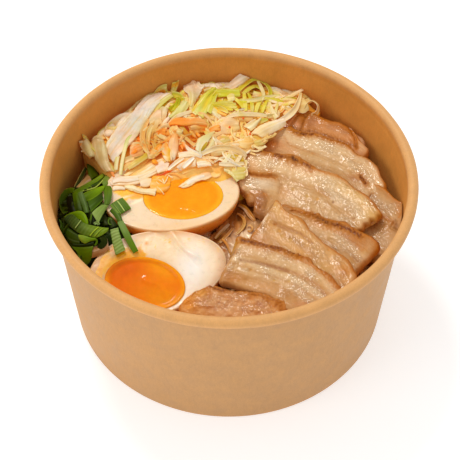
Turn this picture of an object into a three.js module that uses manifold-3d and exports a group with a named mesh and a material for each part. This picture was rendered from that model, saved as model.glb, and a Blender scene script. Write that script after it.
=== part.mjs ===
// Takeaway meal in a round kraft paper bowl: two marinated egg halves, a fan of
// pork belly slices, a heap of shredded cabbage salad and a heap of cut green
// onion, all on a bed of noodles.
// Millimetres, +Z up. Origin: centre of the circle that the bowl stands on.
// -Y is the side that the eggs and the lean end piece lie on.

import * as THREE from 'three';
import { mergeVertices } from 'three/addons/utils/BufferGeometryUtils.js';
import Module from 'manifold-3d';

const wasm = await Module();
wasm.setup();

// ---------------------------------------------------------------- dimensions

const GAP = 0.3;                       // clearance between neighbouring pieces

const BOWL = {
  rimRadius: 75,                       // outside of the rolled rim
  height: 75,
  rollRadius: 2.25,                    // section radius of the roll
  outerBottom: 66.5,                   // outside of the wall at z = 0
  outerTop: 71.5,                      // outside of the wall under the roll
  innerBottom: 65.7,                   // inside of the wall, line taken down to z = 0
  innerTop: 70.7,                      // inside of the wall at wallTop
  wallTop: 70.5,
  floorUnder: 6.0,                     // recessed base disc
  floorTop: 7.0,
  footThickness: 2.0,                  // wall folded over the disc's skirt
  segments: 48,
  rollStep: 30,                        // degrees of the roll's section per facet
};

const BED = { top: 45.5, relief: 1.6, spokes: 32, wallGap: 0.4 };

// Half eggs: centre of the cut face, half length, half width, depth, turn of the
// long axis, blunt-end factor, slope of the cut face along X and along Y.
const EGGS = {
  back: {
    face: [-23.7, 3.3, 58.5], a: 28.1, b: 20.4, depth: 20.0, turn: 4, blunt: -0.05, slopeX: 0, slopeY: 0,
    yolk: { at: [5.2, -2.0], a: 16.2, b: 12.4, depth: 11.5, turn: 4.5, sink: 0.1 },
  },
  front: {
    face: [-27.8, -33.9, 54.0], a: 27.4, b: 18.2, depth: 18.5, turn: 12, blunt: -0.1, slopeX: 2, slopeY: 13,
    yolk: { at: [-4.8, -5.2], a: 16.1, b: 11.2, depth: 11.0, turn: -15, sink: 0.9 },
  },
};
const EGG_SPOKES = 28;
const EGG_RINGS = 5;

// Pork slices, from the ones that lie lowest to the ones on top. Centre of the
// slice, direction of its length (az, degrees from +X), how far it turns along
// its length (bend) and how much of that is at the ends (hook), size, slope
// along its length (pitch), rise of its rear edge at its left and right end
// (tilt), arch, slant of its ends (skew), width factors of its ends, curl of
// its rear edge (curl, up is positive), radius of its corners in plan.
const SLICES = [
  { name: 'pork_wall_piece', at: [58.4, -7.6, 52.6], az: -52, bend: -16, hook: 0, L: 48, W: 27, T: 4.4,
    pitch: 9, tilt: [12, 20], arch: 0, skew: [0.1, -0.25], w: [1, 0.9], curl: 2.6, round: 4.0 },
  { name: 'pork_rear_offcut', at: [47.3, 38.4, 51.4], az: -36, bend: -12, hook: 0, L: 20, W: 17, T: 4.0,
    pitch: -4, tilt: [12, 12], arch: 0, skew: [0, 0], w: [1, 0.9], curl: 0, round: 3.0 },
  { name: 'pork_rear_slice', at: [39.4, 34.3, 53.7], az: -33, bend: -24, hook: 3, L: 39, W: 21, T: 4.8,
    pitch: -3, tilt: [12, 10], arch: 0.4, skew: [0.1, 0], w: [1, 0.95], curl: 0.6, round: 3.0 },
  { name: 'pork_slice_1', at: [39.2, 22.9, 54.5], az: -35.5, bend: -50, hook: -22, L: 56, W: 25, T: 4.6,
    pitch: 0, tilt: [14, 13], arch: 0.5, skew: [0.75, -0.3], w: [1, 0.72], curl: 0, round: 3.5 },
  { name: 'pork_slice_2', at: [32.2, 3.6, 56.3], az: -33, bend: -49, hook: -2, L: 56.5, W: 26, T: 4.6,
    pitch: 0.5, tilt: [13, 12], arch: 0.6, skew: [0.02, 0], w: [1.04, 0.95], curl: 0, round: 2.5 },
  { name: 'pork_slice_3', at: [35.5, -20.5, 56.8], az: -31, bend: -34, hook: -4, L: 44, W: 25, T: 4.6,
    pitch: 0, tilt: [12, 12], arch: 0.3, skew: [0, -0.1], w: [1, 1], curl: 0, round: 3.0 },
  { name: 'pork_slice_4', at: [28.9, -31.2, 59.5], az: -52, bend: -7, hook: 1, L: 51, W: 22, T: 4.4,
    pitch: -1.0, tilt: [10, 11], arch: 0.4, skew: [-0.26, -0.3], w: [1, 0.92], curl: 0, round: 2.5 },
  { name: 'pork_slice_5', at: [23.0, -43.2, 59.7], az: -32, bend: -38, hook: 2, L: 50, W: 23, T: 4.6,
    pitch: 0, tilt: [9, 9], arch: 0.4, skew: [0.22, -0.4], w: [1, 1], curl: 0, round: 2.5 },
  { name: 'pork_lean_end', at: [1.8, -55.0, 56.0], az: -7, bend: -22, hook: 0, L: 42, W: 18.5, T: 6.0,
    pitch: 2.5, tilt: [8, 9], arch: 0.9, skew: [-0.2, 0.1], w: [0.84, 0.85], curl: 0, round: 4.0 },
];
const SLICE_RINGS = 7;                 // sections between the rounded ends
const SLICE_WALL_GAP = 0.45;

const CABBAGE = {
  centre: [-6, 38], wallRadius: 69.2, spokes: 34, rings: 4,
  limits: [[0, -1, -6], [-0.774, -0.634, 33.0], [0.802, -0.597, 1.0]],
  top: 62.6, edge: 57.0, base: 44.5, relief: 1.7, ripple: 0.02,
};
const SCALLION = {
  centre: [-55, -9], wallRadius: 69.0, spokes: 28, rings: 3,
  limits: [[1, 0, -36], [0.25, 0.97, 2.0], [0.35, -0.94, 9.0]],
  top: 59.2, edge: 52.0, base: 44.5, relief: 1.5, ripple: 0.03,
};

const rad = THREE.MathUtils.degToRad;
const innerRadius = (z) => BOWL.innerBottom + (BOWL.innerTop - BOWL.innerBottom) * z / BOWL.wallTop;

// ------------------------------------------------------------ mesh <-> solid

function toSolid(geometry) {
  let g = geometry.clone();
  for (const key of Object.keys(g.attributes)) if (key !== 'position') g.deleteAttribute(key);
  g = mergeVertices(g, 1e-4);
  return new wasm.Manifold(new wasm.Mesh({
    numProp: 3,
    vertProperties: new Float32Array(g.attributes.position.array),
    triVerts: new Uint32Array(g.index.array),
  }));
}

function toGeometry(solid) {
  const m = solid.getMesh();
  const g = new THREE.BufferGeometry();
  const p = new Float32Array(m.numVert * 3);
  for (let i = 0; i < m.numVert; i++) {
    for (let k = 0; k < 3; k++) p[3 * i + k] = m.vertProperties[m.numProp * i + k];
  }
  g.setAttribute('position', new THREE.BufferAttribute(p, 3));
  g.setIndex(Array.from(m.triVerts));
  g.computeVertexNormals();
  return g;
}

// The largest closed body of a solid.
function mainBody(solid) {
  const parts = solid.decompose();
  return parts.reduce((a, b) => (b.volume() > a.volume() ? b : a));
}

const cut = (solid, tools) => mainBody(tools.reduce((s, t) => s.subtract(t), solid));

// A closed surface from rings of equal point counts, closed by a point at each
// end. Rings run from the first pole to the last, anticlockwise seen from the
// first pole.
function ringSolid(first, rings, last) {
  const n = rings[0].length;
  const pts = [first, ...rings.flat(), last];
  const idx = [];
  const at = (r, i) => 1 + r * n + (i % n);
  for (let i = 0; i < n; i++) idx.push(0, at(0, i), at(0, i + 1));
  for (let r = 0; r + 1 < rings.length; r++) {
    for (let i = 0; i < n; i++) {
      idx.push(at(r, i), at(r + 1, i), at(r + 1, i + 1));
      idx.push(at(r, i), at(r + 1, i + 1), at(r, i + 1));
    }
  }
  const end = pts.length - 1;
  for (let i = 0; i < n; i++) idx.push(at(rings.length - 1, i), end, at(rings.length - 1, i + 1));
  const g = new THREE.BufferGeometry();
  g.setAttribute('position', new THREE.Float32BufferAttribute(pts.flat(), 3));
  g.setIndex(idx);
  return g;
}

// ------------------------------------------------------------------ the bowl

// One closed profile from the axis under the base disc, round the foot, up the
// wall, over the roll and down the inside to the axis again.
function bowlGeometry() {
  const b = BOWL;
  const rollR = b.rimRadius - b.rollRadius;
  const rollZ = b.height - b.rollRadius;
  const p = [];
  const foot = b.outerBottom - b.footThickness;
  p.push([0, b.floorUnder], [foot + 0.4, b.floorUnder], [foot, 0], [b.outerBottom, 0]);
  const start = Math.acos((b.outerTop - rollR) / b.rollRadius);     // where the wall meets the roll
  p.push([b.outerTop, rollZ - b.rollRadius * Math.sin(start)]);
  for (let deg = -90; deg <= 180; deg += b.rollStep) {
    p.push([rollR + b.rollRadius * Math.cos(rad(deg)), rollZ + b.rollRadius * Math.sin(rad(deg))]);
  }
  p.push([b.innerTop, b.wallTop], [innerRadius(b.floorTop), b.floorTop], [0, b.floorTop]);
  const g = new THREE.LatheGeometry(p.map(([x, y]) => new THREE.Vector2(x, y)), b.segments);
  return g.rotateX(Math.PI / 2);
}

// The room inside the bowl, kept clear of the wall and the floor.
function insideSolid(gap) {
  const ring = (z) => {
    const r = innerRadius(z) - gap;
    return Array.from({ length: BOWL.segments }, (_, i) => {
      const a = 2 * Math.PI * i / BOWL.segments;
      return [r * Math.cos(a), r * Math.sin(a), z];
    });
  };
  const low = BOWL.floorTop + gap;
  return toSolid(ringSolid([0, 0, BOWL.height + 5], [ring(BOWL.height + 5), ring(low)], [0, 0, low]));
}

// ------------------------------------------------------------------ the eggs

function eggFrame(egg) {
  const n = new THREE.Vector3(-Math.tan(rad(egg.slopeX)), -Math.tan(rad(egg.slopeY)), 1).normalize();
  const e1 = new THREE.Vector3(1, 0, 0).addScaledVector(n, -n.x).normalize();
  const e2 = new THREE.Vector3().crossVectors(n, e1);
  return { n, e1, e2, o: new THREE.Vector3(...egg.face) };
}

// A half body of egg shape under its flat face. grow makes it larger all
// round, lift raises the face along its normal.
function halfEgg(frame, shape, grow, lift) {
  const c = Math.cos(rad(shape.turn));
  const s = Math.sin(rad(shape.turn));
  const [ox, oy] = shape.at ?? [0, 0];
  const place = (x, y, z) => {
    const u = ox + x * c - y * s;
    const v = oy + x * s + y * c;
    return frame.o.clone().addScaledVector(frame.e1, u).addScaledVector(frame.e2, v)
      .addScaledVector(frame.n, z).toArray();
  };
  const a = shape.a + grow;
  const b = shape.b + grow;
  const d = shape.depth + grow;
  const k = shape.blunt ?? 0;
  const ring = (f, z) => Array.from({ length: EGG_SPOKES }, (_, i) => {
    const t = 2 * Math.PI * i / EGG_SPOKES;
    return place(f * a * Math.cos(t), f * b * Math.sin(t) * (1 + k * Math.cos(t)), z);
  });
  const rings = [ring(1, lift)];
  if (lift > 0.5) rings.push(ring(1, 0));
  for (let i = 1; i < EGG_RINGS; i++) {
    const t = (Math.PI / 2) * i / EGG_RINGS;
    rings.push(ring(Math.cos(t), -d * Math.sin(t)));
  }
  return ringSolid(place(0, 0, lift), rings, place(0, 0, -d));
}

function makeEgg(egg) {
  const frame = eggFrame(egg);
  const yolk = { ...egg.yolk };
  return {
    white: cut(toSolid(halfEgg(frame, egg, 0, 0)), [toSolid(halfEgg(frame, yolk, GAP, 2))]),
    yolk: toSolid(halfEgg(frame, yolk, 0, -yolk.sink)),
    grown: toSolid(halfEgg(frame, egg, GAP, GAP)),
  };
}

// ---------------------------------------------------------------- the slices

// Axis of a slice: a curve in plan whose direction changes along its length.
function sliceAxis(p) {
  const steps = 80;
  const dir = (s) => rad(p.az) + rad(p.bend) * s / 2 + rad(p.hook) * (s * s - 1 / 3);
  const xs = [0];
  const ys = [0];
  for (let i = 1; i <= steps; i++) {
    const m = dir(-1 + 2 * (i - 0.5) / steps);
    xs.push(xs[i - 1] + Math.cos(m) * p.L / steps);
    ys.push(ys[i - 1] + Math.sin(m) * p.L / steps);
  }
  const mid = steps / 2;
  return (s) => {
    const f = (Math.min(Math.max(s, -1), 1) + 1) / 2 * steps;
    const i = Math.min(Math.floor(f), steps - 1);
    const w = f - i;
    return {
      x: p.at[0] + xs[i] * (1 - w) + xs[i + 1] * w - xs[mid],
      y: p.at[1] + ys[i] * (1 - w) + ys[i + 1] * w - ys[mid],
      z: p.at[2] + p.L / 2 * s * Math.tan(rad(p.pitch)) + p.arch * (1 - s * s),
      dir: dir(s),
    };
  };
}

function slice(p, grow = 0) {
  const axis = sliceAxis(p);
  const L = p.L + 2 * grow;
  const stretch = L / p.L;
  const R = p.round;
  const across = [                     // section, as shares of half width and half thickness
    [1, 0], [0.98, 0.65], [0.88, 1], [0.3, 1.04], [-0.3, 1.04], [-0.88, 1], [-0.98, 0.65],
    [-1, 0], [-0.97, -0.7], [-0.82, -1], [0.1, -1], [0.82, -1], [0.97, -0.7],
  ];
  const ends = [0, 0.3 * R, R];        // distance of the rounded sections from an end
  const dist = [...ends];
  for (let i = 1; i < SLICE_RINGS; i++) dist.push(R + (L - 2 * R) * i / SLICE_RINGS);
  dist.push(...ends.map((d) => L - d).reverse());
  const rings = dist.map((d) => {
    const s = -1 + 2 * d / L;
    const c = axis(s * Math.min(stretch, 1));
    const over = (Math.abs(s) * L / 2 - p.L / 2);
    const ahead = over > 0 ? Math.sign(s) * over : 0;
    const e = Math.min(d, L - d);
    const corner = e < R ? R - Math.sqrt(R * R - (R - e) * (R - e)) : 0;
    const f = (s + 1) / 2;
    const half = p.W / 2 * (p.w[0] * (1 - f) + p.w[1] * f) + grow - corner
      + 0.5 * Math.sin(5.1 * s + p.az) + 0.3 * Math.sin(11 * s + p.L);
    const thick = (p.T / 2 + grow) * (e < R ? 0.45 + 0.55 * Math.sqrt(1 - (1 - e / R) ** 2) : 1);
    const roll = rad(p.tilt[0] * (1 - f) + p.tilt[1] * f);
    const skew = p.skew[0] * (1 - f) + p.skew[1] * f;
    const u = [Math.cos(c.dir), Math.sin(c.dir)];
    const v = [-u[1], u[0]];
    return across.map(([t, h]) => {
      const w = t * half;
      const k = h * thick;
      return [
        c.x + v[0] * (w * Math.cos(roll) - k * Math.sin(roll)) + u[0] * (skew * w + ahead),
        c.y + v[1] * (w * Math.cos(roll) - k * Math.sin(roll)) + u[1] * (skew * w + ahead),
        c.z + w * Math.sin(roll) + k * Math.cos(roll) + p.curl * Math.max(0, t) ** 2,
      ];
    }).reverse();
  });
  const middle = (ring) => [0, 1, 2].map((k) => ring.reduce((a, q) => a + q[k], 0) / ring.length);
  return ringSolid(middle(rings[0]), rings, middle(rings[rings.length - 1]));
}

// ----------------------------------------------------------------- the heaps

const bump = (x, y, k) => Math.sin(0.19 * x + 0.13 * y + k) * 0.55
  + Math.sin(-0.11 * x + 0.27 * y + 2.3 * k) * 0.45 + 0.35 * Math.sin(0.41 * x - 0.33 * y + 1.7 * k);

// A heap between the wall and straight limits [nx, ny, d] with n . p <= d, with
// an uneven outline and a domed, uneven top.
function heap(h, grow = 0) {
  const [cx, cy] = h.centre;
  const reach = (a) => {
    const dx = Math.cos(a);
    const dy = Math.sin(a);
    const R = h.wallRadius;
    const b = cx * dx + cy * dy;
    let t = -b + Math.sqrt(b * b - (cx * cx + cy * cy - R * R));
    for (const [nx, ny, d] of h.limits) {
      const q = nx * dx + ny * dy;
      if (q > 1e-6) t = Math.min(t, (d - nx * cx - ny * cy) / q);
    }
    return t * (1 - h.ripple * (1 + Math.sin(7 * a + 1) * 0.6 + Math.sin(13 * a) * 0.4)) + grow;
  };
  const ring = (f, height) => Array.from({ length: h.spokes }, (_, i) => {
    const a = 2 * Math.PI * i / h.spokes;
    const t = reach(a) * f;
    const x = cx + t * Math.cos(a);
    const y = cy + t * Math.sin(a);
    return [x, y, height(x, y, f)];
  });
  const top = (x, y, f) => h.edge + (h.top - h.edge) * Math.sqrt(Math.max(0, 1 - f ** 2.6))
    + h.relief * bump(x, y, 1) * (1 - 0.5 * f) + grow;
  const rings = [];
  for (let i = 1; i <= h.rings; i++) rings.push(ring(i / h.rings, top));
  rings.push(ring(0.985, () => h.base - grow));
  return ringSolid([cx, cy, top(cx, cy, 0)], rings, [cx, cy, h.base - grow]);
}

function bed() {
  const top = (x, y) => BED.top + BED.relief * bump(1.7 * x, 1.7 * y, 0.4);
  const ring = (r, height) => Array.from({ length: BED.spokes }, (_, i) => {
    const a = 2 * Math.PI * i / BED.spokes;
    const x = r * Math.cos(a);
    const y = r * Math.sin(a);
    return [x, y, height(x, y)];
  });
  const low = BOWL.floorTop + BED.wallGap;
  const rings = [15, 32, 49].map((r) => ring(r, top));
  rings.push(ring(innerRadius(BED.top - 2) - BED.wallGap - 0.4, (x, y) => top(x, y) - 1));
  rings.push(ring(innerRadius(low) - BED.wallGap - 0.2, () => low));
  return toSolid(ringSolid([0, 0, top(0, 0)], rings, [0, 0, low]));
}

// ------------------------------------------------------------------ assembly

const inside = insideSolid(SLICE_WALL_GAP);
const back = makeEgg(EGGS.back);
const front = makeEgg(EGGS.front);
const frontGrown = front.grown;
const backWhite = cut(back.white.intersect(inside), [frontGrown]);
const frontWhite = mainBody(front.white.intersect(inside));

// Each slice is trimmed where a slice above it presses into it.
const whole = SLICES.map((p) => ({ p, solid: toSolid(slice(p)), grown: toSolid(slice(p, GAP)) }));
const slices = whole.map(({ p, solid }, i) => ({
  name: p.name,
  solid: cut(solid.intersect(inside), [back.grown, frontGrown, ...whole.slice(i + 1).map((o) => o.grown)]),
}));

const grownSlices = whole.map((o) => o.grown);
const cabbage = cut(toSolid(heap(CABBAGE)).intersect(inside), [back.grown, frontGrown, ...grownSlices]);
const cabbageGrown = toSolid(heap(CABBAGE, GAP));
const scallion = cut(toSolid(heap(SCALLION)).intersect(inside), [back.grown, frontGrown, cabbageGrown]);
const scallionGrown = toSolid(heap(SCALLION, GAP));
const noodles = cut(bed(), [back.grown, frontGrown, ...grownSlices, cabbageGrown, scallionGrown]);

const group = new THREE.Group();
function add(name, geometry, colour, roughness) {
  const mesh = new THREE.Mesh(geometry, new THREE.MeshStandardMaterial({ color: colour, roughness, metalness: 0 }));
  mesh.name = name;
  group.add(mesh);
}

add('bowl', bowlGeometry(), 0xd0a067, 0.7);
add('noodle_bed', toGeometry(noodles), 0xe6d3b0, 0.4);
add('cabbage_heap', toGeometry(cabbage), 0xe2e2a8, 0.45);
add('scallion_heap', toGeometry(scallion), 0x3c7a28, 0.4);
add('egg_back_white', toGeometry(backWhite), 0xf3e0c4, 0.35);
add('egg_back_yolk', toGeometry(back.yolk), 0xf79c0c, 0.2);
add('egg_front_white', toGeometry(frontWhite), 0xf0e2cf, 0.3);
add('egg_front_yolk', toGeometry(front.yolk), 0xee7f0c, 0.15);
for (const { name, solid } of slices) add(name, toGeometry(solid), 0xcfa37a, 0.35);

export default group;
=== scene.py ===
# Looks of a takeaway meal in a round kraft paper bowl: two marinated egg halves, a fan of pork belly slices, a heap of
# shredded cabbage salad and a heap of cut green onion on a bed of noodles. All lengths below are millimetres in the
# CAD frame; meshes are written in metres.
import math

import bpy
import numpy as np
from mathutils import Matrix, Vector


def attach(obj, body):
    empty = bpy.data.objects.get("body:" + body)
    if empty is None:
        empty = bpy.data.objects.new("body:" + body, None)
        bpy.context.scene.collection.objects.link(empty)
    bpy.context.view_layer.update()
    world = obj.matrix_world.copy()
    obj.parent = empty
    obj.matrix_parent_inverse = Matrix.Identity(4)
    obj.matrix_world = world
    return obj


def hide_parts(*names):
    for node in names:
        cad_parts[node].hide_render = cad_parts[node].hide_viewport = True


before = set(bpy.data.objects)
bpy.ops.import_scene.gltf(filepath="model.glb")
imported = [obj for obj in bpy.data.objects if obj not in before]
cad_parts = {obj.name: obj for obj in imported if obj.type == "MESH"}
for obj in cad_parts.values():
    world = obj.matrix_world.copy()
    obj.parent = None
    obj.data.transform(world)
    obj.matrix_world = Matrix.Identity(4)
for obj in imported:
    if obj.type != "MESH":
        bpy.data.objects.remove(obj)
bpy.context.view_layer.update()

# ------------------------------------------------------------------------------------------------ dimensions (mm, deg)

BOWL = dict(rim=75.0, height=75.0, roll=2.25, outer_bottom=66.5, outer_top=71.5, inner_bottom=65.7, inner_top=70.7,
            wall_top=70.5, floor_under=6.0, floor_top=7.0, foot=2.0)
BED = dict(top=45.5, relief=1.6)
EGGS = dict(
    back=dict(face=(-23.7, 3.3, 58.5), a=28.1, b=20.4, depth=20.0, turn=4, blunt=-0.05, slope_x=0, slope_y=0,
              yolk=dict(at=(5.2, -2.0), a=16.2, b=12.4, depth=11.5, turn=4.5, sink=0.1)),
    front=dict(face=(-27.8, -33.9, 54.0), a=27.4, b=18.2, depth=18.5, turn=12, blunt=-0.1, slope_x=2, slope_y=13,
               yolk=dict(at=(-4.8, -5.2), a=16.1, b=11.2, depth=11.0, turn=-15, sink=0.9)))
SLICES = [
    dict(name='pork_wall_piece', at=(58.4, -7.6, 52.6), az=-52, bend=-16, hook=0, L=48, W=27, T=4.4, pitch=9,
         tilt=(12, 20), arch=0, skew=(0.1, -0.25), w=(1, 0.9), curl=2.6, round=4.0),
    dict(name='pork_rear_offcut', at=(47.3, 38.4, 51.4), az=-36, bend=-12, hook=0, L=20, W=17, T=4.0, pitch=-4,
         tilt=(12, 12), arch=0, skew=(0, 0), w=(1, 0.9), curl=0, round=3.0),
    dict(name='pork_rear_slice', at=(39.4, 34.3, 53.7), az=-33, bend=-24, hook=3, L=39, W=21, T=4.8, pitch=-3,
         tilt=(12, 10), arch=0.4, skew=(0.1, 0), w=(1, 0.95), curl=0.6, round=3.0),
    dict(name='pork_slice_1', at=(39.2, 22.9, 54.5), az=-35.5, bend=-50, hook=-22, L=56, W=25, T=4.6, pitch=0,
         tilt=(14, 13), arch=0.5, skew=(0.75, -0.3), w=(1, 0.72), curl=0, round=3.5),
    dict(name='pork_slice_2', at=(32.2, 3.6, 56.3), az=-33, bend=-49, hook=-2, L=56.5, W=26, T=4.6, pitch=0.5,
         tilt=(13, 12), arch=0.6, skew=(0.02, 0), w=(1.04, 0.95), curl=0, round=2.5),
    dict(name='pork_slice_3', at=(35.5, -20.5, 56.8), az=-31, bend=-34, hook=-4, L=44, W=25, T=4.6, pitch=0,
         tilt=(12, 12), arch=0.3, skew=(0, -0.1), w=(1, 1), curl=0, round=3.0),
    dict(name='pork_slice_4', at=(28.9, -31.2, 59.5), az=-52, bend=-7, hook=1, L=51, W=22, T=4.4, pitch=-1.0,
         tilt=(10, 11), arch=0.4, skew=(-0.26, -0.3), w=(1, 0.92), curl=0, round=2.5),
    dict(name='pork_slice_5', at=(23.0, -43.2, 59.7), az=-32, bend=-38, hook=2, L=50, W=23, T=4.6, pitch=0,
         tilt=(9, 9), arch=0.4, skew=(0.22, -0.4), w=(1, 1), curl=0, round=2.5),
    dict(name='pork_lean_end', at=(1.8, -55.0, 56.0), az=-7, bend=-22, hook=0, L=42, W=18.5, T=6.0, pitch=2.5,
         tilt=(8, 9), arch=0.9, skew=(-0.2, 0.1), w=(0.84, 0.85), curl=0, round=4.0),
]
CABBAGE = dict(centre=(-6, 38), wall=69.2, limits=[(0, -1, -6), (-0.774, -0.634, 33.0), (0.802, -0.597, 1.0)],
               top=62.6, edge=57.0, base=44.5, relief=1.7, ripple=0.02)
SCALLION = dict(centre=(-55, -9), wall=69.0, limits=[(1, 0, -36), (0.25, 0.97, 2.0), (0.35, -0.94, 9.0)],
                top=59.2, edge=52.0, base=44.5, relief=1.5, ripple=0.03)

# ------------------------------------------------------------------------------------------------------------- camera

EL, ROLL, DIST, FOCAL, TX, TY = math.radians(49.455), math.radians(0.168), 525.0, 1256.75, 228.86, 232.56
TARGET = np.array([0.0, 0.0, 37.5])


def unit(v):
    v = np.asarray(v, float)
    return v / np.maximum(np.linalg.norm(v, axis=-1, keepdims=True), 1e-12)


def camera_basis():
    back = np.array([0, -math.cos(EL), math.sin(EL)])
    eye = TARGET + back * DIST
    fwd, right = -back, np.array([1.0, 0, 0])
    up = np.cross(right, fwd)
    f = unit(fwd - right * (TX - 230) / FOCAL + up * (TY - 230) / FOCAL)
    r0 = unit(np.cross(f, up))
    u0 = np.cross(r0, f)
    return eye, f, math.cos(ROLL) * r0 + math.sin(ROLL) * u0, -math.sin(ROLL) * r0 + math.cos(ROLL) * u0


EYE, CF, CR, CU = camera_basis()
cam = bpy.data.objects.new("camera", bpy.data.cameras.new("camera"))
bpy.context.scene.collection.objects.link(cam)
cam.data.sensor_width = 36.0
cam.data.lens = FOCAL * 36.0 / 460.0
cam.data.clip_start, cam.data.clip_end = 0.02, 20.0
m = Matrix.Identity(4)
for i in range(3):
    m[i][0], m[i][1], m[i][2], m[i][3] = CR[i], CU[i], -CF[i], EYE[i] * 0.001
cam.matrix_world = m
bpy.context.scene.camera = cam


def at_px(p):
    """Points (px, py, z) of the picture frame, each on the horizontal plane at its z, in the CAD frame."""
    p = np.atleast_2d(np.asarray(p, float))
    d = CF + CR * (p[:, :1] - 230) / FOCAL - CU * (p[:, 1:2] - 230) / FOCAL
    return EYE + d * ((p[:, 2:3] - EYE[2]) / d[:, 2:3])


def to_px(v):
    q = np.asarray(v, float) - EYE
    z = q @ CF
    return np.stack([230 + FOCAL * (q @ CR) / z, 230 - FOCAL * (q @ CU) / z], -1)


# -------------------------------------------------------------------------------------------------------- small tools

def lin(r, g, b):
    c = np.array([r, g, b], float) / 255
    return np.where(c <= 0.04045, c / 12.92, ((c + 0.055) / 1.055) ** 2.4)


def mix(a, b, f):
    f = np.asarray(f, float)[..., None]
    return np.asarray(a) * (1 - f) + np.asarray(b) * f


def step(e0, e1, x):
    t = np.clip((np.asarray(x, float) - e0) / (e1 - e0), 0, 1)
    return t * t * (3 - 2 * t)


class Noise:
    def __init__(self, seed):
        r = np.random.RandomState(seed)
        self.p = np.concatenate([r.permutation(256)] * 3)
        self.g = unit(r.normal(size=(256, 3)))

    def __call__(self, v):
        v = np.asarray(v, float)
        i = np.floor(v).astype(int)
        f = v - i
        i = i & 255
        u = f ** 3 * (f * (f * 6 - 15) + 10)
        out = 0.0
        for dx in (0, 1):
            for dy in (0, 1):
                for dz in (0, 1):
                    h = self.p[self.p[self.p[(i[..., 0] + dx) & 255] + ((i[..., 1] + dy) & 255)] + ((i[..., 2] + dz) & 255)]
                    g = self.g[h & 255]
                    d = g[..., 0] * (f[..., 0] - dx) + g[..., 1] * (f[..., 1] - dy) + g[..., 2] * (f[..., 2] - dz)
                    w = (u[..., 0] if dx else 1 - u[..., 0]) * (u[..., 1] if dy else 1 - u[..., 1]) * (u[..., 2] if dz else 1 - u[..., 2])
                    out = out + d * w
        return out * 1.6

    def fbm(self, v, octaves=3, gain=0.5):
        v = np.asarray(v, float)
        s, a, t = 0.0, 1.0, 0.0
        for k in range(octaves):
            s = s + a * self(v * 2.03 ** k + 17.3 * k)
            t += a
            a *= gain
        return s / t


NZ = Noise(7)
NY = Noise(23)


def xyz(*c):
    return np.stack(np.broadcast_arrays(*[np.asarray(k, float) for k in c]), -1)


def spline(pts, n):
    """n + 1 points on a smooth curve through pts (rows), spaced by chord length."""
    pts = np.asarray(pts, float)
    if len(pts) == 2:
        t = np.linspace(0, 1, n + 1)[:, None]
        return pts[0] * (1 - t) + pts[1] * t
    k = min(3, pts.shape[1])
    d = np.linalg.norm(np.diff(pts[:, :k], axis=0), axis=1)
    s = np.concatenate([[0], np.cumsum(np.maximum(d, 1e-6))])
    m_ = np.zeros_like(pts)
    m_[1:-1] = (pts[2:] - pts[:-2]) / (s[2:] - s[:-2])[:, None]
    m_[0] = 2 * (pts[1] - pts[0]) / (s[1] - s[0]) - m_[1]
    m_[-1] = 2 * (pts[-1] - pts[-2]) / (s[-1] - s[-2]) - m_[-2]
    q = np.linspace(0, s[-1], n + 1)
    i = np.clip(np.searchsorted(s, q, side='right') - 1, 0, len(s) - 2)
    h = (s[i + 1] - s[i])[:, None]
    t = ((q - s[i])[:, None]) / h
    return ((2 * t ** 3 - 3 * t ** 2 + 1) * pts[i] + (t ** 3 - 2 * t ** 2 + t) * h * m_[i]
            + (-2 * t ** 3 + 3 * t ** 2) * pts[i + 1] + (t ** 3 - t ** 2) * h * m_[i + 1])


def inner_radius(z):
    return BOWL['inner_bottom'] + (BOWL['inner_top'] - BOWL['inner_bottom']) * np.asarray(z, float) / BOWL['wall_top']


def keep_inside(v, gap=0.5):
    """Pulls points back towards the axis where they would pass the bowl's wall."""
    v = np.array(v, float)
    r = np.hypot(v[..., 0], v[..., 1])
    f = np.minimum(1, (inner_radius(v[..., 2]) - gap) / np.maximum(r, 1e-6))
    v[..., 0] *= f
    v[..., 1] *= f
    return v


def along(px, line):
    """Distance of picture points to a polyline of the picture frame, and the share of its length there."""
    line = np.asarray(line, float)
    best = np.full(px.shape[:-1], 1e9)
    where = np.zeros(px.shape[:-1])
    seg = np.linalg.norm(np.diff(line, axis=0), axis=1)
    acc = np.concatenate([[0], np.cumsum(seg)]) / max(seg.sum(), 1e-9)
    for k in range(len(line) - 1):
        a, b = line[k], line[k + 1]
        d = b - a
        t = np.clip(((px - a) @ d) / max(d @ d, 1e-9), 0, 1)
        dist = np.linalg.norm(px - a - t[..., None] * d, axis=-1)
        m_ = dist < best
        best = np.where(m_, dist, best)
        where = np.where(m_, acc[k] + t * (acc[k + 1] - acc[k]), where)
    return best, where


def blob(px, cx, cy, rx, ry, ang=0.0, sharp=2.0):
    c, s = math.cos(math.radians(ang)), math.sin(math.radians(ang))
    x, y = px[..., 0] - cx, px[..., 1] - cy
    q = ((x * c + y * s) / rx) ** 2 + ((-x * s + y * c) / ry) ** 2
    return np.exp(-q ** (sharp / 2))


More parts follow.
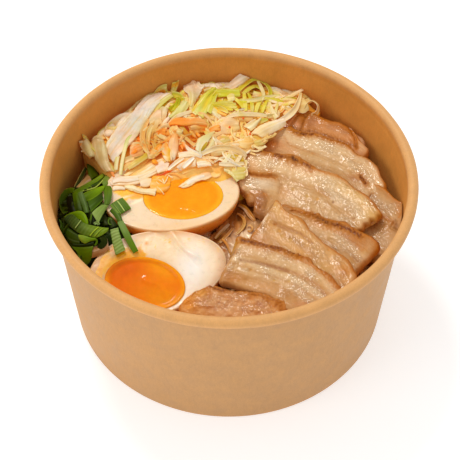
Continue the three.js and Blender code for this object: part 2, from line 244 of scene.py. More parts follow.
class Batch:
    """Joins closed bodies into one mesh with a colour per point and one spare value per point."""

    def __init__(self):
        self.v, self.q, self.t, self.c, self.a, self.n = [], [], [], [], [], 0

    def add(self, v, quads, tris, colour, extra=0.0):
        v = np.asarray(v, float).reshape(-1, 3)
        quads = np.asarray(quads, int).reshape(-1, 4)
        tris = np.asarray(tris, int).reshape(-1, 3)
        f = np.concatenate([quads[:, [0, 1, 2]], quads[:, [0, 2, 3]], tris]) if len(quads) else tris
        o = v.mean(0)
        vol = np.einsum('ij,ij->i', v[f[:, 0]] - o, np.cross(v[f[:, 1]] - o, v[f[:, 2]] - o)).sum()
        if vol < 0:
            quads, tris = quads[:, ::-1], tris[:, ::-1]
        self.v.append(v)
        self.q.append(quads + self.n)
        self.t.append(tris + self.n)
        self.c.append(np.broadcast_to(np.asarray(colour, float), v.shape).copy())
        self.a.append(np.broadcast_to(np.asarray(extra, float), (len(v),)).copy())
        self.n += len(v)

    def make(self, name, material, slot, nodes=()):
        v = np.concatenate(self.v)
        q, t = np.concatenate(self.q), np.concatenate(self.t)
        me = bpy.data.meshes.new(name)
        me.vertices.add(len(v))
        me.vertices.foreach_set('co', (v * 0.001).astype(np.float32).ravel())
        loops = np.concatenate([q.ravel(), t.ravel()]).astype(np.int32)
        starts = np.concatenate([np.arange(len(q)) * 4, len(q) * 4 + np.arange(len(t)) * 3]).astype(np.int32)
        me.loops.add(len(loops))
        me.loops.foreach_set('vertex_index', loops)
        me.polygons.add(len(starts))
        me.polygons.foreach_set('loop_start', starts)
        me.update(calc_edges=True)
        me.validate()
        me.shade_smooth()
        c = np.clip(np.concatenate(self.c), 0, 1)
        me.color_attributes.new('Col', 'FLOAT_COLOR', 'POINT')
        me.color_attributes['Col'].data.foreach_set('color', np.concatenate([c, np.ones((len(c), 1))], 1).astype(np.float32).ravel())
        me.attributes.new('wet', 'FLOAT', 'POINT')
        me.attributes['wet'].data.foreach_set('value', np.concatenate(self.a).astype(np.float32))
        ob = bpy.data.objects.new(name, me)
        bpy.context.scene.collection.objects.link(ob)
        me.materials.append(material)
        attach(ob, "root")
        if nodes:
            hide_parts(*nodes)
        print("piece", name, "triangles", 2 * len(q) + len(t))
        return ob


def loft(batch, rings, colour, extra=0.0, caps=True):
    """A closed body from rings (rows) of equal point counts, closed by a point at each end."""
    rings = np.asarray(rings, float)
    n, k = rings.shape[:2]
    i = np.arange(n - 1)[:, None] * k
    j = np.arange(k)[None, :]
    jn = (j + 1) % k
    quads = np.stack([i + j, i + jn, i + k + jn, i + k + j], -1).reshape(-1, 4)
    v = rings.reshape(-1, 3)
    col = np.broadcast_to(np.asarray(colour, float), rings.shape).reshape(-1, 3)
    ex = np.broadcast_to(np.asarray(extra, float), rings.shape[:2]).reshape(-1)
    v = np.concatenate([v, rings[0].mean(0)[None], rings[-1].mean(0)[None]])
    col = np.concatenate([col, col[:k].mean(0)[None], col[-k:].mean(0)[None]])
    ex = np.concatenate([ex, ex[:k].mean()[None], ex[-k:].mean()[None]])
    a = np.arange(k)
    b = (a + 1) % k
    tris = np.concatenate([np.stack([b, a, np.full(k, n * k)], -1),
                           np.stack([a + (n - 1) * k, b + (n - 1) * k, np.full(k, n * k + 1)], -1)])
    batch.add(v, quads, tris, col, ex)


def grid_normals(g):
    du = np.gradient(g, axis=0)
    dv = np.gradient(g, axis=1)
    return unit(np.cross(du, dv))


def sheet(batch, g, thick, colour, extra=0.0, edge=0.6, inside=True, crisp=True):
    """A closed thin body round a grid of points. colour is one colour or one per grid point."""
    colour = np.broadcast_to(np.asarray(colour, float), g.shape)
    extra = np.broadcast_to(np.asarray(extra, float), g.shape[:2])

    def tighten(a, ax):                      # an extra row close to each edge keeps the rounding there narrow
        a = np.moveaxis(a, ax, 0)
        a = np.concatenate([a[:1], a[:1] * 0.8 + a[1:2] * 0.2, a[1:-1], a[-1:] * 0.8 + a[-2:-1] * 0.2, a[-1:]])
        return np.moveaxis(a, 0, ax)

    nrm = grid_normals(g)
    if crisp:
        g, nrm, colour = (tighten(tighten(a, 0), 1) for a in (g, nrm, colour))
        extra = tighten(tighten(extra, 0), 1)
        nrm = unit(nrm)
    n, m_ = g.shape[0], g.shape[1]
    th = np.broadcast_to(np.asarray(thick, float), (n, m_)).copy()
    th[0] *= edge
    th[-1] *= edge
    th[:, 0] *= edge
    th[:, -1] *= edge
    top = g + nrm * th[..., None] / 2
    low = g - nrm * th[..., None] / 2
    rings = np.concatenate([top, low[:, ::-1]], 1)
    if inside:
        rings = keep_inside(rings)
    col = np.broadcast_to(np.asarray(colour, float), g.shape)
    ex = np.broadcast_to(np.asarray(extra, float), g.shape[:2])
    loft(batch, rings, np.concatenate([col, col[:, ::-1]], 1), np.concatenate([ex, ex[:, ::-1]], 1))


def ribbon_grid(pts, width, n=20, m_=4, face=(0, -0.45, 0.9), roll=0.0, cup=0.0, taper=(0, 0), wave=0.0, seed=0):
    """Mid-surface of a strip along a curve. width and roll are single values or one per control point; cup bends the
    section (positive: edges up), wave makes the edges uneven, taper is the share of each end that narrows."""
    pts = np.asarray(pts, float)
    k = len(pts)
    w = np.broadcast_to(np.asarray(width, float), (k,))
    r = np.broadcast_to(np.asarray(roll, float), (k,))
    q = spline(np.concatenate([pts, w[:, None], r[:, None]], 1), n)
    c, w, r = q[:, :3], q[:, 3], np.radians(q[:, 4])
    t = unit(np.gradient(c, axis=0))
    f = np.asarray(face, float)
    nrm = f - t * (t @ f)[:, None]
    bad = np.linalg.norm(nrm, axis=1) < 0.15
    nrm[bad] += np.array([0.2, 0.1, 0.0])
    nrm = unit(nrm - t * np.einsum('ij,ij->i', nrm, t)[:, None])
    for _ in range(2):
        nrm[1:-1] = (nrm[:-2] + 2 * nrm[1:-1] + nrm[2:]) / 4
    nrm = unit(nrm - t * np.einsum('ij,ij->i', nrm, t)[:, None])
    side = np.cross(t, nrm)
    cr, sr = np.cos(r)[:, None], np.sin(r)[:, None]
    side, nrm = side * cr + nrm * sr, nrm * cr - side * sr
    u = np.linspace(0, 1, n + 1)
    if taper[0]:
        w = w * np.sqrt(np.clip(u / taper[0], 0.02, 1))
    if taper[1]:
        w = w * np.sqrt(np.clip((1 - u) / taper[1], 0.02, 1))
    x = np.linspace(-1, 1, m_ + 1)
    half = w[:, None] / 2 * x[None, :]
    lift = cup * w[:, None] * (x[None, :] ** 2 - 0.35)
    if wave:
        s = u[:, None] * n * 0.35
        half = half + wave * 0.5 * NY(xyz(s, seed * 3.1, x[None, :] * 0.7 + 5)) * np.abs(x[None, :])
        lift = lift + wave * NZ(xyz(s * 0.8, seed * 1.7 + 3, x[None, :] * 1.2))
    return c[:, None, :] + side[:, None, :] * half[..., None] + nrm[:, None, :] * lift[..., None]


def span_grid(a, b, n=20, m_=6, bulge=0.0, wave=0.0, seed=0):
    """Mid-surface between two edge curves."""
    a, b = spline(a, n), spline(b, n)
    x = np.linspace(0, 1, m_ + 1)[None, :, None]
    g = a[:, None, :] * (1 - x) + b[:, None, :] * x
    nrm = grid_normals(g)
    if nrm[..., 2].mean() < 0:
        nrm = -nrm
    lift = bulge * 4 * (x[..., 0] * (1 - x[..., 0])) * np.ones((n + 1, 1))
    if wave:
        lift = lift + wave * NZ(xyz(g[..., 0] * 0.22 + seed, g[..., 1] * 0.22, g[..., 2] * 0.2 + seed * 1.3))
    return g + nrm * lift[..., None]


def tube(batch, pts, radius, colour, n=24, k=8, extra=0.0, flat=1.0):
    c = spline(pts, n)
    t = unit(np.gradient(c, axis=0))
    up = np.array([0.05, -0.1, 1.0])
    s = unit(np.cross(t, up))
    u = np.cross(s, t)
    a = 2 * np.pi * np.arange(k) / k
    r = np.broadcast_to(np.asarray(radius, float), (n + 1,)).copy()
    r[0] *= 0.4
    r[-1] *= 0.4
    rings = c[:, None] + (s[:, None] * np.cos(a)[None, :, None] + u[:, None] * (flat * np.sin(a))[None, :, None]) * r[:, None, None]
    col = np.asarray(colour, float)
    if col.ndim == 2:
        col = col[:, None, :]
    loft(batch, keep_inside(rings), np.broadcast_to(col, rings.shape), extra)


def lump(batch, centre, size, colour, seed=0, rough=0.25, turn=0.0, n=10, k=16, extra=0.0):
    """A small uneven body, such as a crumb or a drop."""
    th = np.linspace(0.12, np.pi - 0.12, n)
    ph = 2 * np.pi * np.arange(k) / k
    d = xyz(np.sin(th)[:, None] * np.cos(ph), np.sin(th)[:, None] * np.sin(ph), np.cos(th)[:, None] * np.ones(k))
    r = 1 + rough * NZ.fbm(d * 1.3 + seed * 5.7, 2)
    v = d * r[..., None] * np.asarray(size, float) / 2
    c, s = math.cos(math.radians(turn)), math.sin(math.radians(turn))
    v = xyz(v[..., 0] * c - v[..., 1] * s, v[..., 0] * s + v[..., 1] * c, v[..., 2])
    loft(batch, keep_inside(v + np.asarray(centre, float)), colour, extra)


def bump_wave(x, y, k):
    return (np.sin(0.19 * x + 0.13 * y + k) * 0.55 + np.sin(-0.11 * x + 0.27 * y + 2.3 * k) * 0.45
            + 0.35 * np.sin(0.41 * x - 0.33 * y + 1.7 * k))


# ---------------------------------------------------------------------------------------------------------- materials

class Mat:
    def __init__(self, name):
        self.m = bpy.data.materials.new(name)
        self.m.use_nodes = True
        self.t = self.m.node_tree
        self.t.nodes.clear()
        out = self.t.nodes.new('ShaderNodeOutputMaterial')
        self.b = self.t.nodes.new('ShaderNodeBsdfPrincipled')
        self.t.links.new(self.b.outputs[0], out.inputs[0])
        self.pos = self.t.nodes.new('ShaderNodeTexCoord').outputs['Object']

    def set(self, **kw):
        for k, v in kw.items():
            self.b.inputs[k.replace('_', ' ')].default_value = v
        return self

    def link(self, a, b):
        self.t.links.new(a, b)

    def attr(self, name, out='Color'):
        n = self.t.nodes.new('ShaderNodeAttribute')
        n.attribute_name = name
        return n.outputs[out]

    def noise(self, size_mm, detail=2.0, rough=0.5, stretch=(1, 1, 1), distort=0.0):
        mp = self.t.nodes.new('ShaderNodeMapping')
        mp.inputs['Scale'].default_value = [1000.0 / size_mm / s for s in stretch]
        self.link(self.pos, mp.inputs['Vector'])
        n = self.t.nodes.new('ShaderNodeTexNoise')
        n.inputs['Scale'].default_value = 1.0
        n.inputs['Detail'].default_value = detail
        n.inputs['Roughness'].default_value = rough
        n.inputs['Distortion'].default_value = distort
        self.link(mp.outputs[0], n.inputs['Vector'])
        return n.outputs[0]

    def cells(self, size_mm):
        mp = self.t.nodes.new('ShaderNodeMapping')
        mp.inputs['Scale'].default_value = [1000.0 / size_mm] * 3
        self.link(self.pos, mp.inputs['Vector'])
        n = self.t.nodes.new('ShaderNodeTexVoronoi')
        n.inputs['Scale'].default_value = 1.0
        self.link(mp.outputs[0], n.inputs['Vector'])
        return n.outputs['Distance']

    def ramp(self, x, lo, hi, a=0.0, b=1.0):
        n = self.t.nodes.new('ShaderNodeMapRange')
        n.inputs['From Min'].default_value, n.inputs['From Max'].default_value = lo, hi
        n.inputs['To Min'].default_value, n.inputs['To Max'].default_value = a, b
        self.link(x, n.inputs['Value'])
        return n.outputs[0]

    def math(self, op, a, b):
        n = self.t.nodes.new('ShaderNodeMath')
        n.operation = op
        for s, x in zip(n.inputs, (a, b)):
            if isinstance(x, (int, float)):
                s.default_value = x
            else:
                self.link(x, s)
        return n.outputs[0]

    def mixc(self, fac, a, b, kind='MIX'):
        n = self.t.nodes.new('ShaderNodeMix')
        n.data_type = 'RGBA'
        n.blend_type = kind
        for s, x in ((n.inputs[0], fac), (n.inputs[6], a), (n.inputs[7], b)):
            if isinstance(x, (int, float)):
                s.default_value = x
            elif isinstance(x, (tuple, list, np.ndarray)):
                s.default_value = (*[float(k) for k in x], 1.0)
            else:
                self.link(x, s)
        return n.outputs[2]

    def bump(self, height, dist_mm, strength=1.0, under=None):
        n = self.t.nodes.new('ShaderNodeBump')
        n.inputs['Distance'].default_value = dist_mm * 0.001
        n.inputs['Strength'].default_value = strength
        self.link(height, n.inputs['Height'])
        if under is not None:
            self.link(under, n.inputs['Normal'])
        return n.outputs[0]

    def colour(self, c):
        self.link(c, self.b.inputs['Base Color'])
        return self

    def rough(self, x):
        self.link(x, self.b.inputs['Roughness'])
        return self

    def normal(self, x):
        self.link(x, self.b.inputs['Normal'])
        return self


def shade(mat, fac, colour):
    """Multiplies the colour by 1 + fac (a node output centred on 0)."""
    n = mat.t.nodes.new('ShaderNodeVectorMath')
    n.operation = 'SCALE'
    mat.link(colour, n.inputs[0])
    mat.link(mat.math('ADD', fac, 1.0), n.inputs['Scale'])
    return n.outputs[0]


def paper_material():
    a = Mat('kraft_paper_mat').set(Roughness=0.6, Specular_IOR_Level=0.35, Coat_Weight=0.06, Coat_Roughness=0.35)
    col = a.attr('Col')
    fine = a.noise(0.55, 3, 0.6)
    mott = a.noise(6.0, 3, 0.55)
    fib = a.noise(1.6, 2, 0.6, stretch=(1, 1, 3.0), distort=1.5)
    col = shade(a, a.ramp(fine, 0.3, 0.7, -0.045, 0.045), col)
    col = shade(a, a.ramp(mott, 0.3, 0.7, -0.05, 0.05), col)
    col = shade(a, a.ramp(fib, 0.32, 0.62, -0.05, 0.02), col)
    a.colour(col)
    a.rough(a.ramp(mott, 0.3, 0.7, 0.5, 0.66))
    a.normal(a.bump(fine, 0.05, 0.5, a.bump(mott, 0.25, 0.5)))
    return a.m


def white_material(name, weight=0.35, rough=(0.24, 0.42)):
    a = Mat(name).set(Specular_IOR_Level=0.5, Subsurface_Weight=weight, Subsurface_Radius=(1.0, 0.55, 0.3),
                      Subsurface_Scale=0.0014, Coat_Weight=0.15, Coat_Roughness=0.12)
    n1 = a.noise(2.2, 3, 0.55)
    n2 = a.noise(9.0, 2, 0.5)
    col = shade(a, a.ramp(n1, 0.3, 0.7, -0.02, 0.02), a.attr('Col'))
    col = shade(a, a.ramp(n2, 0.3, 0.7, -0.02, 0.02), col)
    a.colour(col)
    # painted glow: a small emission standing in for light held inside the white
    painted_glow(a, col, 1.8, 0.05)
    a.rough(a.ramp(n1, 0.3, 0.7, *rough))
    a.normal(a.bump(a.noise(0.8, 2, 0.5), 0.02, 0.25, a.bump(n1, 0.1, 0.5)))
    return a.m


def yolk_material():
    a = Mat('egg_yolk_mat').set(Specular_IOR_Level=0.02, Subsurface_Weight=0.3, Subsurface_Radius=(1.0, 0.3, 0.05),
                                Subsurface_Scale=0.002, Coat_Weight=0.24, Coat_Roughness=0.05)
    n1 = a.noise(1.6, 3, 0.55)
    col = shade(a, a.ramp(n1, 0.3, 0.7, -0.03, 0.03), a.attr('Col'))
    a.colour(col)
    a.rough(a.ramp(n1, 0.3, 0.7, 0.16, 0.34))
    a.normal(a.bump(a.noise(3.5, 2, 0.5), 0.18, 0.5, a.bump(n1, 0.05, 0.4)))
    return a.m


def painted_glow(a, col, depth, strength):
    """Painted glow: an emission deeper in colour than the surface, standing in for light held inside thin wet leaves,
    fat and egg white.
    """
    gm = a.t.nodes.new('ShaderNodeGamma')
    gm.inputs['Gamma'].default_value = depth
    a.link(col, gm.inputs['Color'])
    a.link(gm.outputs[0], a.b.inputs['Emission Color'])
    a.set(Emission_Strength=strength)


def pork_material():
    a = Mat('pork_mat').set(Specular_IOR_Level=0.34, Specular_Tint=(1.0, 0.8, 0.56, 1.0), Coat_Roughness=0.06)
    wet = a.attr('wet', 'Fac')
    a.link(a.ramp(wet, 0.1, 1.1, 0.08, 1.0), a.b.inputs['Coat Weight'])
    fine = a.noise(0.7, 3, 0.6)
    mid = a.noise(1.7, 3, 0.6, distort=0.8)
    col = shade(a, a.ramp(fine, 0.3, 0.7, -0.05, 0.05), a.attr('Col'))
    col = shade(a, a.ramp(mid, 0.3, 0.7, -0.05, 0.05), col)
    a.colour(col)
    # painted glow: a small emission standing in for light held inside the fat
    painted_glow(a, col, 1.7, 0.1)
    a.rough(a.math('SUBTRACT', a.ramp(mid, 0.3, 0.7, 0.4, 0.54), a.math('MULTIPLY', wet, 0.26)))
    worm = a.math('ABSOLUTE', a.math('SUBTRACT', a.noise(1.5, 2, 0.5, distort=1.2), 0.5), 0.0)
    h = a.math('MULTIPLY', a.math('SUBTRACT', mid, a.math('MULTIPLY', worm, 1.6)), a.math('ADD', a.math('MULTIPLY', wet, 1.1), 0.2))
    a.normal(a.bump(fine, 0.05, 0.6, a.bump(h, 0.36, 0.8)))
    a.link(a.bump(h, 0.14, 0.9), a.b.inputs['Coat Normal'])
    return a.m


def leaf_material(name, weight=0.3, gloss=(0.22, 0.4), bump_mm=0.12, coat=0.3, spec=0.5, deep=0.0015, tint=(1.0, 0.9, 0.4), sheen=(1, 1, 1), glow_strength=0.0):
    a = Mat(name).set(Specular_IOR_Level=spec, Specular_Tint=(*sheen, 1.0), Subsurface_Weight=weight, Subsurface_Radius=tint,
                      Subsurface_Scale=deep, Coat_Weight=coat, Coat_Roughness=0.12)
    n1 = a.noise(1.4, 3, 0.55)
    n2 = a.noise(5.0, 2, 0.5)
    col = shade(a, a.ramp(n1, 0.3, 0.7, -0.035, 0.035), a.attr('Col'))
    col = shade(a, a.ramp(n2, 0.3, 0.7, -0.05, 0.05), col)
    a.colour(col)
    if glow_strength:
        # painted glow: a small emission standing in for light held inside the leaves
        painted_glow(a, col, 1.9, glow_strength)
    a.rough(a.ramp(n1, 0.3, 0.7, *gloss))
    a.normal(a.bump(a.noise(0.6, 2, 0.5), 0.03, 0.6, a.bump(n1, bump_mm, 0.7)))
    return a.m


def floor_material():
    a = Mat('studio_floor_mat').set(Roughness=0.9, Specular_IOR_Level=0.1)
    n1 = a.noise(180.0, 2, 0.5)
    col = a.mixc(a.ramp(n1, 0.3, 0.7, 0.0, 1.0), (0.79, 0.79, 0.79), (0.81, 0.81, 0.81))
    a.colour(col)
    a.set(Emission_Color=(1.0, 1.0, 1.0, 1.0), Emission_Strength=0.44)
    return a.m


M_PAPER = paper_material()
M_WHITE = white_material('egg_white_mat')
M_YOLK = yolk_material()
M_PORK = pork_material()
M_CABB = leaf_material('cabbage_mat', 0.0, (0.26, 0.42), 0.06, 0.05, 0.16, 0.0008, (1.0, 0.95, 0.85), (1.0, 0.88, 0.55), 0.13)
M_CARR = leaf_material('carrot_mat', 0.0, (0.24, 0.4), 0.06, 0.06, 0.2, 0.001, (1.0, 0.7, 0.5), (1.0, 0.75, 0.4), 0.13)
M_SCAL = leaf_material('green_onion_mat', 0.0, (0.32, 0.48), 0.03, 0.0, 0.12, 0.0006, (1.0, 0.9, 0.4), (0.9, 1.0, 0.5))
M_NOOD = leaf_material('noodle_mat', 0.0, (0.14, 0.3), 0.05, 0.12, 0.4, 0.0015, (1.0, 0.7, 0.4), (1.0, 0.85, 0.6))
M_SAUC = leaf_material('dressing_mat', 0.4, (0.14, 0.28), 0.05, 0.6)
M_FLOOR = floor_material()

# --------------------------------------------------------------------------------------------------------- paper bowl

SEAM = math.radians(74)                     # where the wall's sheet overlaps itself


def make_bowl():
    b = BOWL
    roll_r, roll_z = b['rim'] - b['roll'], b['height'] - b['roll']
    start = math.acos((b['outer_top'] - roll_r) / b['roll'])
    foot = b['outer_bottom'] - b['foot']
    p = []                                   # (r, z, kind): 0 under, 1 outside wall, 2 roll, 3 inside wall, 4 floor

    def line(p0, p1, n, kind, first=True):
        for i in range(0 if first else 1, n + 1):
            f = i / n
            p.append((p0[0] + (p1[0] - p0[0]) * f, p0[1] + (p1[1] - p0[1]) * f, kind))

    line((0.5, b['floor_under']), (foot - 2.0, b['floor_under']), 14, 0)
    for d in (20, 45, 70, 90):
        p.append((foot - 2.0 + 2.2 * math.sin(math.radians(d)), b['floor_under'] - 2.2 * (1 - math.cos(math.radians(d))), 0))
    line((foot + 0.2, b['floor_under'] - 2.6), (foot, 0.5), 4, 0)
    for d in (20, 50, 80):
        p.append((foot + 0.5 - 0.5 * math.cos(math.radians(d)), 0.5 - 0.5 * math.sin(math.radians(d)), 0))
    line((foot + 0.6, 0), (b['outer_bottom'] - 0.6, 0), 2, 0)
    for d in (20, 50, 80):
        p.append((b['outer_bottom'] - 0.5 + 0.5 * math.sin(math.radians(d)), 0.5 - 0.5 * math.cos(math.radians(d)), 1))
    zc = roll_z - b['roll'] * math.sin(start)
    line((b['outer_bottom'] + 0.02, 0.6), (b['outer_top'], zc), 60, 1)
    for deg in range(-int(math.degrees(start)) + 14, 181, 9):
        a = math.radians(deg)
        p.append((roll_r + b['roll'] * math.cos(a), roll_z + b['roll'] * math.sin(a), 2))
    line((b['inner_top'], b['wall_top'] + 0.6), (b['inner_top'] - 0.02, b['wall_top'] - 1.0), 4, 3)
    line((float(inner_radius(b['wall_top'] - 1.6)), b['wall_top'] - 1.6), (float(inner_radius(b['floor_top'] + 1.2)), b['floor_top'] + 1.2), 56, 3)
    for d in (25, 60, 90):
        p.append((float(inner_radius(b['floor_top'])) - 1.2 * (1 - math.cos(math.radians(d))), b['floor_top'] + 1.2 * (1 - math.sin(math.radians(d))), 4))
    line((float(inner_radius(b['floor_top'])) - 2.0, b['floor_top']), (0.5, b['floor_top']), 12, 4)
    p = np.array(p)
    n = 240
    ang = 2 * np.pi * np.arange(n) / n
    r = p[:, 0][:, None] * np.ones(n)
    z = p[:, 1][:, None] * np.ones(n)
    kind = p[:, 2][:, None] * np.ones(n)
    ca, sa = np.cos(ang)[None], np.sin(ang)[None]
    # the roll is a little uneven round the rim, and the wall a little out of round
    un = NZ(xyz(ca * 3.1, sa * 3.1, 0.5)) * 0.5 + NZ(xyz(ca * 9, sa * 9, 2.5)) * 0.35
    high = step(66, 72, z)
    rollw = np.where(kind == 2, 1.0, 0.0)
    ra = np.arctan2(z - roll_z, r - roll_r)
    shrink = rollw * (0.10 + 0.14 * np.clip(un, -1, 1))
    r = r - shrink * np.cos(ra) * 1.0
    z = z - np.abs(shrink) * np.maximum(0, np.sin(ra)) * 1.0
    r = r + np.where((kind == 1) | (kind == 3), 0.12 * NZ(xyz(ca * 2, sa * 2, z * 0.03)), 0.0) * step(2, 12, z) * (1 - high)
    # side seam: one thickness more on one side of the overlap
    d = (ang - SEAM + np.pi) % (2 * np.pi) - np.pi
    arc = d * 70
    lap = step(-0.5, 0.3, arc) * (1 - step(9.0, 10.0, arc))
    lap = lap[None] * np.ones_like(r)
    r = r + np.where(kind == 1, 0.28 * lap, 0) * step(1, 3, z) - np.where(kind == 3, 0.32 * lap, 0) * step(8, 10, z)
    # base disc: faint pressed ring
    z = z + np.where((kind == 0) & (r < 58), 0.25 * np.exp(-((r - 54) / 1.2) ** 2), 0)
    # the crease where the roll is tucked under
    r = r - np.where(kind == 1, 0.25 * np.exp(-((z - zc + 0.8) / 0.6) ** 2), 0)
    v = xyz(r * ca, r * sa, z)
    v[..., :2] *= np.minimum(1, 75.0 / np.maximum(np.hypot(v[..., 0], v[..., 1]), 1e-6))[..., None]
    v[..., 2] = np.clip(v[..., 2], 0, 75.0)
    # the inside wall is given a more orange colour than the outside: partly the coated inside's own colour, partly
    # painted warm light bounced between the walls
    out_c, in_c, rim_c = lin(198, 148, 93), lin(219, 149, 66), lin(219, 162, 98)
    c = np.where((kind == 1)[..., None], out_c, np.where((kind == 2)[..., None], rim_c, np.where((kind == 0)[..., None], lin(206, 160, 112), in_c)))
    mot = NZ.fbm(v * 0.05, 3)[..., None] * 0.05 + NZ.fbm(v * 0.35 + 9, 2)[..., None] * 0.02
    # a band on the roll's upper outer side is made 6% lighter
    roll_band = np.exp(-((ra - 0.9) / 0.5) ** 2)[..., None] * rollw[..., None] * 0.06
    c = c * (1 + mot + roll_band)
    edge = (np.exp(-(arc / 0.5) ** 2) + np.exp(-((arc - 9.5) / 0.5) ** 2))[None, :, None] * np.ones_like(r)[..., None]
    c = c * (1 - 0.12 * edge * np.isin(kind, (1, 3))[..., None])
    batch = Batch()
    loft(batch, v, c)
    return batch.make('paper_bowl', M_PAPER, 'kraft_paper', ('bowl',))


make_bowl()

# --------------------------------------------------------------------------------------------------------------- eggs

def egg_frame(e):
    n = unit([-math.tan(math.radians(e['slope_x'])), -math.tan(math.radians(e['slope_y'])), 1])
    e1 = unit(np.array([1.0, 0, 0]) - n * n[0])
    return n, e1, np.cross(n, e1)


def outline(s, t, grow=0.0):
    x = (s['a'] + grow) * np.cos(t)
    y = (s['b'] + grow) * np.sin(t) * (1 + s.get('blunt', 0) * np.cos(t))
    c, q = math.cos(math.radians(s['turn'])), math.sin(math.radians(s['turn']))
    ox, oy = s.get('at', (0, 0))
    return ox + x * c - y * q, oy + x * q + y * c


def param_by_angle(s, centre, ang, grow=0.0):
    t = np.linspace(0, 2 * np.pi, 4001)
    x, y = outline(s, t, grow)
    a = np.unwrap(np.arctan2(y - centre[1], x - centre[0]))
    base = a[0]
    q = base + (ang - base) % (2 * np.pi)
    return np.interp(q, a, t)


def make_egg(key, strokes, paint):
    e = EGGS[key]
    y = e['yolk']
    n, e1, e2 = egg_frame(e)
    o = np.array(e['face'])

    def place(u, v, w):
        return o + e1 * u[..., None] + e2 * v[..., None] + n * w[..., None]

    k = 200
    ang = 2 * np.pi * np.arange(k) / k
    tw = param_by_angle(e, y['at'], ang)
    ty = param_by_angle(y, y['at'], ang)
    yx, yy = outline(y, ty)
    # the yolk's outline is a little uneven
    wob = 1 + 0.012 * NZ(xyz(np.cos(ang) * 1.7, np.sin(ang) * 1.7, 4.0 + e['a']))
    yx, yy = y['at'][0] + (yx - y['at'][0]) * wob, y['at'][1] + (yy - y['at'][1]) * wob
    wx, wy = outline(e, tw)
    rows_u, rows_v, rows_w, kind = [], [], [], []

    def row(u, v, w, kd):
        rows_u.append(u); rows_v.append(v); rows_w.append(w * np.ones(k)); kind.append(kd)

    for th in np.linspace(82, 10, 8):        # hollow that holds the yolk
        c, s = math.cos(math.radians(th)), math.sin(math.radians(th))
        row(y['at'][0] + (yx - y['at'][0]) * c * 1.004, y['at'][1] + (yy - y['at'][1]) * c * 1.004, -(y['depth'] + 0.1) * s, 0)
    row(y['at'][0] + (yx - y['at'][0]) * 1.004, y['at'][1] + (yy - y['at'][1]) * 1.004, -0.35, 0)
    re = 0.8
    nf = 56
    for i in range(nf + 1):                  # cut face
        f = 0.012 + (1 - 0.012) * (i / nf)
        ex, ey = wx - re * (wx / np.hypot(wx, wy)), wy - re * (wy / np.hypot(wx, wy))
        row(yx + (ex - yx) * f, yy + (ey - yy) * f, 0.0, 1)
    for d in (18, 36, 54, 72, 88):           # rounded edge
        s, c = math.sin(math.radians(d)), math.cos(math.radians(d))
        row(wx - re * (1 - s) * (wx / np.hypot(wx, wy)), wy - re * (1 - s) * (wy / np.hypot(wx, wy)), -re * (1 - c), 2)
    for th in np.linspace(4.5, 88.5, 44):    # skin
        c, s = math.cos(math.radians(th)), math.sin(math.radians(th))
        row(wx * c, wy * c, -e['depth'] * s, 3)
    u, v, w = np.array(rows_u), np.array(rows_v), np.array(rows_w)
    kd = np.array(kind)[:, None] * np.ones(k)
    pos = place(u, v, w)
    # relief of the cut face
    nz = 0.10 * NZ.fbm(xyz(u * 0.16, v * 0.16, e['a']), 2) + 0.05 * NZ.fbm(xyz(u * 0.5, v * 0.5, 3.0), 2)
    px = to_px(pos)
    face = (kd == 1)
    w = w + np.where(face, nz - 0.02, 0)
    for line, amp, width in strokes:
        dist, wh = along(px, line)
        w = w + np.where(face, amp * np.exp(-(dist / width) ** 2) * np.sin(np.pi * np.clip(wh, 0.03, 0.97)) ** 0.4, 0)
    if key == 'front':
        w = w - np.where(face, 0.35 * np.exp(-np.maximum(0, np.hypot(u - np.array(yx)[None], v - np.array(yy)[None])) / 1.0), 0)
    pos = place(u, v, w)
    pos = pos + np.where((kd == 3)[..., None], unit(pos - (o - n * 4))[..., :] * (0.10 * NZ.fbm(pos * 0.3, 3))[..., None], 0)
    pos = keep_inside(pos, 0.5)
    col = paint(px, u, v, w, kd, pos, (wx, wy))
    b = Batch()
    loft(b, pos, col)
    ob = b.make(f'egg_{key}_white_body', M_WHITE, 'egg_white', (f'egg_{key}_white',))
    return dict(place=place, k=k, yx=yx, yy=yy, e=e, y=y)


def white_paint_back(px, u, v, w, kd, pos, edge):
    base = lin(236, 207, 168)
    c = np.ones(pos.shape) * base
    # distance to the outline, as a share of the way from the centre
    f = np.sqrt((u ** 2 + v ** 2) / (edge[0][None] ** 2 + edge[1][None] ** 2))
    c = mix(c, lin(240, 205, 158), 0.55 * step(0.86, 1.0, f) * (kd == 1))
    c = mix(c, lin(240, 196, 140), 0.75 * blob(px, 185, 226, 50, 7, -4))
    c = mix(c, lin(244, 204, 150), 0.5 * blob(px, 232, 205, 8, 24))
    c = c * (1 + 0.03 * NZ.fbm(pos * 0.2, 3))[..., None]
    sk = mix(mix(lin(244, 160, 62), lin(244, 148, 40), step(-0.5, -5, w)), lin(240, 136, 26), step(-6, -17, w))
    c = np.where((kd >= 3)[..., None], sk * (1 + 0.06 * NZ.fbm(pos * 0.25 + 3, 3))[..., None], c)
    c = np.where((kd == 2)[..., None], mix(c, lin(232, 168, 96), 0.35 + 0.65 * step(0, -0.7, w)), c)
    # yolk rubbed on the white at the left
    n1 = NZ.fbm(xyz(px[..., 0] * 0.10, px[..., 1] * 0.2, 2), 3)
    s1 = np.maximum(blob(px, 132, 192, 19, 6.5, 8, 4), blob(px, 122, 200, 10, 2.6, -28, 3))
    s1 = np.maximum(s1, blob(px, 146, 194, 14, 6, 10, 4))
    c = mix(c, lin(255, 188, 14), 0.97 * step(0.12, 0.42, s1 + 0.35 * n1) * (kd == 1))
    # pale near-white lines along the smear: painted highlight on the wet yolk
    c = mix(c, lin(255, 240, 200), 0.8 * np.maximum(blob(px, 139, 200.5, 12, 1.5, -24, 3), blob(px, 127, 196.5, 7, 1.0, -14, 3)) * (kd == 1))
    c = mix(c, lin(255, 150, 10), 0.7 * blob(px, 137, 196, 9, 2.2, 5) * (kd == 1))
    c = mix(c, lin(255, 176, 20), 0.9 * blob(px, 180, 177, 34, 6, 0, 4) * (kd == 1))
    return c


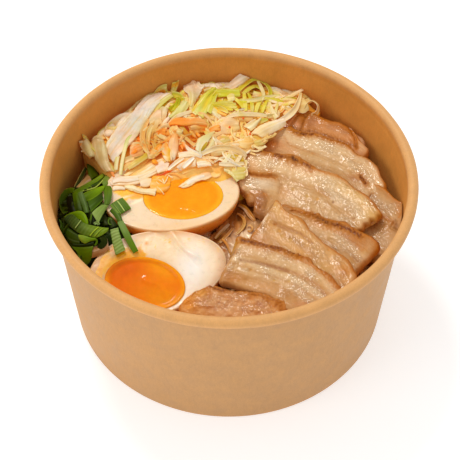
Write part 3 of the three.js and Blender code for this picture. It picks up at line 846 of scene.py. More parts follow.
def white_paint_front(px, u, v, w, kd, pos, edge):
    c = np.ones(pos.shape) * lin(242, 210, 164)
    f = np.sqrt((u ** 2 + v ** 2) / (edge[0][None] ** 2 + edge[1][None] ** 2))
    c = mix(c, lin(206, 146, 82), 0.8 * step(0.80, 1.0, f) * (kd == 1))
    c = mix(c, lin(230, 158, 72), 0.8 * blob(px, 172, 227, 26, 7, 8))
    # a whiter patch at the right: partly the unstained inner white, partly painted highlight
    c = mix(c, lin(244, 240, 232), 0.8 * blob(px, 192, 268, 17, 26, 15))
    c = mix(c, lin(222, 170, 104), 0.75 * blob(px, 98, 268, 16, 28))
    c = c * (1 + 0.03 * NZ.fbm(pos * 0.2, 3))[..., None]
    sk = mix(mix(lin(226, 152, 76), lin(214, 134, 56), step(-0.5, -5, w)), lin(196, 108, 32), step(-6, -16, w))
    c = np.where((kd >= 3)[..., None], sk * (1 + 0.06 * NZ.fbm(pos * 0.25 + 3, 3))[..., None], c)
    c = np.where((kd == 2)[..., None], mix(c, lin(222, 164, 104), 0.2 + 0.8 * step(0, -0.7, w)), c)
    n1 = NZ.fbm(xyz(px[..., 0] * 0.14, px[..., 1] * 0.16, 5), 3)
    s1 = np.maximum(blob(px, 125, 259, 20, 6.5, -12, 4), blob(px, 113, 255, 5, 10, 15, 3))
    s2 = 0.22 * np.sin(px[..., 0] * 1.3 + 2 * n1) * step(258, 248, px[..., 1])      # its edge runs out in drips
    c = mix(c, lin(250, 190, 36), 0.95 * step(0.16, 0.42, s1 + 0.3 * n1 + s2) * (kd == 1))
    c = mix(c, lin(238, 164, 0), 0.95 * step(0.3, 0.55, blob(px, 122, 257, 21, 6.5, -8, 4) + 0.3 * n1 + s2) * (kd == 1))
    d, wh = along(px, [(99, 276), (103.5, 266), (110, 258.5), (120, 254), (133, 252.5), (143, 255)])
    n2 = NZ.fbm(xyz(px[..., 0] * 0.45, px[..., 1] * 0.3, 9), 2)
    wide = 2.6 + 3.6 * np.sin(np.pi * np.clip(wh, 0.05, 0.95)) + 3.0 * n2 + 2.0 * n1
    c = mix(c, lin(255, 198, 40), 0.9 * step(1.25, 0.9, d / np.maximum(wide, 0.6)) * (kd == 1))
    c = mix(c, lin(244, 172, 0), 0.97 * step(1.0, 0.6, d / np.maximum(wide, 0.6)) * (kd == 1))
    c = mix(c, lin(194, 142, 0), 0.85 * blob(px, 113, 254.5, 6, 4.5, -20, 3) * (kd == 1))
    # a paler yellow spot at the yolk's top edge: partly yolk smear, partly painted light that lifts the shade of the
    # groove beside the yolk
    c = mix(c, lin(255, 196, 90), 0.6 * blob(px, 134, 254, 4, 2.2, 10, 3) * (kd == 1))
    c = mix(c, lin(244, 184, 50), 0.95 * blob(px, 106, 265, 3, 10, 22, 3) * (kd == 1))
    for x, y_, r in ((139, 248.5, 2.0), (146.5, 243, 1.8), (112, 250, 1.8), (120, 248, 1.6), (141, 252, 1.5)):
        c = mix(c, lin(238, 150, 20), 0.9 * blob(px, x, y_, r, r) * (kd == 1))
    return c


back_egg = make_egg('back', [([(60, 0), (61, 0)], 0.0, 1.0)], white_paint_back)
front_egg = make_egg('front', [([(156, 231), (170, 240), (184, 252), (196, 266)], -0.35, 1.6),
                               ([(172, 231), (181, 246), (190, 254), (198, 260)], 0.45, 1.8),
                               ([(164, 232), (176, 244), (186, 256)], -0.25, 1.4),
                               ([(190, 251), (194, 255), (199, 258)], 0.6, 2.0)], white_paint_front)


def make_yolk(key, data, top, paint):
    y, place, k = data['y'], data['place'], data['k']
    yx, yy = data['yx'], data['yy']
    ox, oy = y['at']
    us, vs, ws, fs = [], [], [], []
    for f in np.concatenate([np.linspace(0.015, 0.9, 44), np.linspace(0.915, 0.999, 8)]):
        us.append(ox + (yx - ox) * f); vs.append(oy + (yy - oy) * f); fs.append(f * np.ones(k)); ws.append(np.zeros(k))
    nt = len(us)
    for th in (8, 20, 32, 44, 56, 68, 80, 88):
        c, s = math.cos(math.radians(th)), math.sin(math.radians(th))
        us.append(ox + (yx - ox) * c); vs.append(oy + (yy - oy) * c)
        fs.append(np.full(k, 2.0)); ws.append(np.full(k, -y['depth'] * s))
    u, v, w, f = np.array(us), np.array(vs), np.array(ws), np.array(fs)
    px = to_px(place(u, v, w - y['sink']))
    h = top(px, u, v, f)
    w = np.where(f <= 1, h, w)
    pos = keep_inside(place(u, v, w), 0.5)
    b = Batch()
    loft(b, pos, paint(px, u, v, np.minimum(f, 1), pos))
    return b.make(f'egg_{key}_yolk_body', M_YOLK, 'egg_yolk', (f'egg_{key}_yolk',))


def yolk_top_back(px, u, v, f):
    h = 0.05 + 0.25 * (1 - f ** 4) + 0.12 * NZ.fbm(xyz(u * 0.25, v * 0.25, 1.0), 3) * step(1.0, 0.9, f)
    dist, wh = along(px, [(182, 208), (192, 211), (203, 215), (212, 217)])
    h = h + 0.22 * np.exp(-(dist / 1.3) ** 2)
    return h - 0.1 * step(0.95, 1.0, f)


def yolk_paint_back(px, u, v, f, pos):
    c = np.ones(pos.shape) * lin(255, 150, 4)
    c = mix(c, lin(255, 176, 30), step(0.80, 0.97, f))
    c = mix(c, lin(255, 168, 16), 0.6 * step(-0.2, 0.4, NZ.fbm(xyz(u * 0.14, v * 0.14, 2.0), 3)))
    c = mix(c, lin(238, 128, 4), 0.4 * blob(px, 160, 188, 16, 7))
    return c * (1 + 0.05 * NZ.fbm(pos * 0.5, 2))[..., None]


def yolk_top_front(px, u, v, f):
    bowl = -0.95 + 0.8 * step(0.80, 0.96, f) - 0.1 * step(0.1, 0.75, f)
    d, _ = along(px, [(145, 280), (150, 283), (156, 283.5), (162, 288), (165.5, 294.5)])
    bowl = bowl + 0.3 * np.exp(-(d / 3.0) ** 2)
    return bowl + 0.10 * NZ.fbm(xyz(u * 0.2, v * 0.2, 8.0), 2) * step(1.0, 0.8, f)


def yolk_paint_front(px, u, v, f, pos):
    c = np.ones(pos.shape) * lin(242, 118, 0)
    c = mix(c, lin(250, 134, 2), 0.8 * blob(px, 166, 284, 26, 22, 20))
    c = mix(c, lin(255, 158, 4), 0.9 * np.maximum(blob(px, 168, 304, 30, 14, 20), blob(px, 160, 267, 20, 9, 35)))
    c = mix(c, lin(222, 92, 1), 0.5 * blob(px, 128, 270, 14, 6, -20))
    c = mix(c, lin(255, 156, 6), step(0.83, 0.95, f))
    # darker orange at the yolk's left rim: partly the yolk's own deeper colour, partly painted shade under the white's
    # edge
    c = mix(c, lin(206, 100, 0), 0.7 * step(0.8, 0.93, f) * blob(px, 112, 264, 22, 12, -20, 4))
    n1 = NZ.fbm(xyz(px[..., 0] * 0.3, px[..., 1] * 0.3, 7), 2)
    return c * (1 + 0.05 * NZ.fbm(pos * 0.4, 2))[..., None]


make_yolk('back', back_egg, yolk_top_back, yolk_paint_back)
make_yolk('front', front_egg, yolk_top_front, yolk_paint_front)

# ------------------------------------------------------------------------------------------------------------- slices

LEAN, FAT, BROWN, GOLD = lin(172, 114, 54), lin(212, 175, 128), lin(112, 46, 0), lin(180, 106, 16)
# PALE: pale fat, partly painted highlight where it is spotted on the slices
TAN, PALE, YEL, RUST = lin(194, 149, 94), lin(236, 213, 182), lin(206, 156, 68), lin(160, 88, 18)

# small shifts of a slice's outline in the picture frame: (from x, y, to x, y)
SHIFTS = dict(
    pork_slice_1=[(291, 130, 285, 124), (285, 137, 276, 137), (281, 150, 266, 146), (278, 156, 270, 154), (371, 168, 375, 163), (384, 184, 386, 188), (320, 138, 320, 136), (345, 149, 346, 145), (300, 166, 300, 166)],
    pork_slice_2=[(251, 153, 247, 152), (248, 163, 245, 163), (249, 178, 243, 178), (240, 206, 250, 204), (262, 211, 258, 219), (334, 216, 328, 222), (300, 207, 300, 213), (362, 230, 357, 235), (381, 213, 383, 216), (371, 228, 369, 227), (300, 165, 300, 162), (340, 180, 342, 178)],
    pork_slice_3=[(308, 206, 309, 214), (334, 216, 331, 223), (358, 231, 356, 234), (285, 200, 292, 209)],
    pork_slice_4=[(278, 198, 277, 200), (267, 210, 270, 211), (257, 222, 262, 222), (249, 235, 251, 238), (294, 208, 291, 213), (324, 239, 318, 236), (342, 260, 345, 260)],
    pork_slice_5=[(245, 238, 237, 239), (234, 252, 235, 252), (225, 272, 224, 272), (219, 287, 221, 284), (303, 257, 302, 256), (327, 268, 321, 270), (347, 285, 340, 289), (267, 242, 265, 244)],
    pork_lean_end=[(180, 289, 190, 297), (208, 289, 209, 284), (196, 289, 199, 292), (218, 290, 217, 286), (226, 290, 226, 291), (258, 290, 258, 293), (281, 298, 281, 302), (285, 309, 281, 311)],
    pork_rear_slice=[(310, 117, 306, 112), (326, 126, 326, 121), (345, 137, 345, 128), (370, 151, 368, 150), (292, 122, 291, 122), (318, 121, 316, 118)],
)


def shift_outline(name, pos, z0):
    """Moves a slice's points sideways so that its outline follows the listed shifts."""
    if name not in SHIFTS:
        return pos
    q = to_px(xyz(pos[..., 0], pos[..., 1], z0))
    top, low = 0.0, 0.12
    for x0, y0, x1, y1 in SHIFTS[name]:
        w = np.exp(-(((q[..., 0] - x0) ** 2 + (q[..., 1] - y0) ** 2) / 9.0 ** 2))[..., None]
        top = top + w * np.array([x1 - x0, y1 - y0])
        low = low + w
    q = q + top / low
    r = at_px(np.concatenate([q.reshape(-1, 2), np.full((q[..., 0].size, 1), z0)], 1)).reshape(pos.shape)
    return xyz(r[..., 0], r[..., 1], pos[..., 2])



def slice_axis(p):
    steps = 400
    s = -1 + 2 * (np.arange(steps) + 0.5) / steps
    m_ = np.radians(p['az']) + np.radians(p['bend']) * s / 2 + np.radians(p['hook']) * (s * s - 1 / 3)
    x = np.concatenate([[0], np.cumsum(np.cos(m_) * p['L'] / steps)])
    y = np.concatenate([[0], np.cumsum(np.sin(m_) * p['L'] / steps)])
    g = np.linspace(-1, 1, steps + 1)

    def axis(q):
        q = np.clip(q, -1, 1)
        d = np.radians(p['az']) + np.radians(p['bend']) * q / 2 + np.radians(p['hook']) * (q * q - 1 / 3)
        return (p['at'][0] + np.interp(q, g, x) - x[steps // 2], p['at'][1] + np.interp(q, g, y) - y[steps // 2],
                p['at'][2] + p['L'] / 2 * q * math.tan(math.radians(p['pitch'])) + p['arch'] * (1 - q * q), d)
    return axis


def make_slice(p, look):
    L, R, T = p['L'], p['round'], p['T']
    axis = slice_axis(p)
    re = 1.3                                 # rounding of the ends' edges
    ends = re * (1 - np.cos(np.radians([6, 24, 42, 60, 75, 90])))
    mid = np.linspace(re, L - re, int(L / 0.38))
    d = np.concatenate([ends[:-1], mid, (L - ends[:-1])[::-1]])
    s = -1 + 2 * d / L
    e = np.minimum(d, L - d)
    cx, cy, cz, di = axis(s)
    f = (s + 1) / 2
    corner = np.where(e < R, R - np.sqrt(np.maximum(0, R * R - (R - np.minimum(e, R)) ** 2)), 0)
    half = (p['W'] / 2 * (p['w'][0] * (1 - f) + p['w'][1] * f) - corner + 0.5 * np.sin(5.1 * s + p['az'])
            + 0.3 * np.sin(11 * s + p['L']))
    thick = T / 2 * np.where(e < R, 0.6 + 0.4 * np.sqrt(np.maximum(0, 1 - (1 - np.minimum(e, R) / R) ** 2)), 1)
    thick = thick * np.where(e < re, np.sqrt(np.maximum(0.004, 1 - (1 - e / re) ** 2)), 1)
    roll = np.radians(p['tilt'][0] * (1 - f) + p['tilt'][1] * f)
    skew = p['skew'][0] * (1 - f) + p['skew'][1] * f
    # section: rounded box, walked from the rear edge over the top to the front edge and back underneath
    nt = int(p['W'] / 0.33)
    rc = np.minimum(thick, 1.5)
    rows_x, rows_h, tag = [], [], []
    for tau in np.linspace(1, -1, nt):
        rows_x.append((half - rc) * tau); rows_h.append(thick * (1 + 0.05 * (1 - tau * tau))); tag.append(0)
    for a in (15, 32, 50, 68, 86):
        rows_x.append(-(half - rc) - rc * math.sin(math.radians(a))); rows_h.append(thick - rc + rc * math.cos(math.radians(a))); tag.append(1)
    for a in (68, 45, 20):
        rows_x.append(-(half - rc) - rc * math.sin(math.radians(a))); rows_h.append(-(thick - rc) - rc * math.cos(math.radians(a))); tag.append(1)
    for tau in np.linspace(-1, 1, 16):
        rows_x.append((half - rc) * tau); rows_h.append(-thick); tag.append(2)
    for a in (20, 45, 68):
        rows_x.append((half - rc) + rc * math.sin(math.radians(a))); rows_h.append(-(thick - rc) - rc * math.cos(math.radians(a))); tag.append(1)
    for a in (86, 68, 50, 32, 15):
        rows_x.append((half - rc) + rc * math.sin(math.radians(a))); rows_h.append(thick - rc + rc * math.cos(math.radians(a))); tag.append(1)
    w = np.stack(rows_x, 1)
    h = np.stack(rows_h, 1)
    tag = np.array(tag)[None] * np.ones_like(w)
    t = w / np.maximum(half, 1e-3)[:, None]
    S = s[:, None] * np.ones_like(w)
    ux, uy = np.cos(di)[:, None], np.sin(di)[:, None]
    vx, vy = -uy, ux
    ro = roll[:, None]

    def build(w, h, du=0.0, dz=0.0):
        y = w * np.cos(ro) - h * np.sin(ro)
        a = skew[:, None] * w + du
        return xyz(cx[:, None] + vx * y + ux * a, cy[:, None] + vy * y + uy * a,
                   cz[:, None] + w * np.sin(ro) + h * np.cos(ro) + p['curl'] * np.maximum(0, t) ** 2 + dz)

    pos = shift_outline(p['name'], build(w, h), p['at'][2])
    ml, mt = S * L / 2, w                    # millimetres along and across
    px = to_px(pos)
    ctx = dict(p=p, s=S, t=t, ml=ml, mt=mt, px=px, pos=pos, tag=tag, h=h, seed=p['L'] + p['az'])
    dh, du, dw, dz, col, wet = look(ctx)
    pos = keep_inside(shift_outline(p['name'], build(w + dw, h + dh, du, dz), p['at'][2]), 0.5)
    b = Batch()
    loft(b, pos, col, wet)
    return b.make(p['name'] + '_meat', M_PORK, 'pork', (p['name'],))


def belly_look(bands, rear=(0.7, 1.2), ends=(0.5, 0.5), serr=(0.0, 0.0), extra=None, lean=LEAN, fat=FAT, fibre=1.0,
               wet_mask=None, lumpy=0.0):
    """Look of a belly slice. bands: (place across, half width, strength) of the fat layers; rear: darkness and width
    (mm) of the browned skin edge; ends: browning of the left and right end; serr: depth of the notches (mm) there."""
    def look(c):
        s, t, ml, mt, px, sd = c['s'], c['t'], c['ml'], c['mt'], c['px'], c['seed']
        L, W = c['p']['L'], c['p']['W']
        top = (c['tag'] == 0) | ((c['tag'] == 1) & (c['h'] > 0))
        warp = 0.10 * NZ(xyz(ml * 0.06, t * 0.8, sd)) + 0.03 * NZ(xyz(ml * 0.2, t * 2, sd + 4))
        tt = t + warp
        fatness = np.zeros_like(t)
        for tc, hw, st in bands:
            fatness = np.maximum(fatness, st * np.exp(-(np.abs(tt - tc) / hw) ** 3))
        fatness = np.clip(fatness + 0.12 * NZ.fbm(xyz(ml * 0.12, mt * 0.5, sd + 9), 3), 0, 1)
        col = mix(lean, fat, fatness)
        streak = NZ.fbm(xyz(ml * 0.10, mt * 1.3, sd + 2), 3)
        streak2 = NY.fbm(xyz(ml * 0.35, mt * 3.0, sd + 5), 2)
        col = col * (1 + fibre * (0.07 * streak + 0.05 * streak2) * (1 - 0.5 * fatness))[..., None]
        col = col * (1 + 0.05 * NY.fbm(xyz(ml * 0.1, mt * 0.14, sd), 2))[..., None]
        grain = NY.fbm(xyz(ml * 0.045, mt * 2.1, sd + 21), 2)
        col = mix(col, col * np.array([0.92, 0.82, 0.62]), 0.55 * step(0.1, 0.45, grain))
        stain = NY.fbm(xyz(ml * 0.13, mt * 0.2, sd + 40), 3)
        col = mix(col, col * np.array([0.9, 0.77, 0.48]), 0.75 * step(0.0, 0.5, stain))
        # browned skin along the rear edge
        half = np.abs(mt / np.where(np.abs(t) < 1e-3, 1, t))
        from_rear = np.where(np.abs(t) < 1e-3, W / 2, half - mt)
        dark, width = rear
        pat = 0.55 + 0.75 * NY.fbm(xyz(ml * 0.22, 0.4, sd + 1), 3)
        ww = width * (0.75 + 0.6 * NY.fbm(xyz(ml * 0.45, 1.4, sd + 1), 2))
        edge = np.exp(-(np.maximum(0, from_rear) / np.maximum(ww, 0.2)) ** 2)
        rim_ = np.exp(-(np.maximum(0, from_rear) / (0.5 + ww * 2.1)) ** 2)
        col = mix(col, GOLD, np.clip((0.6 + 0.75 * dark) * rim_ * (0.6 + 0.7 * pat), 0, 0.96))
        col = mix(col, BROWN, np.clip(edge * dark * pat * 1.25, 0, 0.95))
        # ends
        el, er = (s + 1) * L / 2, (1 - s) * L / 2
        for dist, amt in ((el, ends[0]), (er, ends[1])):
            col = mix(col, GOLD, np.clip(1.4 * amt * np.exp(-(dist / 1.2) ** 1.5), 0, 0.9))
        under = (c['tag'] == 2) | ((c['tag'] == 1) & (c['h'] < 0))
        # undersides and lower edges are pulled toward one tan, darker than the fat: painted shade under the slice
        col = np.where(under[..., None], mix(col, lin(186, 124, 72), 0.6), col)
        # relief: layers, bundles of fibres, pits, wet bumps
        dh = 0.16 * streak * fibre + 0.10 * NY.fbm(xyz(ml * 0.5, mt * 0.9, sd), 2)
        dh = dh + 0.22 * (fatness - 0.4) * step(0.0, 0.6, fatness)
        knob = NY.fbm(xyz(ml * 0.75, mt * 0.85, sd + 7), 2)
        dh = dh + 0.16 * knob * fatness
        dh = dh + 0.45 * NZ(xyz(ml * 0.05, mt * 0.07, sd + 3))
        if lumpy:
            bump_ = NY.fbm(xyz(ml * 0.36, mt * 0.4, sd + 51), 3)
            dh = dh + lumpy * bump_
            # the lumps are darker in their hollows and paler on their tops: painted shade and light following the
            # relief
            col = mix(col, col * np.array([0.82, 0.66, 0.4]), step(0.05, -0.4, bump_))
            col = mix(col, lin(216, 164, 104), 0.6 * step(0.1, 0.5, bump_))
        dh = dh + edge * 0.25 * dark * NY.fbm(xyz(ml * 1.2, mt * 1.2, sd), 2)
        dh = dh * step(0.2, 2.2, np.minimum(el, er)) * np.where(top, 1.0, 0.3)
        dw = np.where(c['tag'] == 1, 1.0, 0.0) * (0.35 * NY.fbm(xyz(ml * 0.35, sd, t), 3) + 0.18 * NZ.fbm(xyz(ml * 1.1, sd, t), 2)) * np.sign(t)
        tri = np.abs(((mt * 0.34 + 0.3 * NZ(xyz(mt * 0.2, sd, 0.0))) % 1.0) - 0.5) * 2 - 0.5
        du = serr[1] * tri * step(5.0, 0.5, er) - serr[0] * tri * step(5.0, 0.5, el)
        du = du + 0.35 * NZ.fbm(xyz(mt * 0.25, sd, 1.0), 2) * (step(6, 0, er) - step(6, 0, el))
        dz = np.zeros_like(t)
        wet = np.clip(0.15 + 0.7 * NZ.fbm(xyz(ml * 0.09, mt * 0.16, sd + 6), 3) + 0.2 * fatness, 0, 1)
        worms = 1 - np.abs(NY.fbm(xyz(ml * 0.42 + 0.8 * NZ(xyz(ml * 0.3, mt * 0.3, sd)), mt * 0.8, sd + 11), 2)) * 3.2
        worms = np.clip(worms, 0, 1) ** 1.5
        run = 0.7 * NY.fbm(xyz(ml * 0.16 + 0.3 * streak2, mt * 1.1, sd + 31), 2) + 0.3 * NY.fbm(xyz(ml * 0.5, mt * 1.7, sd + 33), 2)
        glint = NY.fbm(xyz(ml * 0.6 + 0.5 * streak, mt * 1.5, sd + 35), 2)
        if wet_mask is not None:
            for (cx_, cy_, rx, ry, ang, amt) in wet_mask:
                f = amt * blob(px, cx_, cy_, rx, ry, ang, 3)
                wet = np.clip(wet + 0.9 * f, 0, 1.4)
                fringe = step(0.02, 0.3, f)
                soft_ = step(0.25, 0.8, f + 0.5 * run) * (0.5 if amt > 0.85 else 0.3) * (0.5 if lumpy else 1.0)
                grain2 = NY.fbm(xyz(ml * 0.85, mt * 1.0, sd + 41), 2) if lumpy else NY.fbm(xyz(ml * 0.14, mt * 1.4, sd + 41), 2)
                line_ = step(0.16 if lumpy else 0.06, 0.27 if lumpy else 0.2, grain2) * fringe * (0.62 if lumpy else 0.55 if amt > 0.85 else 0.42)
                spot_ = step(0.3, 0.46, glint + 0.25 * f) * fringe * 0.6
                g_ = 1 - (1 - soft_) * (1 - line_) * (1 - spot_)
                wet = np.clip(wet + 0.8 * np.clip(g_, 0, 0.86), 0, 1.6)
                dh = dh + (0.16 * f * (worms - 0.3) + 0.24 * line_ + 0.2 * spot_) * np.where(top, 1.0, 0.0)
        wet = wet + 0.3 * step(0.46, 0.6, glint)
        wet = wet * (1 - 0.85 * np.clip(edge * dark * 1.4, 0, 1))
        if extra is not None:
            dh, du, dw, dz, col, wet = extra(c, dh, du, dw, dz, col, wet)
        return dh, du, dw, dz, col, wet
    return look


def dab(col, px, spots, on=None):
    """Colour spots given in the picture frame: (x, y, rx, ry, angle, colour, strength)."""
    for x, y, rx, ry, a, c, k in spots:
        f = k * blob(px, x, y, rx, ry, a)
        col = mix(col, c, np.clip(f if on is None else f * on, 0, 1))
    return col


def dab_lines(col, px, lines):
    """Coloured lines given in the picture frame: (points, width, colour, strength)."""
    for pts, wd, c, k in lines:
        d, _ = along(px, pts)
        col = mix(col, c, np.clip(k * np.exp(-(d / wd) ** 2), 0, 1))
    return col


def press_lines(dh, px, lines):
    for pts, wd, amp in lines:
        d, _ = along(px, pts)
        dh = dh + amp * np.exp(-(d / wd) ** 2)
    return dh


def spots_lines(spots=(), lines=(), press=(), pits=(), raise_=()):
    """A hook for belly_look: colour spots, coloured lines, pressed lines, small pits and raised lobes of the picture."""
    def hook(c, dh, du, dw, dz, col, wet):
        px = c['px']
        top = np.where((c['tag'] == 0) | ((c['tag'] == 1) & (c['h'] > 0)), 1.0, 0.25)
        col = dab(col, px, spots, top)
        n = NY.fbm(xyz(px[..., 0] * 0.5, px[..., 1] * 0.5, c['seed']), 2)
        for pts, wd, cc, k in lines:
            d, _ = along(px, pts)
            if cc is BROWN or cc is RUST or cc[0] < BROWN[0] * 1.01:
                lump_ = NZ.fbm(c['pos'] * 1.0 + 9, 2)
                near = k * np.exp(-(d / (wd * 1.7)) ** 2) * top
                dh = dh + near * (0.12 + 0.75 * lump_)
                cc = mix(cc * np.ones(3), GOLD, 0.75 * step(0.05, 0.45, lump_))
                wet = wet * (1 - 0.85 * np.clip(k * np.exp(-(d / (wd * 1.4)) ** 2), 0, 1))
                col = mix(col, GOLD, np.clip(k * (1.1 + 0.8 * n) * np.exp(-(d / (wd * (2.7 + n))) ** 2), 0, 0.95) * top)
            col = mix(col, cc, np.clip(k * (1 + 0.9 * n) * np.exp(-(d / (wd * (1 + 0.5 * n))) ** 2), 0, 1) * top)
        dh = press_lines(dh, px, press)
        for x, y, r, cc in pits:
            f = blob(px, x, y, r, r * 0.8)
            dh = dh - 0.5 * f
            col = mix(col, cc, 0.8 * f)
        for x, y, rx, ry, a, hh in raise_:
            dz = dz + hh * blob(px, x, y, rx, ry, a)
        return dh, du, dw, dz, col, wet
    return hook


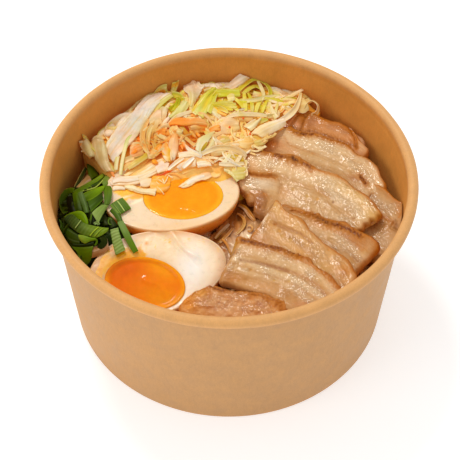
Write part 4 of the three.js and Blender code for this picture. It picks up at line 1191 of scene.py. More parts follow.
LOOKS = {
    'pork_wall_piece': belly_look([(0.55, 0.25, 0.5), (-0.4, 0.3, 0.5)], rear=(0.3, 0.8), ends=(0.2, 0.5), serr=(0, 1.3), lean=mix(LEAN, TAN, 0.5),
        wet_mask=[(370, 195, 15, 6, 45, 0.84), (388, 209, 9, 6, 20, 0.8), (380, 233, 12, 7, -60, 0.8), (396, 205, 4, 6, 0, 0.5)],
        extra=spots_lines([(366, 190, 9, 5, 50, RUST, 0.5), (373, 222, 9, 5, 60, LEAN, 0.6), (396, 225, 3, 5, 0, BROWN, 0.6), (399, 212, 3, 10, 0, GOLD, 0.6)],
                          [([(385, 190), (398, 194), (404, 199), (404, 208), (399, 217)], 1.2, GOLD, 0.8), ([(371, 220), (380, 215), (392, 222)], 0.9, RUST, 0.5)],
                          [([(395, 221), (391, 227), (398, 231)], 1.3, -0.8)])),
    'pork_rear_offcut': belly_look([(0.7, 0.4, 0.9)], rear=(0.05, 0.8), fat=lin(226, 198, 164), lean=lin(206, 162, 116),
        # the PALE line here: pale fat, partly painted highlight
        extra=spots_lines([(357, 139, 5, 3, 40, GOLD, 0.7)], [([(341, 124), (351, 127), (356, 133)], 1.0, PALE, 0.6)])),
    'pork_rear_slice': belly_look([(0.0, 0.3, 0.25)], rear=(0.5, 0.9), ends=(0.9, 0.5), lean=lin(186, 118, 62), fat=TAN,
        wet_mask=[(334, 128, 7, 3.2, 15, 0.8), (343, 131, 7, 3, 20, 0.8), (296, 128, 4, 2.5, 30, 0.9), (350, 142, 4, 2, 40, 0.6)],
        extra=spots_lines([(301, 120, 10, 6, -15, RUST, 0.75), (313, 117, 7, 4, 20, BROWN, 0.45), (310, 124, 4, 7, 25, BROWN, 0.35), (337, 135, 20, 7, 25, lin(206, 144, 88), 0.8), (362, 147, 6, 6, 0, lin(212, 168, 118), 0.8),
                           (296, 127, 4, 2.6, 20, lin(236, 170, 128), 0.7)],
                          [([(291, 128), (301, 132), (312, 131), (330, 137), (345, 143), (356, 146)], 1.6, BROWN, 0.5), ([(296, 118), (304, 113), (314, 115), (325, 121)], 1.3, RUST, 0.6),
                           ([(350, 129), (355, 137), (357, 147)], 0.9, RUST, 0.8), ([(306, 117), (303, 124), (300, 131)], 1.0, BROWN, 0.4)],
                          [([(306, 116), (304, 124), (303, 131)], 2.2, -0.5), ([(350, 128), (355, 137), (357, 148)], 1.5, -0.8)], raise_=[(298, 122, 8, 7, 0, 1.2), (326, 124, 6, 3, 20, 0.8), (342, 131, 5, 3, 20, 0.7)])),
    'pork_slice_1': belly_look([(0.62, 0.42, 1.0), (0.02, 0.14, 0.7)], rear=(0.55, 0.7), ends=(0.5, 0.5), serr=(0, 0.9), lean=mix(LEAN, TAN, 0.75),
        wet_mask=[(326, 146, 10, 4.2, 18, 0.9), (347, 159, 9, 2.2, 25, 0.6), (357, 167, 12, 4.2, 40, 0.95), (368, 178, 6, 4, 60, 0.9), (334, 154, 8, 2, 20, 0.5), (381, 171, 3, 8, -20, 0.5)],
        extra=spots_lines([(273, 146, 12, 8, -10, lin(190, 108, 34), 0.9), (268, 143, 4, 3, -40, RUST, 0.5), (290, 151, 9, 5, 25, lin(206, 142, 84), 0.7), (262, 151, 4, 3, 20, lin(238, 180, 134), 0.7),
                           (354, 178, 8, 3.6, 25, RUST, 0.7), (318, 159, 24, 5, 22, TAN, 0.5), (376, 176, 9, 10, 60, lin(214, 170, 120), 0.5)],
                          [([(284, 124), (291, 130), (299, 134), (312, 134), (322, 137), (345, 144), (357, 147)], 1.1, RUST, 0.8), ([(296, 132), (304, 134), (313, 134)], 1.5, BROWN, 0.8),
                           ([(283, 134), (288, 144), (300, 149), (318, 155)], 1.0, GOLD, 0.5), ([(357, 148), (368, 154), (377, 164), (383, 176), (386, 186)], 1.5, GOLD, 0.75),
                           ([(360, 176), (364, 181), (366, 184)], 1.4, BROWN, 0.9), ([(272, 139), (267, 143), (264, 150)], 1.2, BROWN, 0.5), ([(345, 155), (365, 168), (377, 184)], 1.3, lin(206, 160, 108), 0.5),
                           ([(278, 131), (274, 137), (270, 140)], 1.2, YEL, 0.7)],
                          [([(288, 143), (304, 150), (324, 157), (342, 167)], 1.4, -0.28), ([(360, 176), (365, 183)], 1.2, -0.7)], raise_=[(272, 147, 9, 6, 0, 0.6)])),
    'pork_slice_2': belly_look([(0.62, 0.34, 0.95), (0.02, 0.16, 0.5), (-0.32, 0.14, 0.6)], rear=(0.6, 0.7), ends=(0.3, 0.6), serr=(0, 1.4), lean=mix(LEAN, TAN, 0.6),
        wet_mask=[(272, 164, 8, 3.6, -35, 0.6), (326, 181, 11, 5, 5, 0.7), (334, 195, 15, 4.2, 28, 0.9), (354, 209, 13, 5, 38, 1.0), (250, 181, 9, 5, 10, 0.95), (256, 190, 8, 3, 20, 0.6), (259, 201, 5, 5, 0, 0.8),
                  (350, 187, 12, 4, 30, 0.6), (370, 205, 9, 5, 50, 0.6), (318, 201, 9, 3, 10, 0.4), (347, 221, 9, 5, 35, 0.7), (247, 166, 3, 9, 0, 0.6), (268, 212, 8, 2.5, 10, 0.5)],
        # the PALE spot here: pale fat, partly painted highlight
        extra=spots_lines([(257, 206, 9.5, 12, 0, RUST, 0.9), (262, 196, 6, 5, 10, RUST, 0.75), (250, 188, 7, 3, 20, TAN, 0.5), (262, 184, 12, 6, 5, PALE, 0.5), (284, 192, 6, 7, 20, lin(192, 134, 78), 0.7),
                           (284, 178, 5, 4, 30, LEAN, 0.4), (351, 192, 26, 5.5, 35, YEL, 0.5), (372, 216, 9, 7, 20, YEL, 0.6), (305, 170, 30, 6, 14, lin(226, 182, 132), 0.6), (252, 165, 6, 9, 0, lin(216, 162, 108), 0.6),
                           (305, 205, 16, 5, 10, TAN, 0.6), (258, 214, 7, 4, 0, BROWN, 0.4)],
                          [([(247, 152), (256, 151), (266, 153), (276, 155)], 1.3, RUST, 0.9), ([(276, 155), (286, 157), (294, 159), (303, 163), (312, 168)], 1.9, BROWN, 1.0), ([(293, 158), (296, 161)], 2.6, lin(90, 34, 2), 0.9),
                           ([(312, 168), (324, 172), (346, 179), (368, 197), (382, 214)], 1.6, GOLD, 0.85), ([(245, 172), (254, 174), (262, 175.5), (270, 175), (274, 177)], 1.5, RUST, 0.95),
                           ([(278, 177), (281, 184), (280, 192)], 1.4, LEAN, 0.6), ([(289, 210), (300, 212), (311, 214)], 1.2, RUST, 0.8), ([(383, 215), (377, 222), (370, 226), (364, 230), (357, 234)], 1.5, GOLD, 0.6),
                           ([(300, 184), (315, 188), (330, 197)], 1.0, LEAN, 0.35), ([(248, 196), (252, 192), (262, 192), (266, 195)], 1.1, GOLD, 0.7), ([(245, 176), (243, 184), (243, 190)], 1.4, lin(228, 176, 130), 0.6)],
                          [([(244, 173), (262, 175.5), (276, 176)], 1.6, -1.0), ([(279, 177), (281, 185), (279, 193)], 1.8, -0.4), ([(264, 193), (268, 200), (266, 208)], 1.6, -0.5), ([(296, 187), (312, 191), (328, 200), (344, 214)], 1.3, -0.3),
                           ([(320, 184), (340, 193), (362, 212)], 1.0, -0.25)],
                          [(307, 196, 1.5, YEL), (317.5, 199, 1.7, lin(220, 150, 40)), (333, 202, 1.1, BROWN), (354, 218, 1.0, RUST), (293, 189, 1.3, YEL), (260, 208, 1.0, BROWN), (325, 208, 1.0, LEAN)],
                          [(262, 184, 11, 6, 10, 0.8), (257, 204, 8, 9, 0, 0.7)])),
    'pork_slice_3': belly_look([(0.3, 0.3, 0.7), (-0.4, 0.3, 0.6)], rear=(0.75, 1.3), ends=(0.4, 0.5), lean=mix(LEAN, TAN, 0.5),
        wet_mask=[(341, 237, 8, 4, 20, 0.7), (348, 247, 10, 6, 35, 1.0), (335, 250, 7, 4, 40, 0.7), (358, 258, 8, 4, 40, 0.8), (352, 266, 5, 4, 30, 0.7), (300, 219, 8, 2, 15, 0.4)],
        extra=spots_lines([(316, 225, 14, 5, 25, lin(214, 160, 102), 0.7), (352, 238, 16, 5, 30, RUST, 0.6), (362, 246, 8, 6, 30, GOLD, 0.5), (300, 216, 8, 3, 10, YEL, 0.4)],
                          [([(308, 213), (316, 216), (322, 219), (330, 223), (340, 226), (350, 230), (360, 236)], 2.3, BROWN, 0.95), ([(292, 210), (302, 212.5), (310, 214)], 1.0, RUST, 0.8), ([(328, 228), (345, 236), (362, 250)], 1.6, GOLD, 0.5),
                           ([(318, 219), (327, 223)], 2.0, lin(90, 34, 2), 0.7), ([(318, 222), (324, 231)], 1.0, GOLD, 0.4)],
                          [([(330, 240), (345, 248), (356, 262)], 1.3, -0.3)])),
    'pork_slice_4': belly_look([(0.6, 0.34, 0.95), (-0.1, 0.2, 0.75), (-0.6, 0.2, 0.4)], rear=(0.25, 0.8), ends=(0.35, 0.5), lean=mix(LEAN, TAN, 0.25), fat=lin(204, 152, 90),
        wet_mask=[(262, 225, 4, 7, 25, 0.8), (270, 209, 3, 7, 25, 0.5), (317, 250, 8, 6, 45, 0.95), (298, 241, 9, 3, 25, 0.6), (338, 261, 6, 5, 45, 0.8), (342, 275, 5, 4, 30, 0.7), (326, 258, 7, 3, 50, 0.5)],
        extra=spots_lines([(278, 205, 4, 5, 20, YEL, 0.6), (252, 235, 5, 6, 30, RUST, 0.6), (259, 240, 8, 4, 10, GOLD, 0.7), (345, 271, 7, 6, 30, GOLD, 0.8), (300, 252, 12, 3, 30, lin(204, 142, 70), 0.6), (323, 268, 10, 5, 45, YEL, 0.4)],
                          [([(277, 201), (283, 207), (291, 213), (303, 222), (316, 234), (332, 248), (347, 261), (356, 274)], 1.1, GOLD, 0.8), ([(274, 223), (283, 227), (301, 234), (312, 243)], 1.5, lin(164, 104, 54), 0.65),
                           # the PALE line here: pale fat, partly painted highlight
                           ([(277, 205), (285, 213), (294, 219)], 0.9, GOLD, 0.6), ([(262, 223), (256, 232), (250, 239)], 1.1, GOLD, 0.6), ([(268, 214), (262, 223)], 1.1, PALE, 0.5)],
                          [([(272, 222), (284, 227), (302, 235), (314, 245)], 1.5, -0.42), ([(266, 218), (262, 222)], 2.4, 0.35)],
                          [(279.5, 231, 1.5, lin(206, 138, 40)), (290.5, 239.5, 1.4, YEL), (328.4, 250, 1.1, lin(206, 130, 30)), (275, 224, 1.3, GOLD), (282, 236, 1.0, YEL)])),
    'pork_slice_5': belly_look([(0.6, 0.3, 0.75), (-0.02, 0.16, 0.95), (-0.35, 0.12, 0.5)], rear=(0.85, 0.9), ends=(0.25, 0.4), lean=mix(LEAN, TAN, 0.5),
        wet_mask=[(267, 252, 7, 4, -20, 0.7), (284, 258, 6, 3, 0, 0.6), (237, 255, 3, 7, 10, 0.7), (230, 268, 3, 6, 35, 0.6), (262, 266, 12, 2.2, 12, 0.7), (267, 272, 3, 5, 0, 0.7), (300, 282, 14, 5, 30, 0.9), (298, 291, 9, 5, 30, 0.9),
                  (311, 275, 7, 5, 40, 0.8), (318, 292, 9, 4, 35, 1.0), (311, 302, 7, 3, 20, 0.9), (284, 292, 6, 6, 10, 0.4), (246, 270, 6, 2, 10, 0.5)],
        extra=spots_lines([(228, 277, 6, 8, 20, RUST, 0.55), (237, 279, 8, 4, 0, GOLD, 0.5), (262, 288, 18, 7, 10, lin(204, 148, 92), 0.6), (262, 251, 14, 4, 10, lin(222, 178, 134), 0.5), (302, 304, 10, 3, 0, lin(200, 132, 80), 0.5),
                           (236, 243, 4, 3, 0, YEL, 0.7)],
                          [([(237, 240), (242, 240)], 1.0, GOLD, 0.8), ([(242, 240), (252, 242.5), (262, 245), (276, 248), (284, 250), (292, 252.5), (298, 255)], 1.9, BROWN, 1.0), ([(290, 251.5), (297, 254)], 2.4, lin(90, 34, 2), 0.8),
                           ([(298, 255), (308, 259), (318, 266), (331, 278), (340, 289)], 1.8, RUST, 0.8), ([(300, 259), (320, 271), (334, 285)], 1.4, GOLD, 0.7),
                           ([(240, 260), (256, 262.5), (272, 266), (286, 270)], 1.5, lin(160, 104, 66), 0.7), ([(286, 270), (300, 275), (318, 285), (326, 297)], 1.0, lin(176, 118, 74), 0.4)],
                          [([(240, 260.5), (256, 263), (272, 266.5), (288, 271)], 1.5, -0.5), ([(288, 271), (306, 280), (324, 295)], 1.3, -0.3), ([(246, 280), (262, 279), (278, 286)], 1.6, -0.25)],
                          [(250.5, 270, 1.5, lin(190, 130, 50)), (289, 281, 1.3, YEL), (274, 280, 1.1, YEL), (266, 259, 0.9, LEAN)])),
    'pork_lean_end': belly_look([(0.1, 0.2, 0.25)], rear=(0.35, 0.8), ends=(0.5, 0.7), lean=lin(198, 136, 74), fat=lin(208, 152, 90), lumpy=0.8,
        wet_mask=[(216, 301, 10, 6, 0, 0.8), (229, 304, 8, 5, -30, 0.9), (241, 297, 8, 4, 10, 0.8), (262, 305, 8, 6, 15, 1.0), (246, 308, 8, 4, 0, 0.8), (200, 302, 9, 5, 0, 0.7), (269, 312, 8, 3, 10, 0.6), (233, 294, 6, 2, 0, 0.5)],
        extra=spots_lines([(209, 286, 5, 3.5, 20, RUST, 0.8), (222, 290, 8, 2.4, 5, BROWN, 0.5), (272, 300, 9, 4, 20, GOLD, 0.8), (279, 304, 3.5, 6, 0, RUST, 0.6), (240, 302, 20, 8, 0, lin(206, 146, 94), 0.5),
                           (188, 303, 9, 9, 0, lin(222, 140, 34), 0.85), (201, 294, 8, 3, -25, lin(216, 144, 50), 0.7), (226, 311, 14, 5, 0, lin(212, 160, 112), 0.6)],
                          [([(208, 285), (214, 288), (222, 290), (236, 290)], 1.4, BROWN, 0.7), ([(242, 290), (250, 293), (259, 295), (274, 300), (281, 303), (280, 310)], 1.3, RUST, 0.8)],
                          [([(222, 296), (230, 300), (238, 303)], 1.6, -0.4), ([(250, 298), (254, 304), (262, 309)], 1.5, -0.4), ([(206, 296), (214, 303), (222, 309)], 1.6, -0.4)])),
}
for sl in SLICES:
    make_slice(sl, LOOKS[sl['name']])

# -------------------------------------------------------------------------------------------------------------- heaps

def heap_reach(h, a):
    cx, cy = h['centre']
    dx, dy = np.cos(a), np.sin(a)
    b = cx * dx + cy * dy
    t = -b + np.sqrt(b * b - (cx * cx + cy * cy - h['wall'] ** 2))
    for nx, ny, d in h['limits']:
        q = nx * dx + ny * dy
        t = np.where(q > 1e-6, np.minimum(t, (d - nx * cx - ny * cy) / np.maximum(q, 1e-6)), t)
    return t * (1 - h['ripple'] * (1 + np.sin(7 * a + 1) * 0.6 + np.sin(13 * a) * 0.4))


def heap_top(h, x, y):
    cx, cy = h['centre']
    x, y = np.asarray(x, float), np.asarray(y, float)
    a = np.arctan2(y - cy, x - cx)
    f = np.clip(np.hypot(x - cx, y - cy) / heap_reach(h, a), 0, 1)
    return (h['edge'] + (h['top'] - h['edge']) * np.sqrt(np.maximum(0, 1 - f ** 2.6))
            + h['relief'] * bump_wave(x, y, 1) * (1 - 0.5 * f))


def bed_top(x, y):
    return BED['top'] + BED['relief'] * bump_wave(1.7 * x, 1.7 * y, 0.4)


def make_core(h, name, material, slot, node, colour_fn, sink, shrink=0.97, relief=0.7, dips=()):
    n, k = 60, 180
    a = 2 * np.pi * np.arange(k) / k
    t = heap_reach(h, a) * shrink
    rows = []
    for i in range(1, n + 1):
        f = i / n
        x, y = h['centre'][0] + t * f * np.cos(a), h['centre'][1] + t * f * np.sin(a)
        z = heap_top(h, x, y) - sink + relief * NZ.fbm(xyz(x * 0.28, y * 0.28, 1.0), 3)
        q = to_px(xyz(x, y, z))
        for dip in dips:
            z = z - dip[5] * blob(q, *dip[:5], 4)
        z = np.maximum(z, h['base'] + 0.5)
        rows.append(xyz(x, y, z))
    x, y = rows[-1][:, 0], rows[-1][:, 1]
    for f in (0.66, 0.33, 0.0):
        rows.append(xyz(x * (0.985 + 0.015 * f), y * (0.985 + 0.015 * f), h['base'] + (rows[n - 1][:, 2] - h['base']) * f))
    g = keep_inside(np.array(rows), 0.6)
    b = Batch()
    loft(b, g, colour_fn(g))
    return b.make(name, material, slot, (node,))


def cab_zone(px):
    """How green and how orange the salad is at a place of the picture."""
    green = np.maximum(blob(px, 236, 101, 38, 17, 5), 0.8 * blob(px, 180, 106, 16, 10))
    orange = np.maximum(blob(px, 170, 140, 36, 14, -15), 0.7 * blob(px, 205, 130, 16, 8))
    return green, orange


def cab_core_colour(g):
    f = NZ.fbm(g * 0.16, 3)
    px = to_px(g)
    green, orange = cab_zone(px)
    # the core shows only in the gaps among the shreds; its golden colour is painted shade of those gaps
    c = mix(lin(226, 152, 28), lin(240, 186, 74), step(-0.3, 0.4, f))
    c = mix(c, lin(190, 176, 16), 0.9 * green)
    c = mix(c, lin(226, 184, 92), 0.8 * blob(px, 290, 104, 24, 15, 0, 4))
    c = mix(c, mix(lin(222, 96, 6), lin(240, 140, 20), step(-0.3, 0.3, f)), 0.85 * orange)
    c = mix(c, lin(246, 208, 136), 0.8 * blob(px, 165, 169, 66, 11, -4))
    c = mix(c, lin(196, 160, 60), 0.85 * np.maximum(blob(px, 272, 144, 18, 14, 0, 4), blob(px, 246, 188, 14, 28, 0, 4)))
    return mix(c, lin(150, 108, 56), 0.9 * blob(px, 88, 158, 17, 22, -20))


def scal_core_colour(g):
    f = NZ.fbm(g * 0.14, 3)
    return mix(lin(14, 22, 2), lin(30, 44, 4), step(-0.3, 0.4, f))


make_core(CABBAGE, 'cabbage_core', M_CABB, 'cabbage', 'cabbage_heap', cab_core_colour, 1.5,
          dips=[(276, 146, 17, 15, 0, 4.5), (247, 190, 12, 26, 0, 4.5), (316, 108, 12, 10, 0, 3.0), (296, 128, 12, 10, 0, 3.0)])
make_core(SCALLION, 'green_onion_core', M_SCAL, 'green_onion', 'scallion_heap', scal_core_colour, 2.6, dips=[(71, 177, 16, 8, -51, 5.0), (101, 250, 10, 7, -30, 2.0)])

# ------------------------------------------------------------------------------------- placing pieces on what they lie on

def heap_hit(p, h):
    """Points (px, py, dz) of the picture frame on a heap's top (dz above it), or leaning on the wall behind it."""
    p = np.atleast_2d(np.asarray(p, float))
    zs = np.arange(73.0, 38.0, -0.2)
    out = []
    for x, y, dz in p:
        q = at_px(np.stack([np.full(len(zs), x), np.full(len(zs), y), zs], 1))
        room = inner_radius(zs) - 0.9 - np.hypot(q[:, 0], q[:, 1])
        inside = np.maximum.accumulate(room > 0)
        stop = inside & ((room <= 0) | (zs <= heap_top(h, q[:, 0], q[:, 1]) + dz))
        i = int(np.argmax(stop)) if stop.any() else len(zs) - 1
        out.append(q[i])
    return np.array(out)


def plane_hit(p, e):
    """Points (px, py, dz) of the picture frame on an egg's cut face, dz above it."""
    p = np.atleast_2d(np.asarray(p, float))
    n, _, _ = egg_frame(e)
    d = CF + CR * (p[:, :1] - 230) / FOCAL - CU * (p[:, 1:2] - 230) / FOCAL
    t = ((np.array(e['face']) - EYE) @ n + p[:, 2]) / (d @ n)
    return EYE + d * t[:, None]


SURF = dict(c=lambda p: heap_hit(p, CABBAGE), s=lambda p: heap_hit(p, SCALLION),
            b=lambda p: plane_hit(p, EGGS['back']), f=lambda p: plane_hit(p, EGGS['front']), z=at_px)


FLAT = {'c': 0.62, 's': 0.8, 'b': 0.6}                 # how far the pieces of each heap stand off it


def lay(surf, pts):
    """pts may name another surface for single points: (px, py, dz, 'b')."""
    out = []
    for q in pts:
        k = q[3] if len(q) > 3 else surf
        f = FLAT.get(k, 1.0)
        out.append(SURF[k](np.array([(q[0], q[1], q[2] * f if q[2] > 0 else q[2])], float)))
    return np.concatenate(out)


def tone(g, c0, c1, seed, amp=0.05, edge=None, lines=0.0, blush=0.3):
    """Colour over a grid: c0 to c1 along it, uneven, with other-coloured edges and lengthwise streaks."""
    n, m_ = g.shape[:2]
    u = np.linspace(0, 1, n)[:, None] * np.ones(m_)
    x = np.linspace(-1, 1, m_)[None, :] * np.ones((n, 1))
    wide = np.linalg.norm(g[:, -1] - g[:, 0], axis=-1).mean()
    long_ = np.linalg.norm(np.diff(g[:, m_ // 2], axis=0), axis=-1).sum()
    f = step(0.1, 0.9, u + 0.12 * NZ(xyz(u * 3, x, seed)))
    c = mix(lin(*c0), lin(*c1), f)
    if edge is not None:
        c = mix(c, lin(*edge), 0.85 * step(0.72, 1.0, np.abs(x)))
    c = c * (1 + amp * NZ.fbm(xyz(g[..., 0] * 0.3, g[..., 1] * 0.3, seed), 2))[..., None]
    if lines:                                # the green onion: veins, and little blue
        v, pale = veins(u, x, lines, seed)
        c = c * (1 + v)[..., None] * np.array([1.0, 0.97, 0.5])
        return mix(c, lin(176, 194, 140), pale)
    st = NY.fbm(xyz(x * wide * 0.55 + 3.1 * seed, u * long_ * 0.07, seed * 0.9), 2)
    c = c * (1 - step(0.25, 0.6, c[..., 1])[..., None] * np.array([0.16, 0.17, 0.13]))
    # streaks along the leaf: the golden ones are partly the leaf's own streaks and partly painted shade in its grooves,
    # the pale ones partly its own veins and partly painted highlight
    c = mix(c, c * np.array([0.97, 0.84, 0.5]), 0.6 * step(0.0, 0.45, st))
    c = mix(c, np.minimum(1, c * 0.5 + lin(255, 238, 208) * 0.52), 0.6 * step(0.0, 0.45, -st))
    if blush:                                # dressing and leaf green showing in patches
        f = NZ.fbm(xyz(g[..., 0] * 0.13, g[..., 1] * 0.13, g[..., 2] * 0.13 + seed * 0.7), 2)
        green, orange = cab_zone(to_px(g))
        c = mix(c, lin(238, 150, 44), np.clip(blush * (0.3 + 1.8 * orange) * step(-0.15, 0.3, f) + 0.22 * orange, 0, 0.85))
        c = mix(c, lin(212, 190, 34), np.clip(blush * (0.3 + 2.2 * green) * step(-0.1, 0.35, -f), 0, 0.85))
        q = to_px(g)
        # painted shade: six listed zones of the salad are made darker and more golden, standing in for the golden shade
        # among the shreds there
        zone_shade = 0.0
        for x_, y_, rx, ry, an, k in ((152, 139, 20, 17, -50, (.17, .22, .55)), (196, 132, 22, 12, -8, (.15, .14, .42)), (246, 134, 30, 20, 0, (0, .09, .3)),
                                      (292, 103, 20, 13, 0, (0, .08, .28)), (135, 125, 32, 10, -48, (.12, .04, -.02)), (97, 154, 15, 16, 0, (.17, .08, .2))):
            zone_shade = zone_shade + blob(q, x_, y_, rx, ry, an, 4)[..., None] * np.array(k)
        c = c * np.maximum(1 - zone_shade, 0.3)
    return c


def veins(u, x, lines, seed):
    """Lengthwise or crosswise veins: how much lighter the leaf is there, and how pale."""
    if not isinstance(lines, tuple):
        return lines * NY(xyz(x * 6, u * 0.6, seed)), 0.0
    amt, many, across, skew = lines
    if across:
        v = np.cos(2 * np.pi * many * (u + skew * x) + 1.6 * NY(xyz(u * 3, x * 0.5, seed)))
        return amt * v, amt * step(0.35, 1.0, v + 0.3 * NY(xyz(u * 9, x, seed + 2)))
    v = NY(xyz(x * many + skew * u, u * 0.4, seed))
    return amt * v, 0.8 * amt * step(0.2, 0.6, NY(xyz(x * many * 1.9 + 5, u * 0.3, seed + 3)))


def paint_depth_shade(batches, cell=0.4, reach=1.5):
    """Darkens each point by its depth among the shreds and turns it golden: painted shade and glow, tinted like the
    juices and the light through the leaves.
    """
    pts = []
    for b in batches:
        v, q = np.concatenate(b.v), np.concatenate(b.q)
        p = v[q]
        pts += [v, p.mean(1)] + [(p[:, i] + p[:, (i + 1) % 4]) / 2 for i in range(4)]
    pts = np.concatenate(pts)
    n = int(152 / cell)
    ij = np.clip(((pts[:, :2] + 76) / cell).astype(int), 0, n - 1)
    h = np.full((n, n), -1.0)
    np.maximum.at(h, (ij[:, 0], ij[:, 1]), pts[:, 2])
    ax = (np.arange(n) + 0.5) * cell - 76
    x, y = np.meshgrid(ax, ax, indexing='ij')
    h = np.maximum(h, heap_top(CABBAGE, x, y) - 1.2)
    k = np.exp(-0.5 * (np.minimum(np.arange(n), n - np.arange(n)) * cell / 1.3) ** 2)
    k = np.fft.fft2(np.outer(k, k) / (k.sum() ** 2))
    soft = np.fft.ifft2(np.fft.fft2(h) * k).real
    for b in batches:
        for i, v in enumerate(b.v):
            a = np.clip(((v[:, :2] + 76) / cell).astype(int), 0, n - 1)
            top, mean = h[a[:, 0], a[:, 1]], soft[a[:, 0], a[:, 1]]
            # o: depth among the shreds, which darkens the colour and turns it golden (painted shade)
            o = np.maximum(np.clip((mean - v[:, 2] + 0.15) / reach, 0, 1), 0.8 * np.clip((top - v[:, 2] - 0.35) / 0.6, 0, 1))[:, None]
            c = b.c[i] * (1 + o * (np.array([1.0, 0.82, 0.3]) - 1))
            c[:, 0] += (1 - c[:, 0]) * 0.5 * o[:, 0] * step(0.15, 0.5, c[:, 0])
            b.c[i] = c


PX = 2.2                                    # picture pixels per millimetre, for widths


def rib(batch, surf, pts, w, c0, c1=None, n=22, m_=4, th=0.26, seed=0, edge=None, lines=0.0, wet=0.3, **kw):
    v = lay(surf, pts)
    w = np.asarray(w, float) / PX
    g = ribbon_grid(v, w, n=n, m_=m_, seed=seed, **kw)
    sheet(batch, g, th, tone(g, c0, c1 or c0, seed, edge=edge, lines=lines, blush=0 if lines else 0.35), wet)


def leaf(batch, surf, a, b, c0, c1=None, n=20, m_=8, th=0.28, bulge=0.5, wave=0.4, seed=0, edge=None, ragged=0.16, lines=0.0, wet=0.3, ridge=0.0, fold=0.32):
    n, m_ = int(n * 1.2), max(8, int(m_ * 1.35))
    g = span_grid(lay(surf, a), lay(surf, b), n=n, m_=m_, bulge=bulge, wave=wave, seed=seed)
    if ragged:                               # torn and frilled edges
        size = np.linalg.norm(g[:, -1] - g[:, 0], axis=-1)[:, None, None]
        mid = g.mean(1, keepdims=True)
        x = np.abs(np.linspace(-1, 1, m_ + 1))[None, :, None] ** 1.5
        amt = NY.fbm(g * 0.75 + seed * 2.3, 3)[..., None] * ragged * 1.6
        g = g + unit(g - mid + 1e-6) * amt * x * np.minimum(1, size / 3)
        y = np.abs(np.linspace(-1, 1, n + 1))[:, None, None] ** 6
        g = g + unit(g - g.mean((0, 1)) + 1e-6) * NY.fbm(g * 0.9 + seed * 1.3 + 7, 2)[..., None] * ragged * 1.8 * y
        nrm = grid_normals(g)
        g = g + nrm * (NZ(g * 0.8 + seed)[..., None] * ragged * 1.0 * x)
    if fold:                                 # lengthwise folds and ribs
        wide = np.linalg.norm(g[:, -1] - g[:, 0], axis=-1).mean()
        long_ = np.linalg.norm(np.diff(g[:, m_ // 2], axis=0), axis=-1).sum()
        x = np.linspace(-1, 1, m_ + 1)[None, :] * np.ones((n + 1, 1))
        u = np.linspace(0, 1, n + 1)[:, None] * np.ones(m_ + 1)
        nrm = grid_normals(g)
        nrm = nrm * np.sign(nrm[..., 2].mean())
        st = NY(xyz(x * wide * 0.55 + 3.1 * seed, u * long_ * 0.07, seed * 0.9))
        g = g - nrm * (fold * (np.abs(st) * 1.6 - 0.3 + 0.5 * st))[..., None]
    if isinstance(lines, tuple) and lines[2]:   # crosswise ribs
        x = np.linspace(-1, 1, m_ + 1)[None, :] * np.ones((n + 1, 1))
        u = np.linspace(0, 1, n + 1)[:, None] * np.ones(m_ + 1)
        nrm = grid_normals(g)
        nrm = nrm * np.sign(nrm[..., 2].mean())
        g = g + nrm * (0.3 * veins(u, x, lines, seed)[0])[..., None]
    if ridge:
        x = np.linspace(0, 1, m_ + 1)[None, :]
        u = np.linspace(0, 1, n + 1)[:, None]
        nrm = grid_normals(g)
        nrm = nrm * np.sign(nrm[..., 2].mean())
        g = g + nrm * (ridge * np.cos(x * 14 + 1.2 * NZ(xyz(u * 2, x, seed))))[..., None]
    sheet(batch, g, th, tone(g, c0, c1 or c0, seed, edge=edge, lines=lines, blush=0 if lines else 0.35), wet)


WHT, CRM, PYG, YG, GRN = (255, 244, 220), (250, 224, 168), (236, 226, 110), (216, 210, 36), (184, 184, 14)
BEI, OLV, ORA, DOR, PNK, CRO = (236, 200, 130), (150, 124, 18), (244, 140, 40), (226, 96, 14), (250, 214, 184), (236, 176, 100)


